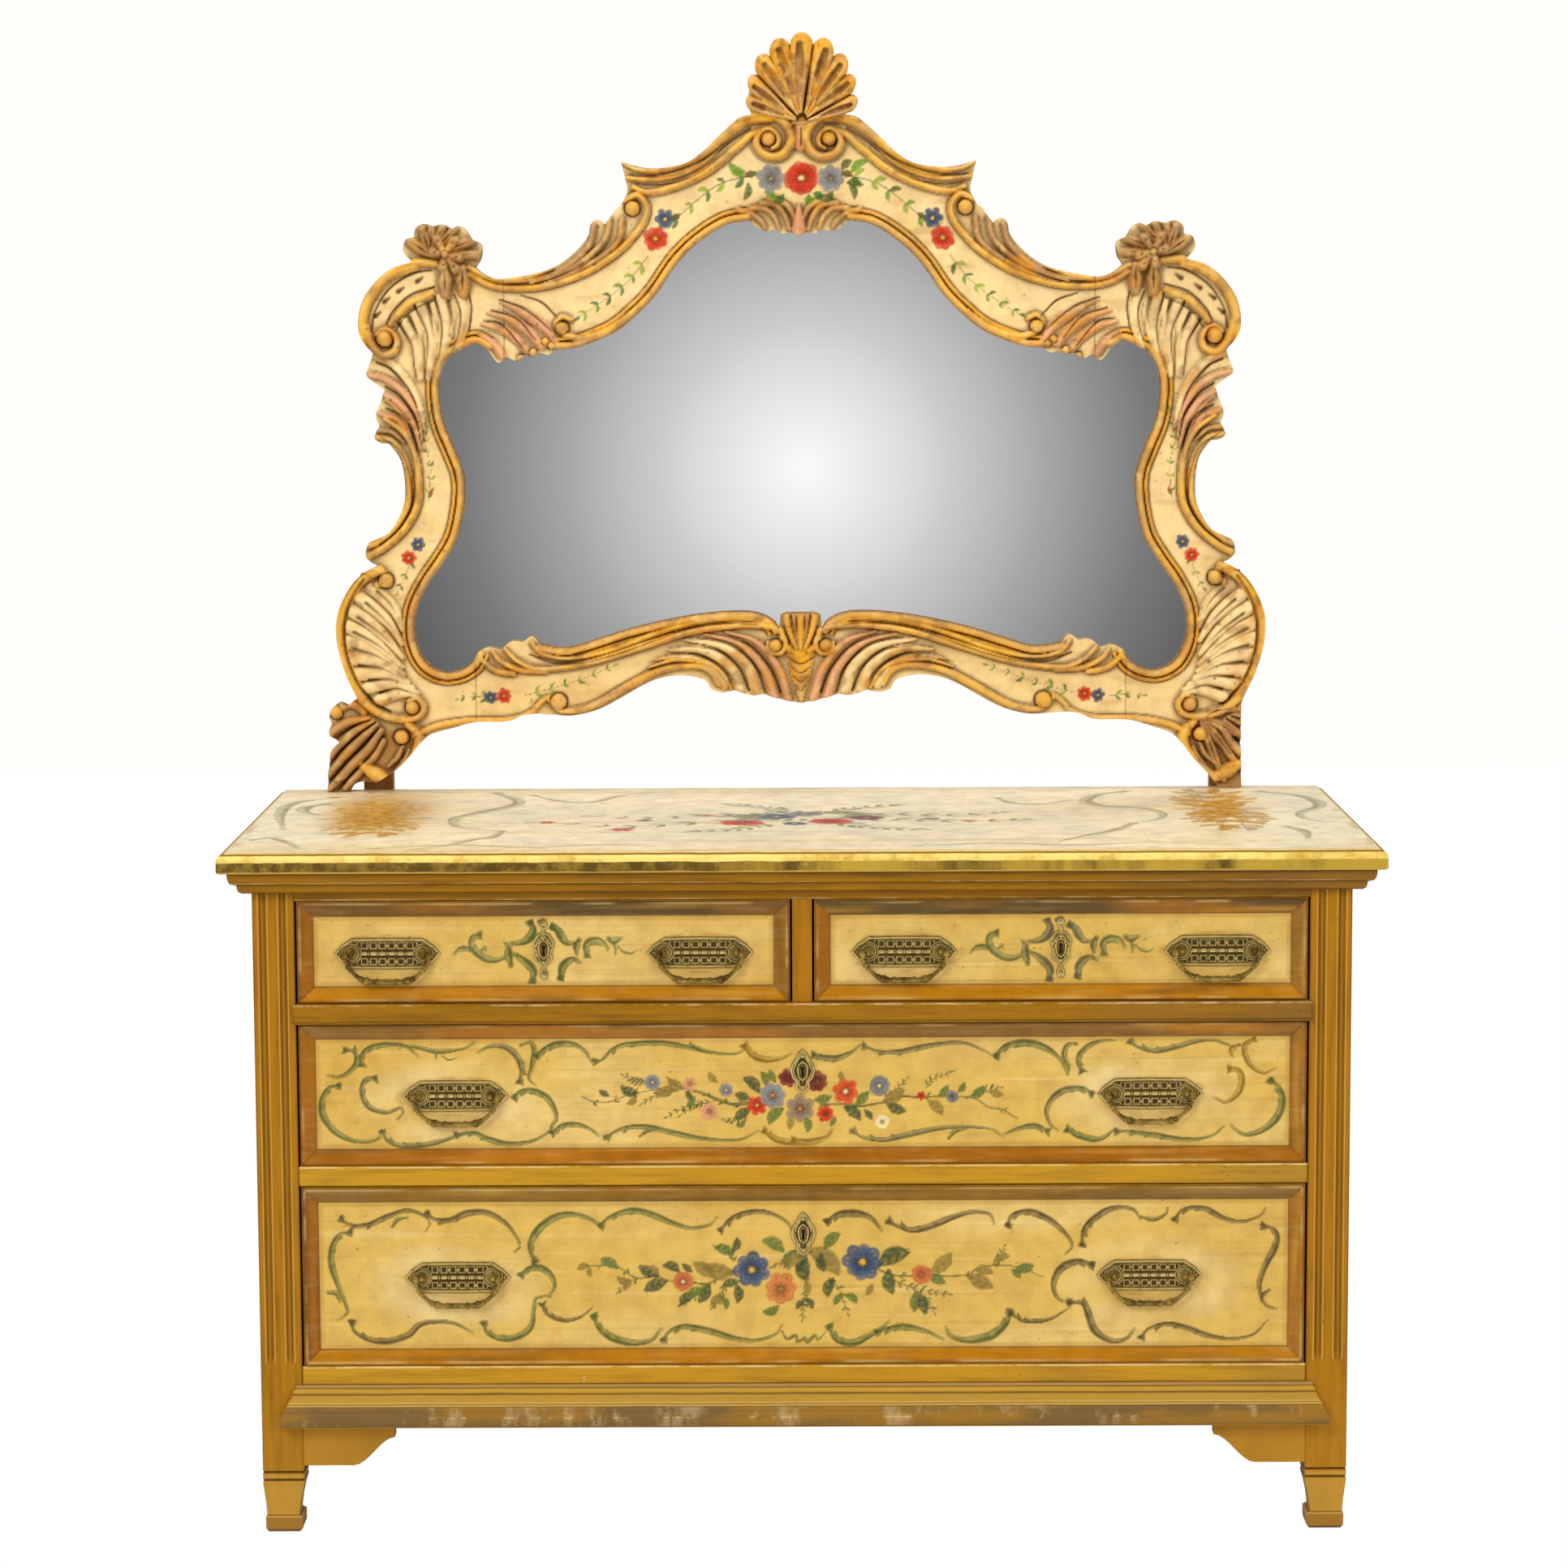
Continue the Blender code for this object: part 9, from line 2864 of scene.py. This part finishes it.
@dataclass
class Hardware:
    """Pull plates, bails and escutcheons of the drawers, in millimetres."""

    plate_face: float = -0.25685
    pivot_y: float = -0.26275
    pull_drop: float = 2.0
    key_to_plate: float = 3.0
    step: float = 0.62
    post: float = 39.0
    hole: float = 2.2
    hole_pitch: float = 10.0
    hole_row: float = 8.8
    panel_rear: float = 0.2734
    board_rear: float = 0.272

    def patina(self, canvas: Canvas, seed_reach: float = 6.0) -> None:
        """Darken the hollows of cast brass, rub its crests bright and leave a greenish bloom.

        Args:
            canvas: Canvas of the casting.
            seed_reach: Size of the bloom's blotches in cells.
        """
        canvas.tint(EVERYWHERE, 0.5 * ramp(canvas.fog(seed_reach, seed_reach), 0.2, 1.8),
                    linear(128, 108, 52))
        canvas.mottle((0.3, 3, 3, 1.0, 2.4, linear(104, 112, 70)))
        for reach, share in ((4.0, 1.0), (1.6, 0.8)):
            rise = canvas.height - blurred(canvas.height, reach, reach)
            canvas.tint(EVERYWHERE, 0.9 * share * ramp(-rise, 0.02, 0.34), linear(62, 48, 20))
            canvas.tint(EVERYWHERE, 0.75 * share * ramp(rise, 0.08, 0.42), linear(238, 214, 140))

    @staticmethod
    def plate_outline() -> np.ndarray:
        """Return the outline of a pull plate, mirrored both ways from its quarter."""
        right = np.array(PLATE_HALF, float)
        return np.vstack((right, (right * (1, -1))[-2::-1], (right * (-1, -1))[1:],
                          (right * (-1, 1))[-2:0:-1]))

    def plate(self, drawer: str, hand: str, centre: Point, finish: Finish, seed: int) -> None:
        """Cast one pierced pull plate.

        Args:
            drawer: Body that it rides on.
            hand: Left or right.
            centre: Its middle, x and z in metres.
            finish: Materials.
            seed: Seed of its patina.
        """
        outline = self.plate_outline()
        canvas = Canvas(np.arange(-60.0, 60.1, self.step), np.arange(-18.6, 18.7, self.step),
                        linear(178, 150, 70), seed)
        canvas.height[:] = 0.12
        canvas.rib(inward(outline, 1.9), 1.7, 1.25, None, 0.6)
        canvas.rib(inward(outline, 4.6), 0.6, 0.75, None, 0.6)
        places = [(i - 2.5) * self.hole_pitch for i in range(6)]
        holes = []
        for x in places:
            for z in (-self.hole_row, self.hole_row):
                h = self.hole
                ring = np.array([(x - h - 1, z - h - 1), (x + h + 1, z - h - 1),
                                 (x + h + 1, z + h + 1), (x - h - 1, z + h + 1),
                                 (x - h - 1, z - h - 1)])
                canvas.rib(ring, 0.8, 0.85, None, 0.5)
                holes.append(np.array([(x - h, z - h), (x + h, z - h), (x + h, z + h),
                                       (x - h, z + h)]))
                canvas.tint(EVERYWHERE, 0.8 * ramp(np.maximum(np.abs(canvas.x - x),
                        np.abs(canvas.z - z)), h + 1.0, h), linear(52, 40, 18))
            canvas.rib(np.array([(x - 1.4, 0), (x + 1.4, 0)]), 2.4, 1.15, None, 0.25)
        for i in range(5):
            x = (i - 2) * self.hole_pitch
            for z in (-self.hole_row, 0, self.hole_row):
                canvas.rib(np.array([(x, z - 1.2), (x, z + 1.2)]), 0.9, 1.0, None, 0.4)
        for side in SIDES:
            for radius, width, height in ((10.4, 0.9, 0.9), (7.6, 1.1, 1.2), (5.6, 0.7, 1.3)):
                canvas.rib(circle_path((side * self.post, 0), radius), width, height, None, 0.6)
            canvas.groove(circle_path((side * self.post, 0), 9.0), 0.7, 0.25, 0.6)
            for turn in range(12):
                angle = 2 * math.pi * turn / 12
                way = heading(angle)
                spot = np.array((side * self.post, 0)) + way * 12.4
                if abs(spot[0]) > 31:
                    canvas.rib(np.array([spot, spot + way * 0.6]), 1.0, 0.8, None, 0.5)
            canvas.groove(np.array([(side * 53.6, 0), (side * 53.7, 0)]), 1.3, 0.8, 1.0)
            canvas.rib(circle_path((side * 53.6, 0), 2.3, 16), 0.6, 0.9, None, 0.5)
            for z in (-1, 1):
                canvas.rib(smooth([(side * 44, z * 10.5), (side * 50, z * 6.5),
                                   (side * 55.5, z * 1.8)]), 0.7, 0.8)
        self.patina(canvas)
        cells = filled(canvas, outline)
        for loop in holes:
            cells &= ~filled(canvas, loop)
        place = upright(centre[0], self.plate_face, centre[1])
        lay_skin(f"{drawer}_{hand}_casting", canvas, cells, place, finish.cast, drawer,
                 (outline, *holes))

    def bail(self, drawer: str, hand: str, centre: Point, finish: Finish, sprig: Sprig) -> None:
        """Cast one bail: eyes at the posts, tapering arms, knobs and a smooth grip.

        Args:
            drawer: Drawer that it hangs on.
            hand: Left or right.
            centre: Middle between its pivots, x and z in metres.
            finish: Materials.
            sprig: Geometry Nodes trees.
        """
        half = smooth(BAIL_HALF, 0.8)
        radii = np.interp(np.linspace(0, 1, len(half)),
                          np.cumsum([0]
                                    + [math.dist(a, b) for a,
                                       b in zip(BAIL_HALF, BAIL_HALF[1:])]) / sum(math.dist(a, b)
                for a, b in zip(BAIL_HALF, BAIL_HALF[1:])), BAIL_RADII)
        knob = np.zeros(len(half))
        for place, size in (((44.9, -2.0), 1.0), ((42.5, -14.5), 0.80), ((39.6, -17.8), 0.72),
                            ((27.6, -27.6), 0.84), ((22.6, -29.4), 1.10), ((18.6, -30.2), 0.86),
                            ((11.0, -30.5), 0.94)):
            knob[np.argmin(np.hypot(*(half - place).T))] = size
        turned = 1 + 0.10 * np.cos(np.arange(len(half)) * 0.8 * 2 * math.pi / 3.6) * (half[:, 1] <
                -6) * (half[:, 0] > 14)
        path = np.vstack((half * (-1, 1), half[-2::-1]))
        wide = np.concatenate((radii * turned, (radii * turned)[-2::-1]))
        knobs = np.concatenate((knob, knob[-2::-1]))
        points = np.column_stack((centre[0] + path[:, 0] / MM, np.full(len(path), self.pivot_y),
                                  centre[1] + path[:, 1] / MM))
        name = f"{drawer}_{hand}_bail"
        piece = sprig.grow(f"{drawer}_{hand}_cast_bail", sprig.rod, points,
                           {"Sides": 14, "Knob radius": 0.0041, "Material": finish.brass},
                           {"radius": wide / MM, "knob": knobs})
        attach(piece, name)
        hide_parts(name)
        LOG.info("%s: %d faces", piece.name, len(piece.data.polygons))

    def beads(self, drawer: str, centres: Iterable[tuple[str, Point]], finish: Finish,
              sprig: Sprig) -> None:
        """Set the rows of fine beads round the plates of one drawer.

        Args:
            drawer: Body that they ride on.
            centres: Hand and middle of each plate.
            finish: Materials.
            sprig: Geometry Nodes trees.
        """
        outline = self.plate_outline()
        line = inward(outline, 3.5)
        spots = spaced(line, 2.5)
        points = np.vstack([np.column_stack((centre[0] + spots[:, 0] / MM,
                                             np.full(len(spots), self.plate_face - 0.0004),
                                             centre[1] + spots[:, 1] / MM)) for _,
                            centre in centres])
        piece = sprig.grow(f"{drawer}_plate_beads", sprig.row, points,
                           {"Radius": 0.00085, "Flatness": (1.0, 1.0, 1.0), "Spread": 0.12,
                            "Seed": 3, "Material": finish.brass})
        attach(piece, drawer)
        LOG.info("%s: %d faces", piece.name, len(piece.data.polygons))

    def escutcheon(self, drawer: str, centre: Point, finish: Finish, wide: bool, seed: int) -> None:
        """Cast the relief of one keyhole plate.

        Args:
            drawer: Body that it rides on.
            centre: Middle of the keyhole, x and z in metres.
            finish: Materials.
            wide: True on the two wide drawers.
            seed: Seed of its patina.
        """
        w, h = (14.0, 25.0) if wide else (12.5, 19.0)
        right = np.array(WIDE_KEY) * (w, h) if wide else np.array(SMALL_KEY)
        outline = np.vstack((right, (right * (-1, 1))[-2:0:-1]))
        tall = right[0][1] + 1
        canvas = Canvas(np.arange(-w - 1, w + 1.1, 0.5), np.arange(-tall, tall + 0.1, 0.5),
                        linear(208, 180, 98), seed)
        canvas.height[:] = 0.12
        canvas.rib(inward(outline, 1.6), 1.4, 1.2, None, 0.6)
        canvas.rib(inward(outline, 4.0), 0.8, 0.9, None, 0.5)
        key = self.key_to_plate
        for side in SIDES:
            canvas.rib(smooth([(0, key + 7.5), (side * 4.6, key + 4), (side * 5.2, key - 2),
                               (side * 3.8, key - 10), (0, key - 13)]), 1.0, 1.3)
            canvas.rib(smooth([(0, h * 0.86), (side * 3.4, h * 0.62), (side * 7.4, h * 0.34),
                               (side * 9.6, h * 0.1)]), (0.8, 1.3, 0.8), 1.2)
            canvas.rib(smooth([(0, -h * 0.84), (side * 3.0, -h * 0.66), (side * 5.4, -h * 0.46),
                               (side * 7.8, -h * 0.2)]), (0.7, 1.2, 0.7), 1.1)
            canvas.groove(np.array([(side * 8.4, h * 0.12), (side * 8.5, h * 0.12)]), 1.2, 0.5, 0.9)
        if not wide:
            for z in (28.5, -28.5):
                canvas.rib(np.array([(0, z), (0.1, z)]), 3.0, 1.6)
        canvas.rib(np.array([(0, h * 0.66), (0, h * 0.68)]), 2.0, 1.5)
        canvas.rib(np.array([(0, -h * 0.70), (0, -h * 0.72)]), 1.7, 1.4)
        self.patina(canvas, 4.0)
        hole = circle_path((0, key), 2.9, 20)[:-1]
        slot = np.array([(-1.75, key), (1.75, key), (1.75, key - 10.6), (-1.75, key - 10.6)])
        cells = filled(canvas, outline) & ~filled(canvas, hole) & ~filled(canvas, slot)

        def place(flat: np.ndarray, height: np.ndarray) -> np.ndarray:
            """Stand canvas points on this keyhole plate."""
            return np.column_stack((centre[0] + flat[:, 0] / MM, self.plate_face - height / MM,
                                    centre[1] + (flat[:, 1] - key) / MM))

        lay_skin(f"{drawer}_keyhole_casting", canvas, cells, place, finish.cast, drawer,
                 (outline,))

    def nails(self, finish: Finish, sprig: Sprig) -> None:
        """Drive the nails that hold the back panel and the mirror's backboard.

        Args:
            finish: Materials.
            sprig: Geometry Nodes trees.
        """
        panel = [(x, z) for x in np.linspace(-0.547, 0.547, 13) for z in (0.131, 0.733)]
        panel += [(x, z) for x in (-0.547, -0.182, 0.182, 0.547)
                  for z in np.linspace(0.215, 0.655, 6)]
        mirror = CarvedMirror()
        edge = spaced(inward(mirror.rebate_line(), 9.0), 75.0)
        board = [(x / MM, mirror.base_z + z / MM) for x, z in edge]
        for name, spots, rear in (("back_nails", panel, self.panel_rear),
                                  ("backboard_nails", board, self.board_rear)):
            points = np.array([(x, rear + 0.0002, z) for x, z in spots])
            piece = sprig.grow(name, sprig.row, points,
                               {"Radius": 0.0042, "Flatness": (1.0, 0.22, 1.0), "Spread": 0.15,
                                "Seed": 7, "Material": finish.iron})
            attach(piece, "case")
            LOG.info("%s: %d faces", piece.name, len(piece.data.polygons))

    def build(self, fronts: Sequence[DrawerFront], finish: Finish, sprig: Sprig) -> None:
        """Cast the hardware of every drawer.

        Args:
            fronts: The drawers' fronts.
            finish: Materials.
            sprig: Geometry Nodes trees.
        """
        self.nails(finish, sprig)
        for index, front in enumerate(fronts):
            middle = (front.low + front.high) / 2 - self.pull_drop / MM
            centres = [(hand, (front.centre + side * front.pulls[0] / MM, middle))
                       for hand, side in (("left", -1), ("right", 1))]
            for turn, (hand, centre) in enumerate(centres):
                self.plate(front.name, hand, centre, finish, 71 + 2 * index + turn)
                self.bail(front.name, hand, centre, finish, sprig)
            self.beads(front.name, centres, finish, sprig)
            key = (front.centre, front.high + 0.001 - front.key_drop / MM)
            self.escutcheon(front.name, key, finish, front.half > WIDE_HALF, 91 + index)


@dataclass
class Studio:
    """Floor, light, reflection card and camera."""

    focal: float = 97.59
    place: tuple[float, float, float] = (-0.00228, -4.84697, 1.38721)
    pitch: float = 0.119855
    yaw: float = 0.00363
    roll: float = -0.004626
    card_y: float = -7.0
    card_centre: Point = (0.02, 0.82)

    def camera(self) -> None:
        """Stand the camera where the photo was taken from."""
        data = bpy.data.cameras.new("photo_camera")
        data.lens = self.focal
        data.sensor_width = 36.0
        data.clip_end = 60.0
        item = bpy.data.objects.new("photo_camera", data)
        bpy.context.scene.collection.objects.link(item)
        item.matrix_world = (Matrix.Translation(self.place) @ Matrix.Rotation(self.yaw, 4, "Z")
                             @ Matrix.Rotation(math.pi / 2 - self.pitch, 4, "X")
                             @ Matrix.Rotation(self.roll, 4, "Z"))
        bpy.context.scene.camera = item

    def white_to_camera(self, name: str, colour: Colour) -> bpy.types.Material:
        """Build a pale surface that the camera and reflections see as plain white.

        Args:
            name: Name of the material.
            colour: Colour that lights the piece by bounce.

        Returns:
            The material.
        """
        made = bpy.data.materials.new(name)
        made.use_nodes = True
        graph = Graph(made.node_tree)
        shader = made.node_tree.nodes["Principled BSDF"]
        shader.inputs["Base Color"].default_value = (*colour, 1.0)
        shader.inputs["Roughness"].default_value = 0.9
        shader.inputs["Specular IOR Level"].default_value = 0.0
        seen = graph.node("ShaderNodeLightPath", output="Is Camera Ray")
        white = graph.node("ShaderNodeEmission", {"Color": (1, 1, 1, 1), "Strength": 1.0})
        both = graph.node("ShaderNodeMixShader",
                          {0: seen, 1: Flow(graph.tree, shader.outputs[0]), 2: white})
        out = made.node_tree.nodes["Material Output"]
        feed(graph.tree, both, out.inputs["Surface"])
        return made

    def plane(self, name: str, centre: Sequence[float], size: Sequence[float], turn: float,
              finish: bpy.types.Material) -> bpy.types.Object:
        """Make a rectangle of the set.

        Args:
            name: Name of the object.
            centre: Its middle.
            size: Width and depth.
            turn: Turn about the X axis in radians.
            finish: Material.

        Returns:
            The object.
        """
        w, d = size[0] / 2, size[1] / 2
        mesh = bpy.data.meshes.new(name)
        mesh.from_pydata([(-w, -d, 0), (w, -d, 0), (w, d, 0), (-w, d, 0)], [], [(0, 1, 2, 3)])
        mesh.materials.append(finish)
        item = bpy.data.objects.new(name, mesh)
        item.rotation_euler = (turn, 0, 0)
        item.location = centre
        bpy.context.scene.collection.objects.link(item)
        return item

    def light(self, name: str, place: Sequence[float], aim: Sequence[float], size: Sequence[float],
              power: float, tint: Colour = (1, 1, 1)) -> None:
        """Add a soft rectangular light.

        Args:
            name: Name of the light.
            place: Its place.
            aim: Point that it faces.
            size: Width and height in metres.
            power: Power in watts.
            tint: Colour.
        """
        data = bpy.data.lights.new(name, "AREA")
        data.shape = "RECTANGLE"
        data.size, data.size_y = size
        data.energy = power
        data.color = tint
        item = bpy.data.objects.new(name, data)
        item.location = place
        item.rotation_euler = (Vector(aim) - Vector(place)).to_track_quat("-Z", "Y").to_euler()
        item.visible_glossy = False
        bpy.context.scene.collection.objects.link(item)

    def card(self) -> None:
        """Hang the card that the mirror shows: bright at its middle and grey at its rim."""
        made = bpy.data.materials.new("reflected_card")
        made.use_nodes = True
        tree = made.node_tree
        tree.nodes.clear()
        graph = Graph(tree)
        place = graph.node("ShaderNodeTexCoord", output="Object")
        reach = graph.node("ShaderNodeVectorMath", {0: place}, output="Value", operation="LENGTH")
        ramp = tree.nodes.new("ShaderNodeValToRGB")
        feed(tree, reach / 2.4, ramp.inputs[0])
        stops = [(0.0, 0.98), (0.14, 0.70), (0.175, 0.61), (0.25, 0.47), (0.29, 0.39),
                 (0.364, 0.275), (0.418, 0.20), (0.51, 0.125)]
        levels = ramp.color_ramp.elements
        while len(levels) > 1:
            levels.remove(levels[-1])
        for index, (place_px, level) in enumerate(stops):
            stop = levels[0] if index == 0 else levels.new(place_px)
            stop.position = place_px
            stop.color = (level, level, level, 1.0)
        glow = graph.node("ShaderNodeEmission",
                          {"Color": Flow(tree, ramp.outputs[0]), "Strength": 1.0})
        out = tree.nodes.new("ShaderNodeOutputMaterial")
        feed(tree, glow, out.inputs["Surface"])
        item = self.plane("reflection_card",
                          (self.card_centre[0], self.card_y, self.card_centre[1]), (6.0, 6.0),
                          math.pi / 2, made)
        for way in ("visible_camera", "visible_diffuse", "visible_shadow", "visible_transmission"):
            setattr(item, way, False)

    def build(self) -> None:
        """Build the whole set."""
        self.camera()
        pale = self.white_to_camera("pale_floor", (0.80, 0.79, 0.77))
        self.plane("floor", (0, 0, 0), (14, 14), 0.0, pale)
        self.card()
        self.light("key", (-2.2, -3.6, 3.4), (0, 0, 0.8), (2.2, 1.8), 98.0, (1.0, 0.985, 0.96))
        self.light("fill", (2.6, -3.4, 2.2), (0, 0, 0.7), (2.4, 2.0), 44.0, (0.97, 0.985, 1.0))
        self.light("over", (0.0, -0.6, 4.2), (0, 0.1, 0.7), (3.0, 2.2), 62.0)
        self.light("back_left", (-2.4, 3.2, 2.4), (0, 0, 0.8), (2.0, 2.0), 36.0)
        self.light("back_right", (2.4, 3.2, 2.4), (0, 0, 0.8), (2.0, 2.0), 36.0)
        world = bpy.data.worlds.new("studio")
        bpy.context.scene.world = world
        world.use_nodes = True
        graph = Graph(world.node_tree)
        back = world.node_tree.nodes["Background"]
        seen = graph.node("ShaderNodeLightPath", output="Is Camera Ray")
        back.inputs["Color"].default_value = (1.0, 0.99, 0.97, 1.0)
        feed(graph.tree, seen * 0.62 + 0.38, back.inputs["Strength"])
        bpy.context.scene.view_settings.view_transform = "Standard"


def main() -> None:
    """Build the looks in order and report each step."""
    logging.basicConfig(level=logging.INFO, format="%(message)s")
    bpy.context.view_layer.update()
    finish = Finish()
    finish.dress()
    LOG.info("finishes given to %d nodes", len(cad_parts))
    CarvedMirror().build(finish)
    LOG.info("mirror carved")
    fronts = drawer_fronts()
    for front in fronts:
        front.build(finish)
    PaintedTop().build(finish)
    SidePanels().build(finish)
    Hardware().build(fronts, finish, Sprig())
    Studio().build()
    LOG.info("studio built")


if __name__ == "__main__":
    main()
